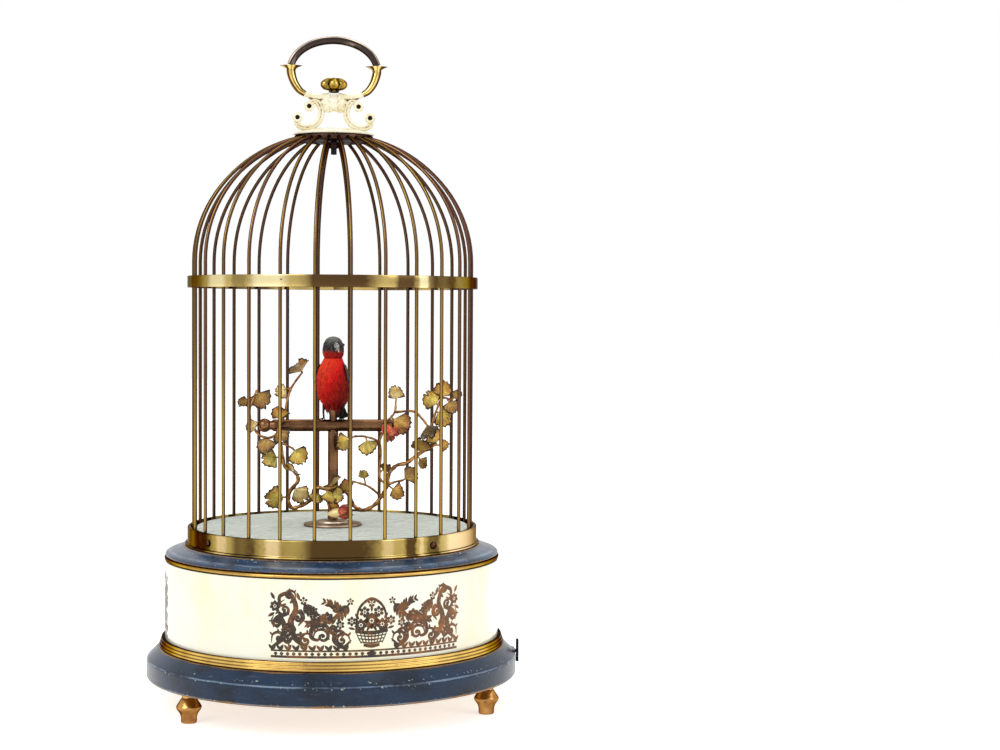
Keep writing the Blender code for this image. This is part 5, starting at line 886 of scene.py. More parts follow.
class Shape:
    """Faces gathered for one piece, in millimetres, with each face's finish and each point's marks."""

    def __init__(self, turn: float = 0.0) -> None:
        """Starts an empty shape.

        Args:
            turn: how far it is turned about the upright axis when it is made, in degrees.
        """
        self.turn = turn
        self.points: list[np.ndarray] = []
        self.faces: list[tuple[int, ...]] = []
        self.finish_of: list[int] = []
        self.marks: list[np.ndarray] = []
        self.tints: list[np.ndarray] = []
        self.tips: list[np.ndarray] = []
        self.count = 0

    def add(
        self,
        points: np.ndarray,
        faces: Sequence[Sequence[int]],
        finish: int = 0,
        mark: np.ndarray | None = None,
        tint: Shade = (1.0, 1.0, 1.0, 1.0),
        tip: Shade = (1.0, 1.0, 1.0, 1.0),
    ) -> None:
        """Adds points and the faces between them.

        Args:
            points: the points.
            faces: each face's corners, counted from the first of these points.
            finish: which of the piece's finishes they have.
            mark: along, across and chance for each point.
            tint: the colour at the root.
            tip: the colour at the tip.
        """
        points = np.asarray(points, float).reshape(-1, 3)
        marks = np.zeros((len(points), 3)) if mark is None else np.asarray(mark, float).reshape(-1, 3)
        self.points.append(points)
        self.faces.extend(tuple(int(corner) + self.count for corner in face) for face in faces)
        self.finish_of.extend([finish] * len(faces))
        self.marks.append(marks)
        self.tints.append(np.tile(tint, (len(points), 1)))
        self.tips.append(np.tile(tip, (len(points), 1)))
        self.count += len(points)

    def skin(
        self,
        rows: np.ndarray,
        around: bool = True,
        along: bool = False,
        mark: np.ndarray | None = None,
        **looks: object,
    ) -> None:
        """Covers rows of points with faces.

        Args:
            rows: the rows, each with the same number of points.
            around: whether each row runs back to its start, and the first and last rows are then capped.
            along: whether the last row joins the first.
            mark: along, across and chance for each point.
            looks: the finish and the colours.
        """
        high, wide = rows.shape[:2]
        faces = []
        for row in range(high if along else high - 1):
            low, top = row * wide, (row + 1) % high * wide
            for column in range(wide if around else wide - 1):
                beside = (column + 1) % wide
                faces.append((low + column, low + beside, top + beside, top + column))
        if around and not along:
            faces += [tuple(range(wide))[::-1], tuple(range((high - 1) * wide, high * wide))]
        self.add(rows, faces, mark=mark, **looks)

    def turned(
        self,
        outline: np.ndarray,
        sides: int = 128,
        centre: Flat = (0.0, 0.0),
        closed: bool = True,
        swell: Callable[[float, float, float], float] | None = None,
        **looks: object,
    ) -> None:
        """Turns an outline of radius and height about an upright axis.

        Args:
            outline: the outline's points.
            sides: the number of faces round it.
            centre: where the axis stands.
            closed: whether the outline runs back to its start.
            swell: gives the share by which a point's radius grows, from its angle, radius and height.
            looks: the finish and the colours.
        """
        angles = np.arange(sides) * 2 * pi / sides
        rows = []
        for radius, high in outline:
            reach = np.full(sides, max(radius, LEAST_RADIUS))
            if swell:
                reach = reach * np.array([swell(angle, radius, high) for angle in angles])
            x, y = centre[0] + reach * np.cos(angles), centre[1] + reach * np.sin(angles)
            rows.append(np.stack([x, y, np.full(sides, high)], 1))
        self.skin(np.array(rows), along=closed, **looks)

    def tube(
        self,
        path: Sequence[Sequence[float]],
        wide: float | Sequence[float],
        deep: float | Sequence[float] | None = None,
        sides: int = 12,
        across: Spot | None = None,
        section: Callable[[np.ndarray, float], np.ndarray] | None = None,
        domed: bool = True,
        hollow: Callable[[np.ndarray, float], np.ndarray] | None = None,
        **looks: object,
    ) -> None:
        """Runs an oval section along a path.

        Args:
            path: the path's points.
            wide: half the width, or one for each point.
            deep: half the depth along the direction across, where it isn't the width.
            sides: the number of faces round it.
            across: a fixed direction for the depth, or nothing where the section follows the path freely.
            section: gives the share of the section's reach from its angles and the share of the way along.
            domed: whether the ends are rounded.
            hollow: gives how far a point lies in a hollow, from the same two.
            looks: the finish and the colours.
        """
        line = np.asarray(path, float)
        half = np.array(np.broadcast_to(wide, len(line)), float)
        depth = half if deep is None else np.array(np.broadcast_to(deep, len(line)), float)
        if domed:
            first, last = line[0] - line[1], line[-1] - line[-2]
            first *= min(half[0], depth[0]) / np.linalg.norm(first)
            last *= min(half[-1], depth[-1]) / np.linalg.norm(last)
            start, end = [line[0] + first * out for out in (0.55, 0.4)], [line[-1] + last * out for out in (0.4, 0.55)]
            line = np.vstack([*start, line, *end])
            half, depth = (
                np.concatenate([size[0] * np.array([0.3, 0.75]), size, size[-1] * np.array([0.75, 0.3])])
                for size in (half, depth)
            )
        way = np.gradient(line, axis=0)
        way /= np.linalg.norm(way, axis=1)[:, None]
        lead = np.array(across if across is not None else (0.0, 0.0, 1.0), float)
        if across is None and abs(way[0] @ lead) > 0.9:
            lead = np.array((0.0, 1.0, 0.0))
        angles = 2 * pi * (np.arange(sides) + 0.5) / sides
        rows, marks = [], []
        for index, point in enumerate(line):
            lead_here = lead - way[index] * (way[index] @ lead)
            lead_here /= np.linalg.norm(lead_here)
            if across is None:
                lead = lead_here
            beside = np.cross(lead_here, way[index])
            share = index / (len(line) - 1)
            reach = np.ones(sides) if section is None else section(angles, share)
            turn = np.cos(angles)[:, None] * beside * half[index] + np.sin(angles)[:, None] * lead_here * depth[index]
            rows.append(point + turn * reach[:, None])
            low = np.zeros(sides) if hollow is None else hollow(angles, share)
            marks.append(np.stack([np.full(sides, share), angles / (2 * pi), low], 1))
        self.skin(np.array(rows), mark=np.array(marks), **looks)

    def plate(self, grid: np.ndarray, thick: float, mark: np.ndarray | None = None, **looks: object) -> None:
        """Makes a thin closed plate from a grid of points.

        Args:
            grid: the plate's middle, as rows of points.
            thick: its thickness.
            mark: along, across and chance for each point.
            looks: the finish and the colours.
        """
        high, wide = grid.shape[:2]
        slope = np.cross(np.gradient(grid, axis=0), np.gradient(grid, axis=1))
        slope /= np.maximum(np.linalg.norm(slope, axis=2), 1e-9)[..., None]
        ring = [(0, column) for column in range(wide)] + [(row, wide - 1) for row in range(1, high)]
        ring += [(high - 1, column) for column in range(wide - 2, -1, -1)]
        ring += [(row, 0) for row in range(high - 2, 0, -1)]
        spots = np.concatenate([(grid + slope * thick / 2).reshape(-1, 3), (grid - slope * thick / 2).reshape(-1, 3)])
        under = high * wide
        faces = []
        for row in range(high - 1):
            for column in range(wide - 1):
                a, b = row * wide + column, row * wide + column + 1
                c, d = b + wide, a + wide
                faces += [(a, b, c, d), (under + d, under + c, under + b, under + a)]
        for (row, column), (next_row, next_column) in zip(ring, ring[1:] + ring[:1]):
            a, b = row * wide + column, next_row * wide + next_column
            faces.append((b, a, under + a, under + b))
        both = None if mark is None else np.concatenate([np.asarray(mark).reshape(-1, 3)] * 2)
        self.add(spots, faces, mark=both, **looks)

    def ball(self, centre: Spot, reach: Spot, sides: int = 16, rings: int = 9, **looks: object) -> None:
        """Adds a rounded bead.

        Args:
            centre: its middle.
            reach: its reach along each axis.
            sides: the number of faces round it.
            rings: the number of rows of points.
            looks: the finish and the colours.
        """
        rows = []
        around = np.arange(sides) * 2 * pi / sides
        for turn in np.linspace(-pi / 2 + 0.02, pi / 2 - 0.02, rings):
            wide, high = np.cos(turn), np.full(sides, np.sin(turn))
            row = np.stack([wide * np.cos(around), wide * np.sin(around), high], 1)
            rows.append(np.array(centre) + row * np.array(reach))
        self.skin(np.array(rows), **looks)

    def moved(self, matrix: Matrix, first: int = 0) -> None:
        """Moves the parts that were added from one on.

        Args:
            matrix: the move.
            first: the first part that moves.
        """
        turn = np.array(matrix)
        for index in range(first, len(self.points)):
            self.points[index] = self.points[index] @ turn[:3, :3].T + turn[:3, 3]

    def piece(
        self,
        name: str,
        finishes: Sequence[Finish],
        body: Body,
        slot: Slot,
        nodes: Sequence[str] = (),
        crease: float = 38.0,
    ) -> bpy.types.Object:
        """Makes the piece, lets it ride on its body and lets it stand for its nodes.

        Args:
            name: the piece's name.
            finishes: its finishes, in the order in which the faces count them.
            body: the body it rides on.
            slot: the record's slot for its finish; not used.
            nodes: the frame's nodes that it replaces.
            crease: the angle from which an edge is sharp.

        Returns:
            The new object.
        """
        points = np.vstack(self.points)
        turn = radians(self.turn)
        x, y = points[:, 0].copy(), points[:, 1].copy()
        points[:, 0], points[:, 1] = x * cos(turn) - y * sin(turn), x * sin(turn) + y * cos(turn)
        mesh = bpy.data.meshes.new(name)
        mesh.from_pydata((points * MM).tolist(), [], self.faces)
        for finish in finishes:
            mesh.materials.append(finish.material())
        mesh.polygons.foreach_set("material_index", self.finish_of)
        for title, kind, field_name, values in (
            ("mark", "FLOAT_VECTOR", "vector", self.marks),
            ("tint", "FLOAT_COLOR", "color", self.tints),
            ("tip", "FLOAT_COLOR", "color", self.tips),
        ):
            mesh.attributes.new(title, kind, "POINT").data.foreach_set(field_name, np.vstack(values).ravel())
        bench = bmesh.new()
        bench.from_mesh(mesh)
        bmesh.ops.recalc_face_normals(bench, faces=bench.faces)
        bench.to_mesh(mesh)
        bench.free()
        mesh.shade_smooth()
        mesh.set_sharp_from_angle(angle=radians(crease))
        made = bpy.data.objects.new(name, mesh)
        bpy.context.scene.collection.objects.link(made)
        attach(made, body.value)
        if nodes:
            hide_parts(*nodes)
        LOG.info("%s: %d faces on %s", name, len(mesh.polygons), body.value)
        return made


def dress(finish: Finish, *nodes: str) -> None:
    """Gives nodes that keep their plain shapes a better material.

    Args:
        finish: the finish.
        nodes: the nodes.
    """
    for node in nodes:
        mesh = frame["nodes"][node].data
        mesh.materials.clear()
        mesh.materials.append(finish.material())
        LOG.info("%s: %s", node, finish.name)


@dataclass(frozen=True)
class Ring:
    """A ring of the base or the cage, turned in one piece from its outline of radius and height."""

    name: str
    node: str
    outline: Outline
    finish: Finish
    slot: Slot
    corner: float
    steps: int
    crease: float
    sides: int = RING_SIDES

    def build(self) -> None:
        """Turns the ring, with its corners rounded."""
        shape = Shape()
        shape.turned(eased(self.outline, self.corner, self.steps), self.sides)
        shape.piece(self.name, [self.finish], Body.CASE, self.slot, [self.node], self.crease)


@dataclass
class Feet:
    """Three turned gilt feet."""

    profile: Outline = (
        (0.0, 0.0), (3.0, 0.0), (3.4, 0.4), (3.4, 2.4), (3.85, 4.1), (5.28, 6.1), (5.5, 7.0), (5.06, 7.9),
        (2.9, 11.1), (2.9, 13.2), (1.5, 13.3), (1.5, 19.2), (0.0, 19.2),
    )
    corner: float = 0.35
    circle: float = 74.6
    places: tuple[tuple[str, float], ...] = (
        ("foot_front_left", -55.2), ("foot_front_right", 64.8), ("foot_rear", 184.8),
    )

    def build(self) -> None:
        """Turns the feet."""
        profile = eased(self.profile, self.corner, 4, closed=False)
        for node, angle in self.places:
            x, y, _ = ring_spot(self.circle, angle, 0.0)
            shape = Shape()
            shape.turned(profile, 64, (x, y), closed=False)
            shape.piece("turned_" + node, [Finishes.FOOT_GILT], Body.CASE, Slot.GILT, [node], 30.0)


@dataclass
class Base:
    """The plinth, the reeded moulding, the drum, the bead and the cornice."""

    plinth: Outline = (
        (69.7, 13.5), (82.3, 13.5), (82.98, 14.4), (82.98, 21.6), (82.5, 22.5), (81.4, 23.6), (77.8, 27.1),
        (77.3, 27.4), (64.0, 27.4), (64.0, 15.1), (69.7, 15.1),
    )
    plinth_foot: float = 13.5
    plinth_top: float = 27.4
    slot_half: float = 5.35
    slot_low: float = 20.7
    slot_high: float = 23.1
    moulding: Outline = (
        (75.1, 27.7), (77.3, 27.7), (77.3, 28.7), (76.86, 29.0), (76.86, 30.0), (76.42, 30.3), (76.42, 31.3),
        (75.98, 31.6), (75.1, 31.6),
    )
    drum: Outline = ((73.6, 27.7), (74.8, 27.7), (74.8, 65.5), (73.6, 65.5))
    bead: Outline = ((73.6, 65.8), (74.5, 65.8), (75.1, 66.34), (75.1, 67.06), (74.5, 67.6), (73.6, 67.6))
    cornice: Outline = (
        (72.1, 62.5), (73.3, 62.5), (73.3, 67.9), (74.6, 67.9), (74.7, 68.5), (74.3, 69.1), (73.4, 69.6),
        (67.3, 71.6), (66.4, 72.3), (56.0, 72.3), (56.0, 70.3), (72.1, 66.9),
    )

    def build(self) -> None:
        """Builds the rings from the plinth up."""
        self.build_plinth()
        for ring in (
            Ring("reeded_moulding", "gilt_moulding", self.moulding, Finishes.MOULDING, Slot.GILT, 0.32, 4, 50.0),
            Ring("enamelled_drum", "drum_shell", self.drum, Finishes.DRUM, Slot.DRUM_ENAMEL, 0.15, 2, 30.0),
            Ring("gilt_bead_moulding", "gilt_bead", self.bead, Finishes.BEAD, Slot.GILT, 0.3, 4, 50.0),
            Ring("painted_cornice", "cornice", self.cornice, Finishes.CORNICE, Slot.BLUE_LACQUER, 0.45, 4, 32.0),
        ):
            ring.build()

    def build_plinth(self) -> None:
        """Builds the plinth with its lever slot at the right: a ring left open there, and two bridges over the gap."""
        line = eased(self.plinth, 0.5, 4)
        shape = Shape()
        half = degrees(self.slot_half / float(line[:, 0].max()))
        angles = np.radians(np.linspace(half, 360.0 - half, 250))
        bridge = np.linspace(-radians(half), radians(half), 7)
        parts = [(line, angles)]
        for low, high in ((self.plinth_foot, self.slot_low), (self.slot_high, self.plinth_top)):
            part = [(radius, min(max(z, low), high)) for radius, z in self.plinth]
            parts.append((eased(part, 0.3, 3), bridge))
        for outline, turns in parts:
            rows = np.array([[(radius * cos(turn), radius * sin(turn), z) for turn in turns] for radius, z in outline])
            shape.skin(rows, around=False, along=True)
        shape.piece("painted_plinth", [Finishes.PLINTH], Body.CASE, Slot.BLUE_LACQUER, ["plinth"], 32.0)


@dataclass(frozen=True)
class PanelArt:
    """One panel's ornament, drawn flat: across from its middle and up from its foot. All but the basket is mirrored."""

    reach: float = 42.4
    curves: tuple[Curve, ...] = (
        (
            ((8.6, 6.4), (12.0, 3.6), (15.6, 6.4), (14.6, 10.2), (11.8, 9.6), (12.6, 7.6)),
            (0.4, 1.1, 1.4, 1.0, 0.8, 0.5),
        ),
        (
            ((15.2, 7.4), (19.4, 12.6), (24.4, 11.6), (25.2, 7.8), (22.4, 6.6), (21.6, 8.8)),
            (0.5, 1.2, 1.5, 1.1, 0.8, 0.4),
        ),
        (
            (
                (27.0, 3.6), (31.6, 6.8), (33.8, 13.6), (31.6, 19.8), (34.0, 25.4), (38.4, 24.6), (38.2, 20.8),
                (35.8, 21.4),
            ),
            (0.6, 1.5, 1.9, 1.5, 1.3, 1.1, 0.9, 0.5),
        ),
        (
            ((41.8, 3.4), (38.4, 6.0), (36.4, 11.4), (38.6, 16.0), (41.2, 13.6), (39.4, 11.2)),
            (0.6, 1.4, 1.6, 1.3, 0.9, 0.5),
        ),
        (((30.6, 12.4), (28.4, 15.6), (29.6, 18.8), (31.2, 17.2)), (0.4, 1.0, 0.8, 0.4)),
        (((0.0, 1.9), (21.0, 1.9), (reach, 1.9)), (0.5, 0.5, 0.5)),
        (((0.0, -0.6), (21.0, -0.6), (reach, -0.6)), (0.7, 0.7, 0.7)),
    )
    sprigs: tuple[tuple[tuple[Flat, ...], int, float], ...] = (
        (((9.6, 21.4), (14.0, 15.8), (18.6, 14.6)), 7, 3.4),
        (((28.6, 21.6), (23.6, 16.6), (18.6, 14.8)), 7, 3.4),
        (((12.8, 17.6), (15.8, 21.0), (20.2, 22.6)), 6, 3.2),
        (((21.6, 15.8), (24.6, 13.6), (27.4, 13.2)), 4, 3.0),
        (((34.4, 3.6), (35.4, 8.4), (34.8, 13.0)), 4, 3.4),
    )
    flowers: tuple[tuple[float, float, float, int], ...] = (
        (0.0, 14.2, 6.6, 8), (4.6, 12.6, 5.2, 7), (3.0, 18.0, 4.6, 6), (8.4, 14.2, 4.0, 6), (0.0, 21.6, 3.4, 5),
        (18.6, 15.6, 5.4, 7), (13.2, 12.8, 3.6, 6), (24.2, 18.8, 3.6, 6), (28.4, 22.8, 3.4, 5), (9.0, 22.4, 3.0, 5),
        (40.6, 20.4, 4.6, 7), (29.6, 8.0, 4.0, 6),
    )
    leaves: tuple[tuple[float, float, float, float, float], ...] = (
        (1.4, 11.2, 0.9, 2.6, 30), (6.2, 16.2, 0.9, 2.6, -35), (5.4, 10.9, 0.9, 2.6, -60), (0.0, 19.4, 0.9, 2.6, 0),
        (8.4, 11.2, 0.9, 2.6, -75), (36.6, 17.6, 1.1, 3.0, 20), (41.6, 24.6, 1.1, 3.0, -30),
        (42.2, 16.8, 1.1, 3.0, 60), (33.0, 22.8, 1.1, 3.0, 45), (30.6, 24.6, 1.1, 3.0, -20), (0.0, 0.65, 2.2, 2.4, 90),
    )
    scrolls: tuple[tuple[float, float, float, float, float], ...] = (
        (12.6, 6.4, 4.0, 200.0, -1.0), (20.4, 8.0, 4.4, -20.0, 1.0), (27.6, 6.2, 3.8, 160.0, -1.0),
        (33.6, 10.4, 4.2, 250.0, 1.0), (38.8, 7.0, 3.8, -30.0, 1.0), (36.4, 19.0, 4.2, 90.0, -1.0),
        (30.8, 15.8, 3.2, 10.0, 1.0), (39.6, 14.0, 3.0, 60.0, -1.0), (34.2, 25.0, 2.8, 200.0, -1.0),
        (24.0, 13.4, 2.8, 120.0, 1.0), (16.4, 11.4, 2.6, 20.0, -1.0),
    )
    basket: tuple[Curve, ...] = (
        *((((-wide, level + 0.5), (0, level - 0.1), (wide, level + 0.5)), (0.3, 0.5, 0.3)) for level, wide in (
            (5.0, 4.6), (6.4, 5.4), (7.8, 6.0), (9.2, 6.5),
        )),
        *(
            (((part * 4.4, 4.9), (part * 5.6, 7.2), (part * 6.6, 9.8)), (0.32, 0.32, 0.32))
            for part in (-1.0, -0.75, -0.5, -0.25, 0.0, 0.25, 0.5, 0.75, 1.0)
        ),
        (((-7.0, 10.0), (0, 9.2), (7.0, 10.0)), (0.9, 1.2, 0.9)),
        (((-3.4, 4.2), (0, 3.7), (3.4, 4.2)), (0.9, 1.1, 0.9)),
        (((-6.6, 10.3), (-5.4, 19.2), (0.0, 23.4), (5.4, 19.2), (6.6, 10.3)), (0.5, 0.7, 0.9, 0.7, 0.5)),
    )


@dataclass
class Print:
    """The printed panels on the drum: a flower basket between scrolls, with garlands and a beaded line."""

    radius: float = 74.84
    low: float = 34.0
    headings: tuple[float, ...] = (12.5, 132.5, 252.5)
    weight: float = 1.45
    swell: Flat = (1.25, 1.2)
    art: PanelArt = PanelArt()
    shape: Shape = field(default_factory=Shape)
    heading: float = 0.0

    def wrapped(self, points: np.ndarray) -> np.ndarray:
        """Lays flat points of across and up onto the drum."""
        turn = np.radians(self.heading) + points[..., 0] / self.radius
        return np.stack([self.radius * np.sin(turn), -self.radius * np.cos(turn), self.low + points[..., 1]], -1)

    def stroke(self, points: Sequence[Sequence[float]], widths: Sequence[float], mirrored: bool = True) -> None:
        """Prints a curved stroke whose width swells and thins.

        Args:
            points: the points that it runs through.
            widths: its widths, spread evenly along it.
            mirrored: whether its mirror image is printed too.
        """
        line = smooth(points, 8)
        wide = np.interp(np.linspace(0, 1, len(line)), np.linspace(0, 1, len(widths)), widths)
        way = np.gradient(line, axis=0)
        way /= np.maximum(np.linalg.norm(way, axis=1), 1e-9)[:, None]
        side = np.stack([-way[:, 1], way[:, 0]], 1) * wide[:, None] * self.weight / 2
        for sign in (1, -1) if mirrored else (1,):
            rows = np.stack([line - side, line + side], 1) * (sign, 1)
            self.shape.skin(self.wrapped(rows), around=False)

    def spot(self, x: float, z: float, wide: float, high: float, turn: float = 0.0) -> None:
        """Prints a pointed oval, such as a petal or a berry, and its mirror image unless it stands in the middle.

        Args:
            x: how far across it stands.
            z: how high it stands.
            wide: its width.
            high: its height before it is turned.
            turn: how far it is turned, in degrees.
        """
        share = np.linspace(0, 1, 9)
        half = np.sin(share * pi) ** 0.8
        wide, high = wide * self.swell[0], high * self.swell[1]
        rows = np.stack([np.stack([sign * half * wide / 2, (share - 0.5) * high], 1) for sign in (-1, 1)], 1)
        a = radians(turn)
        rows = rows @ np.array([[cos(a), sin(a)], [-sin(a), cos(a)]]) + (x, z)
        for sign in (1, -1) if x else (1,):
            self.shape.skin(self.wrapped(rows * (sign, 1)), around=False)

    def flower(self, x: float, z: float, size: float, petals: int) -> None:
        """Prints a flower of petals round an open eye.

        Args:
            x: how far across it stands.
            z: how high it stands.
            size: its size.
            petals: the number of its petals.
        """
        for index in range(petals):
            angle = 2 * pi * index / petals
            at_x, at_z = x + 0.33 * size * sin(angle), z + 0.33 * size * cos(angle)
            self.spot(at_x, at_z, 0.26 * size, 0.34 * size, -degrees(angle))
        self.spot(x, z, 0.16 * size, 0.16 * size)

    def sprig(self, points: Sequence[Sequence[float]], leaves: int, size: float) -> None:
        """Prints a stem with leaves on both sides of it.

        Args:
            points: the points that the stem runs through.
            leaves: the number of pairs of leaves.
            size: the length of the first pair.
        """
        self.stroke(points, (0.55, 0.35, 0.2))
        line = smooth(points, 8)
        for index in range(leaves):
            at = int((index + 0.7) / leaves * (len(line) - 2))
            way = line[at + 1] - line[at]
            lean = degrees(atan2(way[0], way[1]))
            scale = size * (1.0 - 0.4 * index / leaves)
            for side in (-38.0, 38.0):
                off = radians(lean + side)
                x, z = line[at][0] + 0.5 * scale * sin(off), line[at][1] + 0.5 * scale * cos(off)
                self.spot(x, z, scale * 0.36, scale, -(lean + side))

    def scroll(self, x: float, z: float, size: float, turn: float, hand: float) -> None:
        """Prints a rolled leaf scroll.

        Args:
            x: how far across its eye lies.
            z: how high its eye lies.
            size: its reach.
            turn: where it starts, in degrees round its eye.
            hand: the way it rolls.
        """
        angles = np.linspace(0.0, 3.3 * pi, 12)
        reach = size * np.exp(-0.20 * angles)
        at = radians(turn) + hand * angles
        points = np.stack([x + reach * np.cos(at), z + reach * np.sin(at)], 1)
        self.stroke(points, (0.2, 0.9, 1.0, 0.8, 0.6, 0.5, 0.4))
        self.spot(x, z, 1.0, 1.0)
        for index in (1, 2, 3, 4):
            lean = at[index] + hand * 0.35
            leaf = size * (0.52 - 0.06 * index)
            middle = points[index] + np.array((cos(lean), sin(lean))) * leaf * 0.45
            self.spot(middle[0], middle[1], leaf * 0.42, leaf, degrees(lean) - 90.0)

    def border(self) -> None:
        """Prints the row of leaf pairs along the foot and the beads under it."""
        for x in np.arange(10.6, 42.0, 3.4):
            self.spot(x, 3.0, 1.2, 3.0, 30.0)
            self.spot(x + 1.2, 3.2, 1.0, 2.6, -40.0)
        for x in np.arange(1.3, 42.0, 2.6):
            self.spot(x, 0.65, 1.3, 1.3)

    def build(self) -> None:
        """Prints the three panels."""
        for heading in self.headings:
            self.heading = heading
            for points, widths in self.art.basket:
                self.stroke(points, widths, mirrored=False)
            for method, table in (
                (self.stroke, self.art.curves),
                (self.sprig, self.art.sprigs),
                (self.flower, self.art.flowers),
                (self.spot, self.art.leaves),
                (self.scroll, self.art.scrolls),
            ):
                for row in table:
                    method(*row)
            self.border()
        self.shape.piece("drum_print", [Finishes.INK], Body.CASE, Slot.DRUM_ENAMEL)


@dataclass
class Cage:
    """The base ring with its screws, the felted floor, the wires and the band."""

    ring: Outline = (
        (61.45, 72.6), (66.1, 72.6), (66.1, 73.3), (65.0, 73.5), (65.0, 80.2), (64.6, 80.5), (63.45, 80.5),
        (63.45, 73.5), (61.45, 73.5),
    )
    floor: Outline = (
        (2.65, 76.3), (57.7, 76.3), (57.7, 72.6), (61.1, 72.6), (61.15, 72.7), (61.15, 79.6), (60.9, 79.8),
        (2.65, 79.8),
    )
    band: Outline = ((63.45, 186.8), (65.0, 186.8), (65.0, 192.0), (63.45, 192.0))
    rivet: Spot = (64.72, -19.6, 189.9)
    rivet_reach: Spot = (0.34, 0.7, 0.7)
    screw_angles: tuple[tuple[str, float], ...] = (
        ("ring_screw_front_left", -55.54), ("ring_screw_front_right", 41.39), ("ring_screw_back_right", 124.46),
        ("ring_screw_back_left", 221.4),
    )
    screw_shank: Outline = ((0.0, -8.0), (0.7, -8.0), (0.9, -7.2), (0.9, 0.0))
    screw_head: float = 1.6
    screw_rise: float = 1.1
    screw_sunk: float = 0.30
    screw_round: float = 0.86
    screw_slot: float = 0.125
    screw_slot_floor: float = 0.28
    screw_seat: float = 65.3
    screw_high: float = 76.5
    wires: int = 26
    wire_radius: float = 0.78
    wire_circle: float = 62.3
    wire_levels: tuple[float, ...] = (73.8, 100.0, 130.0, 160.0, 184.0)
    spring: float = 198.4
    dome_rise: float = 57.6
    wire_end: float = 16.41
    first_wire: float = 6.77
    hub: Outline = ((1.35, 252.7), (17.6, 252.7), (17.6, 255.0), (1.35, 255.0))

    def build(self) -> None:
        """Builds the cage from its ring up."""
        for ring in (
            Ring("polished_base_ring", "cage_base_ring", self.ring, Finishes.RING, Slot.RING_BRASS, 0.22, 3, 34.0),
            Ring("felted_floor", "stage_floor", self.floor, Finishes.FELT, Slot.FELTED_BOARD, 0.25, 3, 40.0, 160),
        ):
            ring.build()
        for node, angle in self.screw_angles:
            self.build_screw(node, angle)
        self.build_wires()
        self.build_band()

    def build_band(self) -> None:
        """Bends the band round the wires, with the small rivet at its seam."""
        shape = Shape()
        shape.turned(eased(self.band, 0.35, 4), RING_SIDES)
        first = len(shape.points)
        shape.ball((0.0, 0.0, 0.0), self.rivet_reach, finish=1)
        turn = Matrix.Rotation(radians(self.rivet[1] - 90.0), 4, "Z")
        shape.moved(Matrix.Translation(ring_spot(*self.rivet)) @ turn, first)
        shape.piece("polished_band", [Finishes.BAND, Finishes.SCREW], Body.CASE, Slot.RING_BRASS, ["cage_band"], 34.0)

    def dome(self, out: np.ndarray | float) -> np.ndarray:
        """Gives the height of a screw's head at the square of a share of its radius."""
        return self.screw_rise * np.sqrt(np.maximum(1.0 - self.screw_round * out, 0.0)) - self.screw_sunk

    def build_screw(self, node: str, angle: float) -> None:
        """Builds one round-headed screw with its slot and shank.

        Args:
            node: the screw's node.
            angle: its place round the ring.
        """
        shape = Shape()
        head, slot = self.screw_head, self.screw_slot
        shape.turned(eased(self.screw_shank, 0.1, 2, closed=False), 16, closed=False)
        lines = [-1.0, -0.85, -0.6, -0.35, -slot, -slot + 0.001]
        rows = []
        for level in sorted(lines + [-line for line in lines]):
            across = np.linspace(-1, 1, 17) * max((1 - level**2) ** 0.5, 0.02)
            high = self.dome(across**2 + level**2)
            if abs(level) < slot:
                high = np.minimum(high, self.screw_slot_floor)
            rows.append(np.stack([across * head, np.full(17, level * head), np.maximum(high, 0.0)], 1))
        shape.skin(np.array([rows[0] * (1, 1, 0), *rows, rows[-1] * (1, 1, 0)]), around=False)
        around = np.linspace(0, 2 * pi, 33)[:-1]
        rim = np.stack([head * np.cos(around), head * np.sin(around), np.zeros(32)], 1)
        shape.skin(np.array([rim, rim + (0.0, 0.0, self.dome(1.0))]))
        turn = Matrix.Rotation(radians(angle - 90.0), 4, "Z") @ Matrix.Rotation(radians(90.0), 4, "Y")
        place = Matrix.Translation(ring_spot(self.screw_seat, angle, self.screw_high))
        shape.moved(place @ turn @ Matrix.Rotation(radians(angle * 3.0), 4, "Z"))
        shape.piece("slotted_" + node, [Finishes.SCREW], Body.CASE, Slot.RING_BRASS, [node], 40.0)

    def build_wires(self) -> None:
        """Bends the wires over the dome and solders them to the hub."""
        shape = Shape()
        turns = np.linspace(0.0, np.arccos(self.wire_end / self.wire_circle), 22)
        line = [(self.wire_circle, level) for level in self.wire_levels]
        line += [(self.wire_circle * cos(turn), self.spring + self.dome_rise * sin(turn)) for turn in turns]
        for index in range(self.wires):
            angle = self.first_wire + 360.0 * index / self.wires
            path = [ring_spot(radius, angle, high) for radius, high in line]
            chance = np.random.default_rng(index).random()
            shape.tube(path, self.wire_radius, sides=20, domed=False, tint=(chance, chance, chance, 1.0))
        shape.turned(eased(self.hub, 0.3, 3), 96, tint=(0.0, 0.0, 0.0, 1.0))
        shape.piece("bent_cage_wires", [Finishes.WIRE], Body.CASE, Slot.WIRE_BRASS, ["cage_wires"], 40.0)


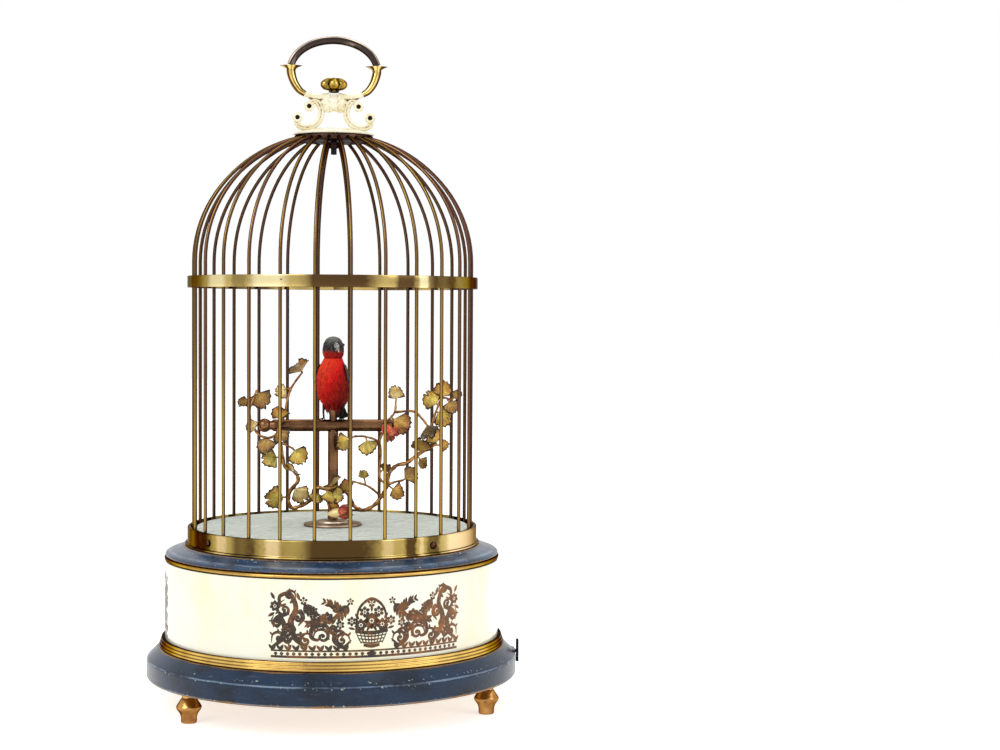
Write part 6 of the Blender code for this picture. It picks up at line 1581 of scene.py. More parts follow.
@dataclass
class Crown:
    """The cream casting with its scrolls, the arms, the rosette and the carry handle.

    The casting's heights are shares of its own height, and the boss's widths shares of its half width.
    """

    base: float = 255.3
    half: float = 5.6
    tall: float = 18.6
    collar: Outline = ((0.0, 0.0), (18.3, 0.0), (18.3, 0.87), (16.5, 1.3), (10.1, 2.9), (0.0, 3.1))
    stud: Outline = ((0.0, -8.4), (1.3, -8.4), (1.3, -0.4), (0.0, -0.4))
    scroll_width: float = 3.0
    scroll_depth: float = 4.2
    eye_radius: float = 2.3
    eye_hole: float = 0.85
    eye_proud: float = 0.25
    eye_shade_half: float = 1.1
    scroll: Outline = (
        (4.6, 0.80), (2.4, 0.83), (0.7, 0.72), (0.0, 0.55), (0.9, 0.37), (3.4, 0.24), (6.8, 0.19), (10.2, 0.24),
        (11.2, 0.34),
    )
    swells: tuple[float, ...] = (0.8, 0.9, 1.0, 1.0, 1.0, 1.0, 1.0, 0.95, 0.8)
    eyes: Outline = ((5.4, 0.70), (10.6, 0.43))
    root: Outline = ((2.0, 0.945), (6.0, 0.925), (10.0, 0.945), (12.95, 1.0))
    root_wide: Flat = (1.75, 1.28)
    root_deep: Flat = (2.3, 1.7)
    boss: Outline = (
        (-0.95, 0.88), (-0.6, 0.99), (0.6, 0.99), (0.95, 0.88), (1.1, 0.74), (0.85, 0.58), (0.4, 0.55), (0.0, 0.60),
        (-0.4, 0.55), (-0.85, 0.58), (-1.1, 0.74),
    )
    boss_shares: tuple[float, ...] = (0.02, 0.2, 0.4, 0.6, 0.78, 0.9, 0.97, 1.0)
    rosette: Outline = (
        (0.0, 0.0), (0.34, 0.0), (0.36, 0.16), (0.78, 0.24), (1.0, 0.46), (0.98, 0.72), (0.66, 0.96), (0.30, 0.99),
        (0.0, 0.92),
    )
    rosette_low: float = 274.57
    rosette_radius: float = 6.6
    rosette_height: float = 6.9
    lobes: int = 6
    arm_start: float = 12.9
    arm_end: float = 19.12
    arm_climb: float = 12.8
    arm_path: Outline = ((0.0, 0.0), (0.42, 0.14), (0.80, 0.42), (1.0, 0.74), (1.0, 0.86), (1.0, 0.98828125))
    arm_half: Flat = (3.8, 3.0)
    arm_wide: tuple[float, ...] = (0.34, 0.42, 0.47, 0.53, 0.55, 1.0)
    arm_deep: tuple[float, ...] = (0.57, 0.63, 0.70, 0.77, 0.80, 1.0)
    cup: float = 0.88
    arch_centre: float = 284.3
    arch_reach: float = 19.5
    arch_rise: float = 13.77
    arch_start: float = 11.28
    arch_half: Flat = (1.85, 2.4)

    def build(self) -> None:
        """Builds the casting and what stands on it."""
        self.build_casting()
        self.build_rosette()
        self.build_arms()
        self.build_handle()
        dress(Finishes.WIRE, "crown_nut")

    def flute(self, angles: np.ndarray, width: float) -> np.ndarray:
        """Gives 1 in the middle of a section's front and back flutes, and less away from them."""
        return np.exp(-((np.abs(np.abs(angles - pi) - pi / 2) / width) ** 2))

    def fluted(self, angles: np.ndarray, share: float) -> np.ndarray:
        """Gives a section with a flute along its front and its back."""
        return 1.0 - 0.20 * self.flute(angles, 0.32)

    def in_flute(self, angles: np.ndarray, share: float) -> np.ndarray:
        """Marks where the flute lies, for the dirt, the painted shade and the rubbed ground in it."""
        return 0.9 * self.flute(angles, 0.30)

    def cup_section(self, angles: np.ndarray, share: float) -> np.ndarray:
        """Gives an arm's section: round below, then with six shallow hollows and, in the cup, two spurs."""
        hollows = 0.07 * np.abs(np.sin(angles * 3)) * (share > 0.55)
        return 1.0 - hollows + 0.34 * np.abs(np.cos(angles)) ** 5 * max(share - self.cup, 0.0) / (1.0 - self.cup)

    def squared(self, angles: np.ndarray, share: float) -> np.ndarray:
        """Gives the handle's section, between an oval and a rectangle."""
        corner = np.abs(np.cos(angles)) ** 3 + np.abs(np.sin(angles)) ** 3
        return 1.0 / np.maximum(corner, 0.3) ** (1 / 3) * 0.92

    def build_casting(self) -> None:
        """Builds the collar, the stud, the scrolls, the leaf boss and the arms' roots."""
        shape = Shape()
        for outline, corner, steps, sides, finish in ((self.collar, 0.35, 3, 128, 0), (self.stud, 0.3, 2, 20, 1)):
            raised = [(radius, self.base + z) for radius, z in outline]
            shape.turned(eased(raised, corner, steps, closed=False), sides, closed=False, finish=finish)
        for side in (-1, 1):
            line = self.run(side, self.scroll, self.half)
            swell = np.interp(np.linspace(0, 1, len(line)), np.linspace(0, 1, len(self.swells)), self.swells)
            wide, deep = swell * self.scroll_width / 2, swell * self.scroll_depth / 2
            shape.tube(line, wide, deep, 24, (0, 1, 0), section=self.fluted, hollow=self.in_flute)
            for x, z in self.eyes:
                self.add_eye(shape, side * (self.half + x), self.base + z * self.tall)
            self.add_root(shape, side)
        self.add_boss(shape)
        finishes = [Finishes.CROWN, Finishes.BLACK]
        shape.piece("cream_crown", finishes, Body.CASE, Slot.CREAM_ENAMEL, ["crown_casting"], 50.0)

    def run(self, side: int, points: Outline, start: float) -> np.ndarray:
        """Runs a curve through points of reach and share of height.

        Args:
            side: -1 for the left and 1 for the right.
            points: the points.
            start: how far from the axis the reach is measured.

        Returns:
            The curve's points.
        """
        return smooth([(side * (start + x), 0.0, self.base + z * self.tall) for x, z in points], 5)

    def add_root(self, shape: Shape, side: int) -> None:
        """Adds the root that one arm stands on, worn and painted in shade on its inner side.

        Args:
            shape: the casting's shape.
            side: -1 for the left and 1 for the right.
        """

        # the inner side is marked for dirt, painted shade and rubbed ground
        def worn(angles: np.ndarray, share: float) -> np.ndarray:
            """Marks the inner side, up to the arm."""
            return 1.0 * (-side * np.cos(angles) < -0.55) * (share < 0.8)

        line = self.run(side, self.root, 0.0)
        wide, deep = np.linspace(*self.root_wide, len(line)), np.linspace(*self.root_deep, len(line))
        shape.tube(line, wide, deep, 24, (0, 1, 0), domed=False, hollow=worn)

    def add_eye(self, shape: Shape, x: float, z: float) -> None:
        """Adds a scroll's rolled eye with its hole, whose rim takes dirt and painted shade, and a black disc of painted
        shade inside the hole.

        Args:
            shape: the casting's shape.
            x: how far to the right its middle lies.
            z: how high its middle lies.
        """
        first = len(shape.points)
        hole, proud, floor = self.eye_hole, self.scroll_depth / 2 + self.eye_proud, self.eye_shade_half
        ring = [(hole, -proud), (self.eye_radius, -proud), (self.eye_radius, proud), (hole, proud)]
        shape.turned(eased(ring, 0.7, 4), 32)
        # the hole's rim is marked for dirt, painted shade and rubbed ground
        near = np.hypot(shape.points[first][:, 0], shape.points[first][:, 1]) < hole + 0.35
        shape.marks[first][:, 2] = near * 1.0
        # a black disc inside the hole: painted shade, so the hole reads as dark
        hole_shade_disc = np.array([(0.0, -floor), (hole + 0.1, -floor), (hole + 0.1, floor), (0.0, floor)])
        shape.turned(hole_shade_disc, 24, closed=False, finish=1)
        shape.moved(Matrix.Translation((x, 0.0, z)) @ Matrix.Rotation(pi / 2, 4, "X"), first)

    def add_boss(self, shape: Shape) -> None:
        """Adds the leaf boss: a swelling block with lobes on both faces, whose veins are dark lines of dirt and painted
        shade in the hollows.

        Args:
            shape: the casting's shape.
        """
        outline = eased([(x * self.half, z * self.tall + self.base) for x, z in self.boss], 1.0, 3)
        middle = outline.mean(axis=0)
        faces = [(1.0, share) for share in self.boss_shares] + [(-1.0, share) for share in self.boss_shares[::-1]]
        rows, marks = [], []
        for face, share in faces:
            ring = middle + (outline - middle) * share
            across = (ring[:, 0] - middle[0]) / self.half
            lobe = np.abs(np.cos(1.5 * pi * np.clip(across, -0.98, 0.98))) ** 0.55
            depth = 1.3 + (1.0 - share**4) * (0.35 + 1.75 * lobe)
            rows.append(np.stack([ring[:, 0], face * depth, ring[:, 1]], 1))
            # hollows between the lobes and the lower corners are marked for dirt, painted shade and rubbed ground
            corner = np.clip(np.abs(across) * 1.6 - 0.75, 0.0, 1.0) * (ring[:, 1] < middle[1] + 0.5)
            hollow = np.clip((1.0 - lobe) ** 3 * 0.9 + corner, 0.0, 1.0) * (share > 0.3)
            marks.append(np.stack([np.full(len(ring), share), lobe, hollow], 1))
        shape.skin(np.array(rows), mark=np.array(marks))

    def lobed(self, angle: float, radius: float, high: float) -> float:
        """Finds the rosette's share of its radius, on and between its lobes.

        Args:
            angle: the place round it.
            radius: the outline's radius there.
            high: the height.

        Returns:
            The share, which is 1 all round on the neck.
        """
        if radius < 0.36 * self.rosette_radius and high < self.rosette_low + 1.5:
            return 1.0
        return 1.0 - 0.34 * (1.0 - abs(sin(self.lobes * angle / 2)) ** 0.6)

    def build_rosette(self) -> None:
        """Builds the lobed knob, whose lobes droop at their rims and are dark between."""
        profile = eased(self.rosette, 0.16, 5, closed=False) * (self.rosette_radius, self.rosette_height)
        shape = Shape()
        shape.turned(profile + (0.0, self.rosette_low), 160, closed=False, swell=self.lobed)
        spots = shape.points[0]
        turn = np.arctan2(spots[:, 1], spots[:, 0])
        groove = 1.0 - np.abs(np.sin(self.lobes * turn / 2)) ** 0.6
        share = (spots[:, 2] - self.rosette_low) / self.rosette_height
        out = np.hypot(spots[:, 0], spots[:, 1]) / self.rosette_radius
        spots[:, 2] -= np.clip(share - 0.4, 0.0, 1.0) * out * (groove * 3.4 + 1.2)
        ribs = np.abs(np.sin(self.lobes * turn * 1.5)) ** 6 * 0.35
        dark = np.clip((groove - 0.42) * 2.6, 0.0, 0.95) + ribs + np.clip(1.6 - out * 2.6, 0.0, 0.9) * (share < 0.3)
        shape.marks[0][:, 2] = np.clip(dark, 0.0, 0.95)
        shape.piece("gilt_rosette", [Finishes.ROSETTE], Body.CASE, Slot.GILT, ["rosette_knob"], 50.0)

    def build_arms(self) -> None:
        """Builds the two arms with their flared cups."""
        span, low = self.arm_end - self.arm_start, self.base + self.tall
        for side, node in ((-1, "handle_arm_left"), (1, "handle_arm_right")):
            path = [(side * (self.arm_start + x * span), 0.0, low + z * self.arm_climb) for x, z in self.arm_path]
            line = smooth(path, 4)
            at, places = np.linspace(0, 1, len(line)), np.linspace(0, 1, len(self.arm_path))
            wide = np.interp(at, places, self.arm_wide) * self.arm_half[0]
            deep = np.interp(at, places, self.arm_deep) * self.arm_half[1]
            shape = Shape()
            shape.tube(line, wide, deep, 32, (0, 1, 0), domed=False, section=self.cup_section)
            shape.piece("gilt_" + node, [Finishes.ARM], Body.CASE, Slot.GILT, [node], 50.0)

    def build_handle(self) -> None:
        """Bends the handle's arch."""
        turns = np.radians(np.linspace(self.arch_start, 180.0 - self.arch_start, 56))
        path = [(self.arch_reach * cos(turn), 0.0, self.arch_centre + self.arch_rise * sin(turn)) for turn in turns]
        shape = Shape()
        shape.tube(path, *self.arch_half, 20, (0, 1, 0), domed=False, section=self.squared)
        shape.piece("bronze_handle", [Finishes.HANDLE], Body.CASE, Slot.WIRE_BRASS, ["carry_handle"], 50.0)


@dataclass
class Perch:
    """The post with its flange and the perch bar."""

    post: Outline = (
        (2.05, 74.8), (2.35, 74.8), (2.35, 80.1), (13.2, 80.1), (12.8, 81.0), (7.2, 81.2), (6.9, 82.2), (2.35, 82.7),
        (2.35, 122.35), (2.05, 122.35),
    )
    flange_top: float = 82.7
    level: float = 125.1
    bar: float = 2.7
    ball: float = 3.1
    reach: float = 30.7
    shoulder: float = 12.0

    def build(self) -> None:
        """Turns the post and the bar."""
        post = Shape()
        post.turned(eased(self.post, 0.3, 3), 64)
        # faces below the flange's top take the paler flange finish, a painted reflection
        post.finish_of = [int(post.points[0][face[0]][2] < self.flange_top) for face in post.faces]
        finishes = [Finishes.PERCH, Finishes.FLANGE]
        post.piece("turned_post", finishes, Body.CASE, Slot.PERCH_BRONZE, ["perch_post"], 34.0)
        ball, bar, reach = self.ball, self.bar, self.reach
        half = [(ball * sin(turn), reach + ball * cos(turn)) for turn in np.radians(np.linspace(0, 140, 12))]
        for radius, share in ((0.75, 1.0), (0.97, 1.25), (1.0, 1.5)):
            half.append((radius * bar, reach - share * ball))
        half.append((bar, reach - self.shoulder))
        shape = Shape()
        shape.turned(np.array(half + [(radius, -along) for radius, along in half[::-1]]), 40, closed=False)
        shape.moved(Matrix.Translation((0.0, 0.0, self.level)) @ Matrix.Rotation(pi / 2, 4, "Y"))
        shape.piece("turned_perch_bar", [Finishes.PERCH], Body.CASE, Slot.PERCH_BRONZE, ["perch_bar"], 40.0)


class LeafColour(Enum):
    """A leaf's colours, at its root and at its edge."""

    PALE = (shade(236, 212, 146), shade(212, 176, 104))
    YELLOW = (shade(224, 200, 92), shade(196, 152, 60))
    GREEN = (shade(190, 178, 84), shade(208, 178, 84))
    ORANGE = (shade(222, 176, 84), shade(176, 108, 44))
    BROWN = (shade(176, 134, 62), shade(120, 76, 36))
    DARK = (shade(98, 72, 44), shade(60, 42, 28))
    RED = (shade(224, 40, 54), shade(176, 16, 34))
    CREAM = (shade(252, 228, 166), shade(240, 204, 132))


Stems = dict[str, tuple[Spot, ...]]
Leaf = tuple[str, float, Spot, float, float, LeafColour]
Bud = tuple[Spot, float, float, float, LeafColour]


@dataclass
class Spray:
    """A spray of twisted stems with fan-shaped lacquered leaves and a bud."""

    name: str
    node: str
    stems: Stems
    leaves: tuple[Leaf, ...]
    buds: tuple[Bud, ...]
    floor: float = 79.8
    spread: float = 61.15 / 61.0
    trunk: float = 0.9
    twig: float = 0.55
    thick: float = 0.34
    slender: float = 0.80
    cup: Outline = ((0.0, -0.5), (0.28, -0.44), (0.62, -0.24), (0.68, 0.0), (0.5, 0.22), (0.0, 0.26))
    cup_mark: Spot = (0.1, 0.058, 0.9)
    petal_layers: tuple[Spot, ...] = ((0.04, 0.50, 0.62), (-0.06, 0.36, 1.0))
    petals: int = 5

    def spot(self, point: Spot) -> np.ndarray:
        """Gives a drawn point's place in the cage."""
        return np.array((point[0] * self.spread, point[1], self.floor + point[2]))

    def build(self) -> None:
        """Bends the stems and solders the leaves and buds to them."""
        shape = Shape()
        lines = {stem: [self.spot(point) for point in points] for stem, points in self.stems.items()}
        for stem, line in lines.items():
            self.add_stem(shape, line, self.trunk if stem == "trunk" else self.twig)
        for index, (stem, along, middle, width, lean, colour) in enumerate(self.leaves):
            line = smooth(lines[stem], 10)
            root = line[min(round(along * 10), len(line) - 1)]
            self.add_leaf(shape, root, self.spot(middle), width * self.spread, lean, colour, index)
        for middle, radius, length, heading, petals in self.buds:
            self.add_bud(shape, self.spot(middle), radius, length, heading, petals)
        finishes = [Finishes.STEM, Finishes.LEAF, Finishes.BUD]
        shape.piece(self.name, finishes, Body.CASE, Slot.LEAF_ENAMEL, [self.node], 55.0)

    def add_stem(self, shape: Shape, line: Sequence[np.ndarray], radius: float) -> None:
        """Adds a stem with a twist along it and knots where it was bent.

        Args:
            shape: the spray's shape.
            line: the points that it runs through.
            radius: its radius at the root.
        """
        path = smooth(line, 8)
        along = np.concatenate([[0.0], np.cumsum(np.linalg.norm(np.diff(path, axis=0), axis=1))])
        knots = 1.0 + 0.16 * np.sin(along * 1.25) ** 8 + 0.05 * np.sin(along * 2.9)
        length = along[-1]

        def twisted(angles: np.ndarray, share: float) -> np.ndarray:
            """Gives an oval section that turns as it goes along."""
            return 1.0 + 0.14 * np.cos(2 * angles + share * length * 1.5)

        shape.tube(path, radius * knots * np.interp(along, (0.0, length), (1.0, 0.82)), sides=12, section=twisted)

    def add_leaf(
        self,
        shape: Shape,
        root: np.ndarray,
        middle: np.ndarray,
        width: float,
        lean: float,
        colour: LeafColour,
        index: int,
    ) -> None:
        """Adds one fan-shaped leaf with its stalk, ribs and scalloped edge.

        Args:
            shape: the spray's shape.
            root: where the stalk leaves its stem.
            middle: the leaf's middle.
            width: the leaf's width.
            lean: how far it is turned about its length, in degrees.
            colour: its two colours.
            index: its number in the spray, which sets its chance marks.
        """
        reach = middle - root
        away = float(np.linalg.norm(reach))
        along = reach / away
        length = self.slender * width
        base = root + along * max(away - 0.46 * length, 0.12 * away)
        facing = np.array((0.0, -1.0, 0.0))
        facing -= along * (along @ facing)
        facing /= np.linalg.norm(facing)
        side = np.array(Matrix.Rotation(radians(lean), 3, along.tolist())) @ np.cross(along, facing)
        normal = np.cross(along, side)
        chance = np.random.default_rng(40 + index).random(4)
        part = np.linspace(0.0, 1.0, 6)
        end = base + along * length * 0.18
        stalk = root + np.outer(part, end - root) + np.outer(np.sin(part * pi) * 0.3, normal)
        shape.tube(stalk, np.linspace(0.46, 0.34, 6), sides=8)
        shares, turns = np.linspace(0.0, 1.0, 12), np.linspace(-1.0, 1.0, 55)
        share, turn = np.meshgrid(shares, turns, indexing="ij")
        teeth = np.abs(np.sin(turn * pi * (3.5 + chance[0]) + chance[2] * 3.0)) ** 0.8
        cleft = np.exp(-(((turn - 0.5 * (chance[1] - 0.5)) / 0.06) ** 2)) * (0.10 + 0.26 * chance[0])
        edge = 1.0 - (0.10 * teeth + cleft) * share**4
        fan = turn * radians(70.0 + 18.0 * chance[3])
        forward = share * np.cos(fan) * edge
        beside = 0.55 * share * np.sin(fan) * edge
        cup = 0.10 * (turn**2 - 0.3) * share + 0.12 * (chance[1] - 0.3) * share**2
        ribs = 0.016 * np.abs(np.sin(turn * pi * 4.5)) * np.sin(share * pi * 0.9)
        curl = 0.08 * np.sin(turn * 6.0 + chance[2] * 6.0) * share**3
        grid = (
            base + (forward * length)[..., None] * along + (beside * width)[..., None] * side
            + ((cup + ribs + curl) * width)[..., None] * normal
        )
        mark = np.stack([share, turn, np.full_like(share, chance[3])], -1)
        tint, tip = colour.value
        shape.plate(grid, self.thick, mark, finish=1, tint=tint, tip=tip)

    def add_bud(
        self, shape: Shape, middle: np.ndarray, radius: float, length: float, heading: float, petals: LeafColour
    ) -> None:
        """Adds a flower: a pointed cup that opens into two rows of ruffled red petals.

        Args:
            shape: the spray's shape.
            middle: the bud's middle.
            radius: its radius.
            length: its length.
            heading: how far it leans, in degrees.
            petals: the cup's colours.
        """
        first = len(shape.points)
        profile = eased(self.cup, 0.12, 4, closed=False) * (radius, length)
        tint, tip = petals.value
        shape.turned(profile, 60, closed=False, finish=2, tint=tint, tip=tip)
        shape.marks[-1][:] = self.cup_mark
        tint, tip = LeafColour.RED.value
        share, side = np.meshgrid(np.linspace(0, 1, 7), np.linspace(-1, 1, 11), indexing="ij")
        open_out = np.interp(share, (0.0, 0.5, 1.0), (0.6, 0.98, 0.9))
        for layer, (low, high, spread) in enumerate(self.petal_layers):
            for petal in range(self.petals):
                turn = 2 * pi * (petal + 0.5 * layer) / self.petals
                ruffle = 0.07 * np.cos(side * 8.0 + petal) * share
                reach = (open_out * spread + ruffle) * radius
                at = turn + side * 0.66 * np.sin(0.5 + share * 1.9)
                rise = (low + (high - low) * share + ruffle * 0.6) * length
                grid = np.stack([reach * np.cos(at), reach * np.sin(at), rise], -1)
                mark = np.stack([share, side, np.full_like(share, petal / self.petals)], -1)
                shape.plate(grid, 0.2, mark, finish=2, tint=tint, tip=tip)
        turn = Matrix.Translation(middle.tolist()) @ Matrix.Rotation(radians(heading), 4, "Y")
        shape.moved(turn, first)


LEFT_STEMS: Stems = {
    "trunk": (
        (2.0, -3.9, 18.0), (-2.6, -4.1, 17.0), (-7.8, -2.6, 17.0), (-10.2, -1.0, 11.5), (-15.0, 0.0, 8.7),
        (-18.4, 0.5, 7.9), (-20.0, 0.0, 11.2), (-19.1, -0.5, 15.7), (-15.6, -1.0, 20.5), (-17.4, -1.5, 24.7),
        (-21.5, -1.6, 26.8), (-22.6, -2.2, 31.6), (-23.6, -3.2, 37.8), (-24.7, -4.2, 42.0), (-23.4, -4.4, 46.4),
        (-21.4, -3.6, 50.4),
    ),
    "crest": ((-21.4, -3.6, 50.4), (-20.6, -2.0, 56.4), (-18.5, -1.0, 62.6), (-13.9, 0.0, 69.2)),
    "outer_twig": (
        (-24.7, -4.2, 42.0), (-28.4, -4.4, 40.0), (-33.2, -3.4, 41.4), (-36.2, -1.6, 46.4), (-37.2, -1.0, 52.4),
        (-34.3, 0.0, 61.0),
    ),
    "inner_twig": ((-23.6, -3.2, 37.8), (-20.8, -3.0, 36.6), (-17.8, -2.6, 34.9)),
    "root_twig": ((-2.6, -4.1, 17.0), (-2.2, -4.6, 10.5), (-1.2, -5.2, 6.2)),
}
RIGHT_STEMS: Stems = {
    "trunk": (
        (3.2, -1.9, 16.7), (7.1, -2.5, 14.2), (9.1, -1.0, 9.3), (13.3, 0.0, 6.8), (18.1, 1.0, 8.6), (21.9, 1.5, 12.8),
        (24.5, 1.0, 18.2), (25.2, 0.0, 23.2), (28.5, -1.0, 27.1), (33.3, -1.5, 28.4), (37.5, -1.0, 31.7),
        (43.7, 0.0, 35.0), (46.5, 0.5, 37.1),
    ),
    "low_twig": ((21.9, 1.5, 12.8), (16.0, 2.0, 17.4), (9.1, 1.0, 19.8)),
    "side_twig": ((24.5, 1.0, 18.2), (28.0, 0.0, 19.6), (31.3, -1.0, 20.4)),
    "riser": (
        (24.5, 1.0, 18.2), (20.9, -0.4, 21.8), (21.4, -1.4, 31.0), (20.6, -3.4, 37.8), (14.6, -3.9, 40.4),
        (9.7, -4.0, 40.6),
    ),
    "branch": (
        (20.6, -3.4, 37.8), (22.4, -4.4, 43.2), (24.6, -4.2, 47.6), (27.6, -2.4, 51.4), (28.2, -1.2, 56.6),
    ),
    "tip_twig": (
        (27.6, -2.4, 51.4), (36.0, -1.6, 51.7), (40.2, -1.0, 48.2), (43.7, -0.6, 44.7), (46.4, 0.0, 51.7),
        (49.2, 0.4, 57.6), (53.6, 0.0, 56.8),
    ),
}
LEFT_LEAVES: tuple[Leaf, ...] = (
    ("crest", 3.0, (-15.2, -4.2, 71.8), 11.0, 12, LeafColour.PALE),
    ("crest", 2.0, (-23.6, -0.6, 60.6), 7.4, 30, LeafColour.PALE),
    ("outer_twig", 4.6, (-40.3, -0.6, 55.6), 6.5, -40, LeafColour.BROWN),
    ("outer_twig", 5.0, (-32.0, 0.6, 56.4), 10.5, 20, LeafColour.BROWN),
    ("trunk", 14.4, (-24.2, -5.6, 51.6), 8.1, -20, LeafColour.ORANGE),
    ("outer_twig", 2.4, (-36.4, -3.6, 45.4), 6.8, 30, LeafColour.PALE),
    ("outer_twig", 1.2, (-29.8, -4.6, 37.6), 9.9, 30, LeafColour.BROWN),
    ("trunk", 13.4, (-23.6, -5.4, 42.0), 9.3, 10, LeafColour.BROWN),
    ("trunk", 11.0, (-28.5, -2.6, 30.4), 9.3, 25, LeafColour.GREEN),
    ("inner_twig", 2.0, (-15.0, -2.8, 31.4), 9.9, -15, LeafColour.YELLOW),
    ("trunk", 9.4, (-18.8, -2.4, 25.6), 8.7, 30, LeafColour.YELLOW),
    ("trunk", 6.4, (-26.4, -0.6, 12.4), 11.8, -20, LeafColour.YELLOW),
    ("trunk", 7.4, (-14.6, -1.4, 14.0), 10.5, 15, LeafColour.PALE),
    ("trunk", 0.6, (0.8, -7.0, 20.6), 8.7, 60, LeafColour.PALE),
    ("trunk", 2.0, (-7.2, -5.4, 12.8), 7.4, -25, LeafColour.GREEN),
    ("trunk", 1.0, (-1.4, -6.4, 13.6), 8.1, -20, LeafColour.YELLOW),
    ("root_twig", 1.0, (0.6, -5.4, 10.2), 6.2, 25, LeafColour.ORANGE),
    ("root_twig", 0.4, (2.4, -6.6, 14.4), 8.0, -15, LeafColour.GREEN),
)
RIGHT_LEAVES: tuple[Leaf, ...] = (
    ("branch", 2.4, (30.6, -5.2, 45.9), 11.8, 10, LeafColour.ORANGE),
    ("branch", 4.0, (27.9, -1.0, 60.4), 8.1, -25, LeafColour.PALE),
    ("tip_twig", 4.4, (44.0, 0.6, 57.6), 9.9, 20, LeafColour.YELLOW),
    ("tip_twig", 5.0, (49.6, 0.8, 62.0), 9.3, -15, LeafColour.ORANGE),
    ("tip_twig", 6.0, (56.0, 0.4, 59.4), 6.0, 30, LeafColour.BROWN),
    ("tip_twig", 5.5, (54.0, -1.6, 53.6), 8.7, -30, LeafColour.BROWN),
    ("tip_twig", 4.0, (50.2, -0.8, 48.8), 10.5, 10, LeafColour.YELLOW),
    ("tip_twig", 2.6, (42.6, -2.2, 44.0), 10.5, 25, LeafColour.DARK),
    ("trunk", 10.3, (39.4, -2.4, 36.6), 9.3, -20, LeafColour.BROWN),
    ("trunk", 12.0, (45.6, -0.6, 40.6), 9.3, 20, LeafColour.ORANGE),
    ("trunk", 11.6, (50.2, 0.2, 36.6), 6.2, -35, LeafColour.ORANGE),
    ("trunk", 10.0, (40.4, -1.8, 28.2), 6.8, 40, LeafColour.BROWN),
    ("side_twig", 2.0, (35.0, -1.6, 23.2), 9.3, -25, LeafColour.BROWN),
    ("trunk", 6.0, (29.2, -0.4, 14.6), 8.1, 20, LeafColour.ORANGE),
    ("riser", 4.0, (15.6, -6.0, 35.6), 9.3, 15, LeafColour.GREEN),
    ("riser", 5.0, (4.6, -5.0, 37.6), 9.3, -20, LeafColour.YELLOW),
    ("riser", 1.2, (24.0, -1.6, 26.6), 5.6, 30, LeafColour.DARK),
    ("low_twig", 1.2, (13.6, 1.2, 23.0), 5.6, -30, LeafColour.GREEN),
    ("trunk", 0.8, (6.0, -4.4, 18.6), 8.1, 20, LeafColour.ORANGE),
)
LEFT_BUDS: tuple[Bud, ...] = (((2.9, -6.0, 6.4), 3.3, 11.0, 82.0, LeafColour.CREAM),)
RIGHT_BUDS: tuple[Bud, ...] = (((24.8, -5.1, 42.8), 3.9, 8.2, 135.0, LeafColour.RED),)


@dataclass(frozen=True)
class WingRow:
    """A row of a wing's feathers: at each end of the row, the roots' and tips' shares of the height and angles."""

    count: int
    root_shares: Flat
    root_angles: Flat
    tip_shares: Flat
    tip_angles: Flat
    width: float


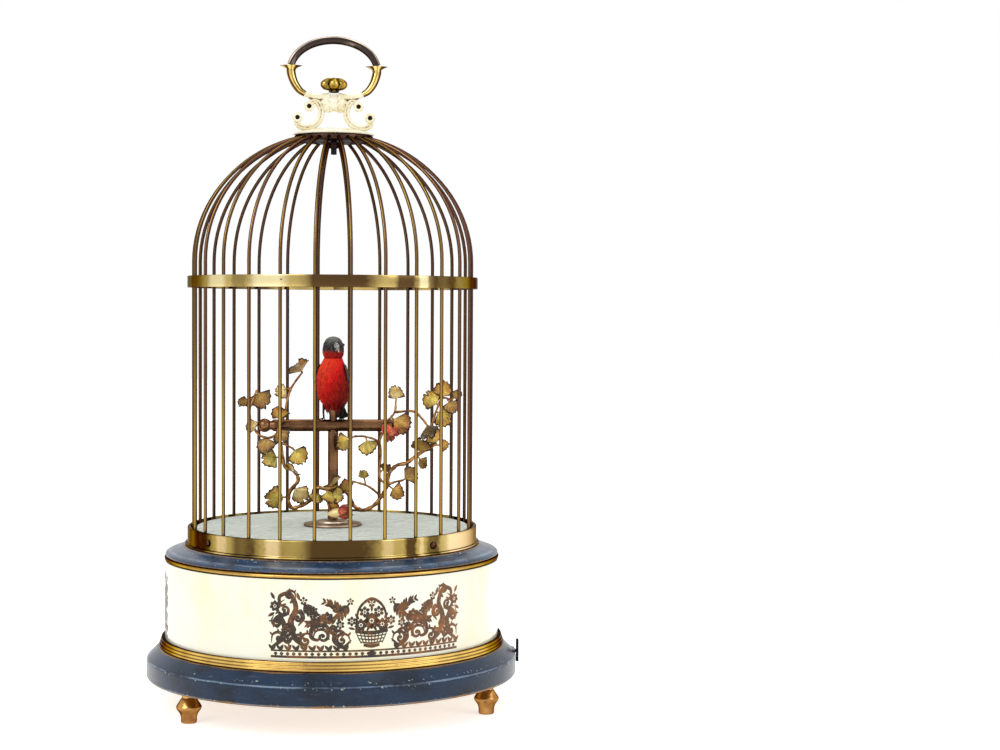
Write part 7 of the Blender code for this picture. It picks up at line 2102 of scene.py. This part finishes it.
@dataclass
class Bird:
    """The bird: a feathered body with wings and legs, a head that turns, a lower beak and a tail."""

    heading: float = -14.0
    head_heading: float = 18.0
    low: float = 132.9
    tall: float = 22.1
    under: float = 0.93
    snug: float = 0.96
    line: tuple[tuple[float, float, float, float], ...] = (
        (-0.3, 1.0, 4.6, 4.4), (-0.7, 0.95, 5.3, 5.0), (-1.2, 0.84, 6.4, 6.0), (-1.7, 0.74, 6.9, 6.8),
        (-1.5, 0.55, 7.6, 7.8), (-0.5, 0.36, 7.5, 7.6), (1.0, 0.18, 6.9, 6.6), (2.0, 0.06, 5.4, 5.0),
        (2.7, 0.0, 3.4, 3.2),
    )
    plumage: float = 3.6
    wing_rows: tuple[WingRow, ...] = (
        WingRow(10, (0.62, 0.80), (128.0, 96.0), (0.14, 0.34), (158.0, 88.0), 2.6),
        WingRow(9, (0.74, 0.84), (136.0, 84.0), (0.38, 0.56), (152.0, 80.0), 2.8),
        WingRow(8, (0.84, 0.90), (134.0, 82.0), (0.60, 0.72), (146.0, 78.0), 2.8),
    )
    right_wing_back: float = 12.0
    leg_apart: float = 4.4
    leg: Outline = ((1.0, 134.5), (-0.4, 131.4), (0.3, 128.45))
    toes: Outline = ((-24.0, 2.9), (0.0, 3.0), (24.0, 2.9))
    toe_levels: tuple[float, ...] = (128.3, 128.25, 128.05)
    head_low: float = 155.6
    head_tall: float = 9.8
    head_radius: float = 5.1
    head_line: Outline = (
        (0.80, -0.01), (0.93, 0.10), (0.99, 0.30), (0.98, 0.48), (0.88, 0.70), (0.62, 0.90), (0.25, 0.985), (0.0, 1.0),
    )
    bill: Outline = ((-3.9, 161.2), (-5.4, 160.95), (-6.6, 160.2), (-7.5, 159.2), (-7.9, 158.3))
    lower_bill: Outline = ((0.3, 159.3), (-3.3, 159.2), (-5.3, 159.28), (-6.6, 159.2), (-7.4, 159.02))
    eye: Flat = (3.85, -2.45)
    eye_radius: float = 0.7
    tail_pivot: Flat = (5.0, 138.425)
    tail_slope: float = -42.0
    tail_length: float = 19.0
    tail_fan: tuple[float, ...] = (-7.0, 7.0, -4.6, 4.6, -2.2, 2.2, 0.0)

    def ring(self, share: float) -> Spot:
        """Gives how far back the body's ring lies at a share of its height, and its half width and half depth."""
        backs, shares, wides, deeps = zip(*self.line[::-1])
        return tuple(float(np.interp(share, shares, values)) for values in (backs, wides, deeps))

    def on_body(self, share: float, angle: float, proud: float = 0.0) -> np.ndarray:
        """Finds a point on the body.

        Args:
            share: its share of the body's height.
            angle: its angle from the breast.
            proud: how far it stands off.

        Returns:
            The point.
        """
        back, wide, deep = self.ring(min(max(share, 0.0), 1.0))
        x, y, _ = ring_spot(1.0, angle, 0.0)
        high = self.low + share * self.tall
        return np.array((x * (wide * self.snug + proud), back + y * (deep * self.snug + proud), high))

    def add_feather(
        self,
        shape: Shape,
        root: np.ndarray,
        tip: np.ndarray,
        out: np.ndarray,
        width: float,
        lift: float,
        chance: float,
        finish: int = 0,
        pointed: float = 0.75,
    ) -> None:
        """Adds one feather.

        Args:
            shape: the shape that it joins.
            root: where its quill starts.
            tip: where it ends.
            out: the direction away from the body.
            width: its width.
            lift: how far its tip stands off.
            chance: its own chance mark.
            finish: which finish it has.
            pointed: how much it narrows at both ends, small for a blunt feather.
        """
        way = tip - root
        out = out / np.linalg.norm(out)
        side = np.cross(way, out)
        side /= np.linalg.norm(side)
        share, across = np.meshgrid(np.linspace(0, 1, 7), np.linspace(-1, 1, 5), indexing="ij")
        half = width / 2 * np.sin(pi * (0.10 + 0.86 * share)) ** pointed
        ragged = 1.0 + 0.10 * np.sin(share * 23.0 + chance * 9.0) * np.abs(across)
        grid = (
            root + share[..., None] * way + (half * across * ragged)[..., None] * side
            + (lift * share**1.4 - 0.16 * width * across**2)[..., None] * out
        )
        mark = np.stack([share, across, np.full_like(share, chance)], -1)
        shape.skin(grid, around=False, mark=mark, finish=finish)

    def build(self) -> None:
        """Builds the bird's pieces."""
        self.build_body()
        self.build_wings()
        self.build_legs()
        self.build_head()
        self.build_beak()
        self.build_tail()

    def build_body(self) -> None:
        """Lays the body's feathers in rows over its form."""
        rng = np.random.default_rng(7)
        shape = Shape(self.heading)
        turn = np.linspace(0, 2 * pi, 33)[:-1]
        rows = []
        for share in np.linspace(0.0, 1.016, 26):
            back, wide, deep = self.ring(share)
            x, y = wide * self.under * np.sin(turn), back - deep * self.under * np.cos(turn)
            rows.append(np.stack([x, y, np.full(32, self.low + share * self.tall)], 1))
        shape.skin(np.array(rows), mark=np.tile((0.4, 0.5, 0.5), (26 * 32, 1)))
        for row, share in enumerate(np.linspace(0.16, 1.0, 21)):
            back, wide, _ = self.ring(share)
            number = max(10, round(wide * self.plumage))
            for index in range(number):
                angle = 360.0 * (index + 0.5 * (row % 2)) / number + rng.uniform(-5, 5)
                if abs((angle + 180.0) % 360.0 - 180.0) > 150.0 and share < 0.42:
                    continue
                root = self.on_body(share, angle, -0.15)
                tip = self.on_body(share - rng.uniform(0.20, 0.30), angle + rng.uniform(-6, 6), 0.05)
                out = root * (1, 1, 0) - np.array((0.0, back, 0.0))
                width, lift = rng.uniform(1.3, 2.3), rng.uniform(0.0, 0.28)
                self.add_feather(shape, root, tip, out, width, lift, rng.random(), pointed=1.0)
        shape.piece("red_feathered_body", [Finishes.RED], Body.BIRD, Slot.RED_FEATHERS, ["bird_body"], 70.0)

    def build_wings(self) -> None:
        """Lays each wing's long feathers and its shorter coverts."""
        for side, node in ((-1, "bird_wing_right"), (1, "bird_wing_left")):
            rng = np.random.default_rng(11 + side)
            shape = Shape(self.heading)
            back = self.right_wing_back if side < 0 else 0.0
            out = np.array((side * 1.0, 0.25, 0.1))
            for row in self.wing_rows:
                for index, part in enumerate(np.linspace(0.0, 1.0, row.count)):
                    ends = []
                    for shares, angles, proud in (
                        (row.root_shares, row.root_angles, 0.35), (row.tip_shares, row.tip_angles, 0.6),
                    ):
                        share, angle = (float(np.interp(part, (0, 1), values)) for values in (shares, angles))
                        ends.append(self.on_body(share, back + angle, proud) * (side, 1, 1))
                    lift = 0.12 + 0.09 * (index % 2)
                    self.add_feather(shape, *ends, out, row.width, lift, rng.random(), pointed=0.6)
            shape.piece("feathered_" + node[5:], [Finishes.DARK], Body.BIRD, Slot.DARK_FEATHERS, [node], 70.0)

    def build_legs(self) -> None:
        """Bends the two wire legs with their toes on the perch."""
        for side, node in ((-1, "bird_leg_right"), (1, "bird_leg_left")):
            x, y = side * self.leg_apart, self.leg[-1][0]
            shape = Shape(self.heading)
            leg = smooth([(x, *point) for point in self.leg], 6)
            shape.tube(leg, np.interp(np.linspace(0, 1, len(leg)), (0, 0.4, 1), (0.9, 0.5, 0.42)), sides=10)
            for turn, length in self.toes:
                way_x, way_y, _ = ring_spot(length, turn, 0.0)
                parts = zip((0.0, 0.5, 1.0), self.toe_levels)
                toe = smooth([(x + part * way_x, y + part * way_y, high) for part, high in parts], 5)
                shape.tube(toe, np.linspace(0.32, 0.2, len(toe)), sides=8)
            shape.piece("wire_" + node[5:], [Finishes.BLACK], Body.BIRD, Slot.BLACKENED_STEEL, [node], 50.0)

    def build_head(self) -> None:
        """Builds the feathered head with the upper beak and the eyes."""
        rng = np.random.default_rng(23)
        radius, low, tall = self.head_radius, self.head_low, self.head_tall
        profile = smooth(self.head_line, 4)
        shape = Shape(self.head_heading)
        shape.turned(profile * (radius * 0.94, tall * 0.985) + (0.0, low), 40, closed=False)
        shape.marks[0][:] = (0.4, 0.5, 0.5)
        shape.finish_of = [int(shape.points[0][face[0]][2] < low + 0.30 * tall) for face in shape.faces]
        for row, share in enumerate(np.linspace(0.10, 0.99, 13)):
            reach = float(np.interp(share, profile[:, 1], profile[:, 0])) * radius * 0.945
            number = max(5, round(reach * self.plumage))
            lower = max(share - 0.22, -0.02)
            reach_low = float(np.interp(lower, profile[:, 1], profile[:, 0])) * radius * 0.965
            dyed = 1 if share < 0.44 else 0
            for index in range(number):
                turn = 2 * pi * (index + 0.5 * (row % 2)) / number + rng.uniform(-0.1, 0.1)
                out = np.array((sin(turn), -cos(turn), 0.25))
                root = np.array((reach * sin(turn), -reach * cos(turn), low + share * tall * 0.985))
                tip = np.array((reach_low * sin(turn), -reach_low * cos(turn), low + lower * tall))
                width, lift = rng.uniform(1.7, 2.4), rng.uniform(0.0, 0.1)
                self.add_feather(shape, root, tip, out, width, lift, rng.random(), dyed)
        self.add_bill(shape, self.bill, (1.45, 1.0, 0.14), (1.2, 0.8, 0.14), 16, 2)
        for side in (-1, 1):
            place = (side * self.eye[0], self.eye[1], low + 0.60 * tall)
            shape.ball(place, (self.eye_radius,) * 3, 20, 12, finish=3)
        finishes = [Finishes.HEAD, Finishes.THROAT, Finishes.HORN, Finishes.EYE]
        shape.piece("feathered_head", finishes, Body.HEAD, Slot.DARK_FEATHERS, ["bird_head"], 60.0)

    def add_bill(self, shape: Shape, line: Outline, high: Spot, wide: Spot, sides: int, finish: int) -> None:
        """Adds one half of the beak.

        Args:
            shape: the shape that it joins.
            line: its middle line, back and up.
            high: half its height at the root, half way and at the tip.
            wide: half its width at the same places.
            sides: the number of faces round it.
            finish: which finish it has.
        """
        path = smooth([(0.0, *point) for point in line], 5)
        at = np.linspace(0, 1, len(path))
        highs, wides = (np.interp(at, (0, 0.5, 1), sizes) for sizes in (high, wide))
        shape.tube(path, highs, wides, sides, (1, 0, 0), finish=finish)

    def build_beak(self) -> None:
        """Builds the lower beak."""
        shape = Shape(self.head_heading)
        self.add_bill(shape, self.lower_bill, (0.35, 0.42, 0.1), (0.6, 0.85, 0.1), 14, 0)
        shape.piece("horn_lower_beak", [Finishes.HORN], Body.BEAK, Slot.HORN, ["bird_lower_beak"], 50.0)

    def build_tail(self) -> None:
        """Lays the tail's long feathers in a narrow fan."""
        rng = np.random.default_rng(31)
        slope = radians(self.tail_slope)
        along, up = np.array((0.0, cos(slope), sin(slope))), np.array((0.0, -sin(slope), cos(slope)))
        root = np.array((0.0, *self.tail_pivot))
        shape = Shape(self.heading)
        for index, fan in enumerate(self.tail_fan):
            way = along * cos(radians(fan)) + np.array((1.0, 0.0, 0.0)) * sin(radians(fan))
            start = root - along * 0.6 + up * (0.08 * index - 0.2) + np.array((fan * 0.07, 0.0, 0.0))
            tip = start + way * (self.tail_length - 1.2 - abs(fan) * 0.22)
            self.add_feather(shape, start, tip, up, 2.7, 0.12, rng.random(), pointed=0.42)
        stub = [root + along * reach for reach in (-0.6, 3.0, 6.0)]
        shape.tube(smooth(stub, 4), 0.9, 0.45, 12, (0, 0, 1))
        shape.piece("feathered_tail", [Finishes.DARK], Body.TAIL, Slot.DARK_FEATHERS, ["bird_tail"], 70.0)


@dataclass
class Bellows:
    """The pleated kid leather between the bellows' boards, made at one opening of the moving board."""

    node: str = "bellows_leather"
    hinge: Flat = (-21.0, 34.8)
    near: float = 4.5
    far: float = 32.3
    low: float = 45.7
    high: float = 62.7
    fixed_gap: float = 1.9
    moving_gap: float = 1.0
    opening: float = -12.3
    folds: int = 4
    fold_depth: float = 1.7
    keep: float = 0.38

    def ring(self, share: float) -> tuple[np.ndarray, float]:
        """Lays the leather's outline at one place between the boards.

        Args:
            share: the share of the way to the moving board.

        Returns:
            The outline, and how deep in a fold it lies.
        """
        valley = abs(cos(self.folds * pi * share)) ** 0.7
        inset = self.fold_depth * valley
        corners = [
            (self.near + inset * 0.4, self.low + inset), (self.far - inset, self.low + inset),
            (self.far - inset, self.high - inset), (self.near + inset * 0.4, self.high - inset),
        ]
        outline = eased(corners, 2.2, 5)
        gap = self.fixed_gap + (self.moving_gap - self.fixed_gap) * share
        turn = radians(self.opening) * share
        x = self.hinge[0] + outline[:, 0] * cos(turn) - gap * sin(turn)
        y = self.hinge[1] + outline[:, 0] * sin(turn) + gap * cos(turn)
        return np.stack([x, y, outline[:, 1]], 1), valley

    def build(self) -> None:
        """Pleats the leather from the fixed board to the moving one."""
        rings = [self.ring(share) for share in np.linspace(0.0, 1.0, 8 * self.folds + 1)]
        marks = [np.full((len(ring), 3), valley) for ring, valley in rings]
        shape = Shape()
        shape.skin(np.array([ring for ring, _ in rings]), mark=np.array(marks))
        made = shape.piece("pleated_leather", [Finishes.KID], Body.CASE, Slot.KID_LEATHER, [self.node], 75.0)
        _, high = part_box(self.node)
        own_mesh(made)


@dataclass(frozen=True)
class Lamp:
    """A soft square lamp, in metres and watts."""

    name: str
    place: Spot
    size: float
    power: float
    aim: Spot = (0.0, 0.0, 0.13)

    def hang(self) -> None:
        """Hangs the lamp so that it points at the bird."""
        lamp = bpy.data.lights.new(self.name, "AREA")
        lamp.energy, lamp.size = self.power, self.size
        hung = bpy.data.objects.new(self.name, lamp)
        bpy.context.scene.collection.objects.link(hung)
        hung.location = self.place
        aim = Vector(self.aim) - Vector(self.place)
        hung.rotation_euler = aim.to_track_quat("-Z", "Y").to_euler()


@dataclass(frozen=True)
class Studio:
    """The floor, the soft lamps, the world and the camera, which stands where the photograph was taken from."""

    focal: float = 68.63
    sensor: float = 36.0
    place: Spot = (0.0, -862.97, 177.41)
    yaw: float = 0.0873
    pitch: float = 0.0339
    roll: float = 0.0055
    reach: float = 4.0
    paper: Shade = shade(236, 233, 228)
    white: Shade = (1.0, 1.0, 1.0, 1.0)
    floor_glow: float = 0.66
    soft_light: float = 0.55
    lamps: tuple[Lamp, ...] = (
        Lamp("left_lamp", (-1.1, -1.3, 1.3), 1.2, 17.0),
        Lamp("right_lamp", (1.4, -0.9, 0.9), 1.0, 9.5),
        Lamp("top_lamp", (0.2, 0.5, 1.8), 1.4, 11.0),
    )

    def build(self) -> None:
        """Builds the floor, lamps, world and camera."""
        self.lay_floor()
        for lamp in self.lamps:
            lamp.hang()
        self.light_world()
        self.place_camera()
        bpy.context.scene.view_settings.view_transform = "Standard"

    def lay_floor(self) -> None:
        """Lays the pale floor, which fills up to white for the camera and keeps the shadow."""
        mesh = bpy.data.meshes.new("pale_floor")
        reach = self.reach
        corners = [(-reach, -reach, 0), (reach, -reach, 0), (reach, reach, 0), (-reach, reach, 0)]
        mesh.from_pydata(corners, [], [(0, 1, 2, 3)])
        material = bpy.data.materials.new("pale_floor_paper")
        painter = Painter(material)
        paper = painter.node("ShaderNodeBsdfDiffuse", {}, {"Color": self.paper})
        strength = self.seen(painter) * self.floor_glow
        glow = painter.node("ShaderNodeEmission", {}, {"Color": self.white, "Strength": strength})
        both = painter.node("ShaderNodeAddShader", {}, {0: paper, 1: glow})
        painter.node("ShaderNodeOutputMaterial", {}, {"Surface": both})
        mesh.materials.append(material)
        floor = bpy.data.objects.new("pale_floor", mesh)
        bpy.context.scene.collection.objects.link(floor)

    def seen(self, painter: Painter) -> Link:
        """Finds what the camera, a glossy or a clear surface sees.

        Args:
            painter: the painter of the floor's material or of the world.

        Returns:
            1 for those and 0 for soft light.
        """
        kinds = ("Is Camera Ray", "Is Glossy Ray", "Is Transmission Ray")
        first, second, third = (painter.node("ShaderNodeLightPath", {}, {}, kind) for kind in kinds)
        return first.most(second).most(third)

    def light_world(self) -> None:
        """Lights the world softly, and shows it white."""
        world = bpy.data.worlds.new("soft_room")
        bpy.context.scene.world = world
        painter = Painter(world)
        strength = self.soft_light + self.seen(painter) * (1.0 - self.soft_light)
        glow = painter.node("ShaderNodeBackground", {}, {"Color": self.white, "Strength": strength})
        painter.node("ShaderNodeOutputWorld", {}, {"Surface": glow})

    def place_camera(self) -> None:
        """Stands the camera in its place."""
        yaw, pitch, roll = self.yaw, self.pitch, self.roll
        forward = np.array((sin(yaw) * cos(pitch), cos(yaw) * cos(pitch), -sin(pitch)))
        right = np.array((cos(yaw), -sin(yaw), 0.0))
        up = np.cross(right, forward)
        turn = np.eye(4)
        turn[:3, 0] = right * cos(roll) + up * sin(roll)
        turn[:3, 1] = up * cos(roll) - right * sin(roll)
        turn[:3, 2] = -forward
        turn[:3, 3] = np.array(self.place) * MM
        lens = bpy.data.cameras.new("camera")
        lens.lens, lens.sensor_width, lens.clip_start, lens.clip_end = self.focal, self.sensor, 0.05, 50.0
        camera = bpy.data.objects.new("camera", lens)
        camera.matrix_world = Matrix(turn.tolist())
        bpy.context.scene.collection.objects.link(camera)
        bpy.context.scene.camera = camera


def dress_movement() -> None:
    """Gives the movement's parts, which lie inside the base, their finishes."""
    for finish, nodes in (
        (
            Finishes.MOVEMENT,
            "barrel_cover mainspring_barrel cam_stack crank_wheel governor_fly bottom_plate movement_lower_plate "
            "movement_upper_plate whistle_pipe",
        ),
        (
            Finishes.STEEL,
            "beak_lever beak_wire body_turn_lever head_turn_lever head_turn_tube ratchet_click tail_lever tail_wire "
            "whistle_piston winding_arbor winding_key",
        ),
        (Finishes.SPRING, "mainspring"),
        (Finishes.PERCH, "body_turn_tube"),
        (Finishes.BLACK, "start_stop_lever"),
        (Finishes.BEECH, "bellows_base_board bellows_moving_board"),
    ):
        dress(finish, *nodes.split())


def main() -> None:
    """Builds the sub-assemblies in order, from the feet up."""
    logging.basicConfig(level=logging.INFO, format="%(message)s")
    for assembly in (
        Feet(),
        Base(),
        Print(),
        Cage(),
        Crown(),
        Perch(),
        Spray("left_leaf_spray", "spray_left", LEFT_STEMS, LEFT_LEAVES, LEFT_BUDS),
        Spray("right_leaf_spray", "spray_right", RIGHT_STEMS, RIGHT_LEAVES, RIGHT_BUDS),
        Bird(),
        Bellows(),
        Studio(),
    ):
        assembly.build()
    dress_movement()


if __name__ == "__main__":
    main()
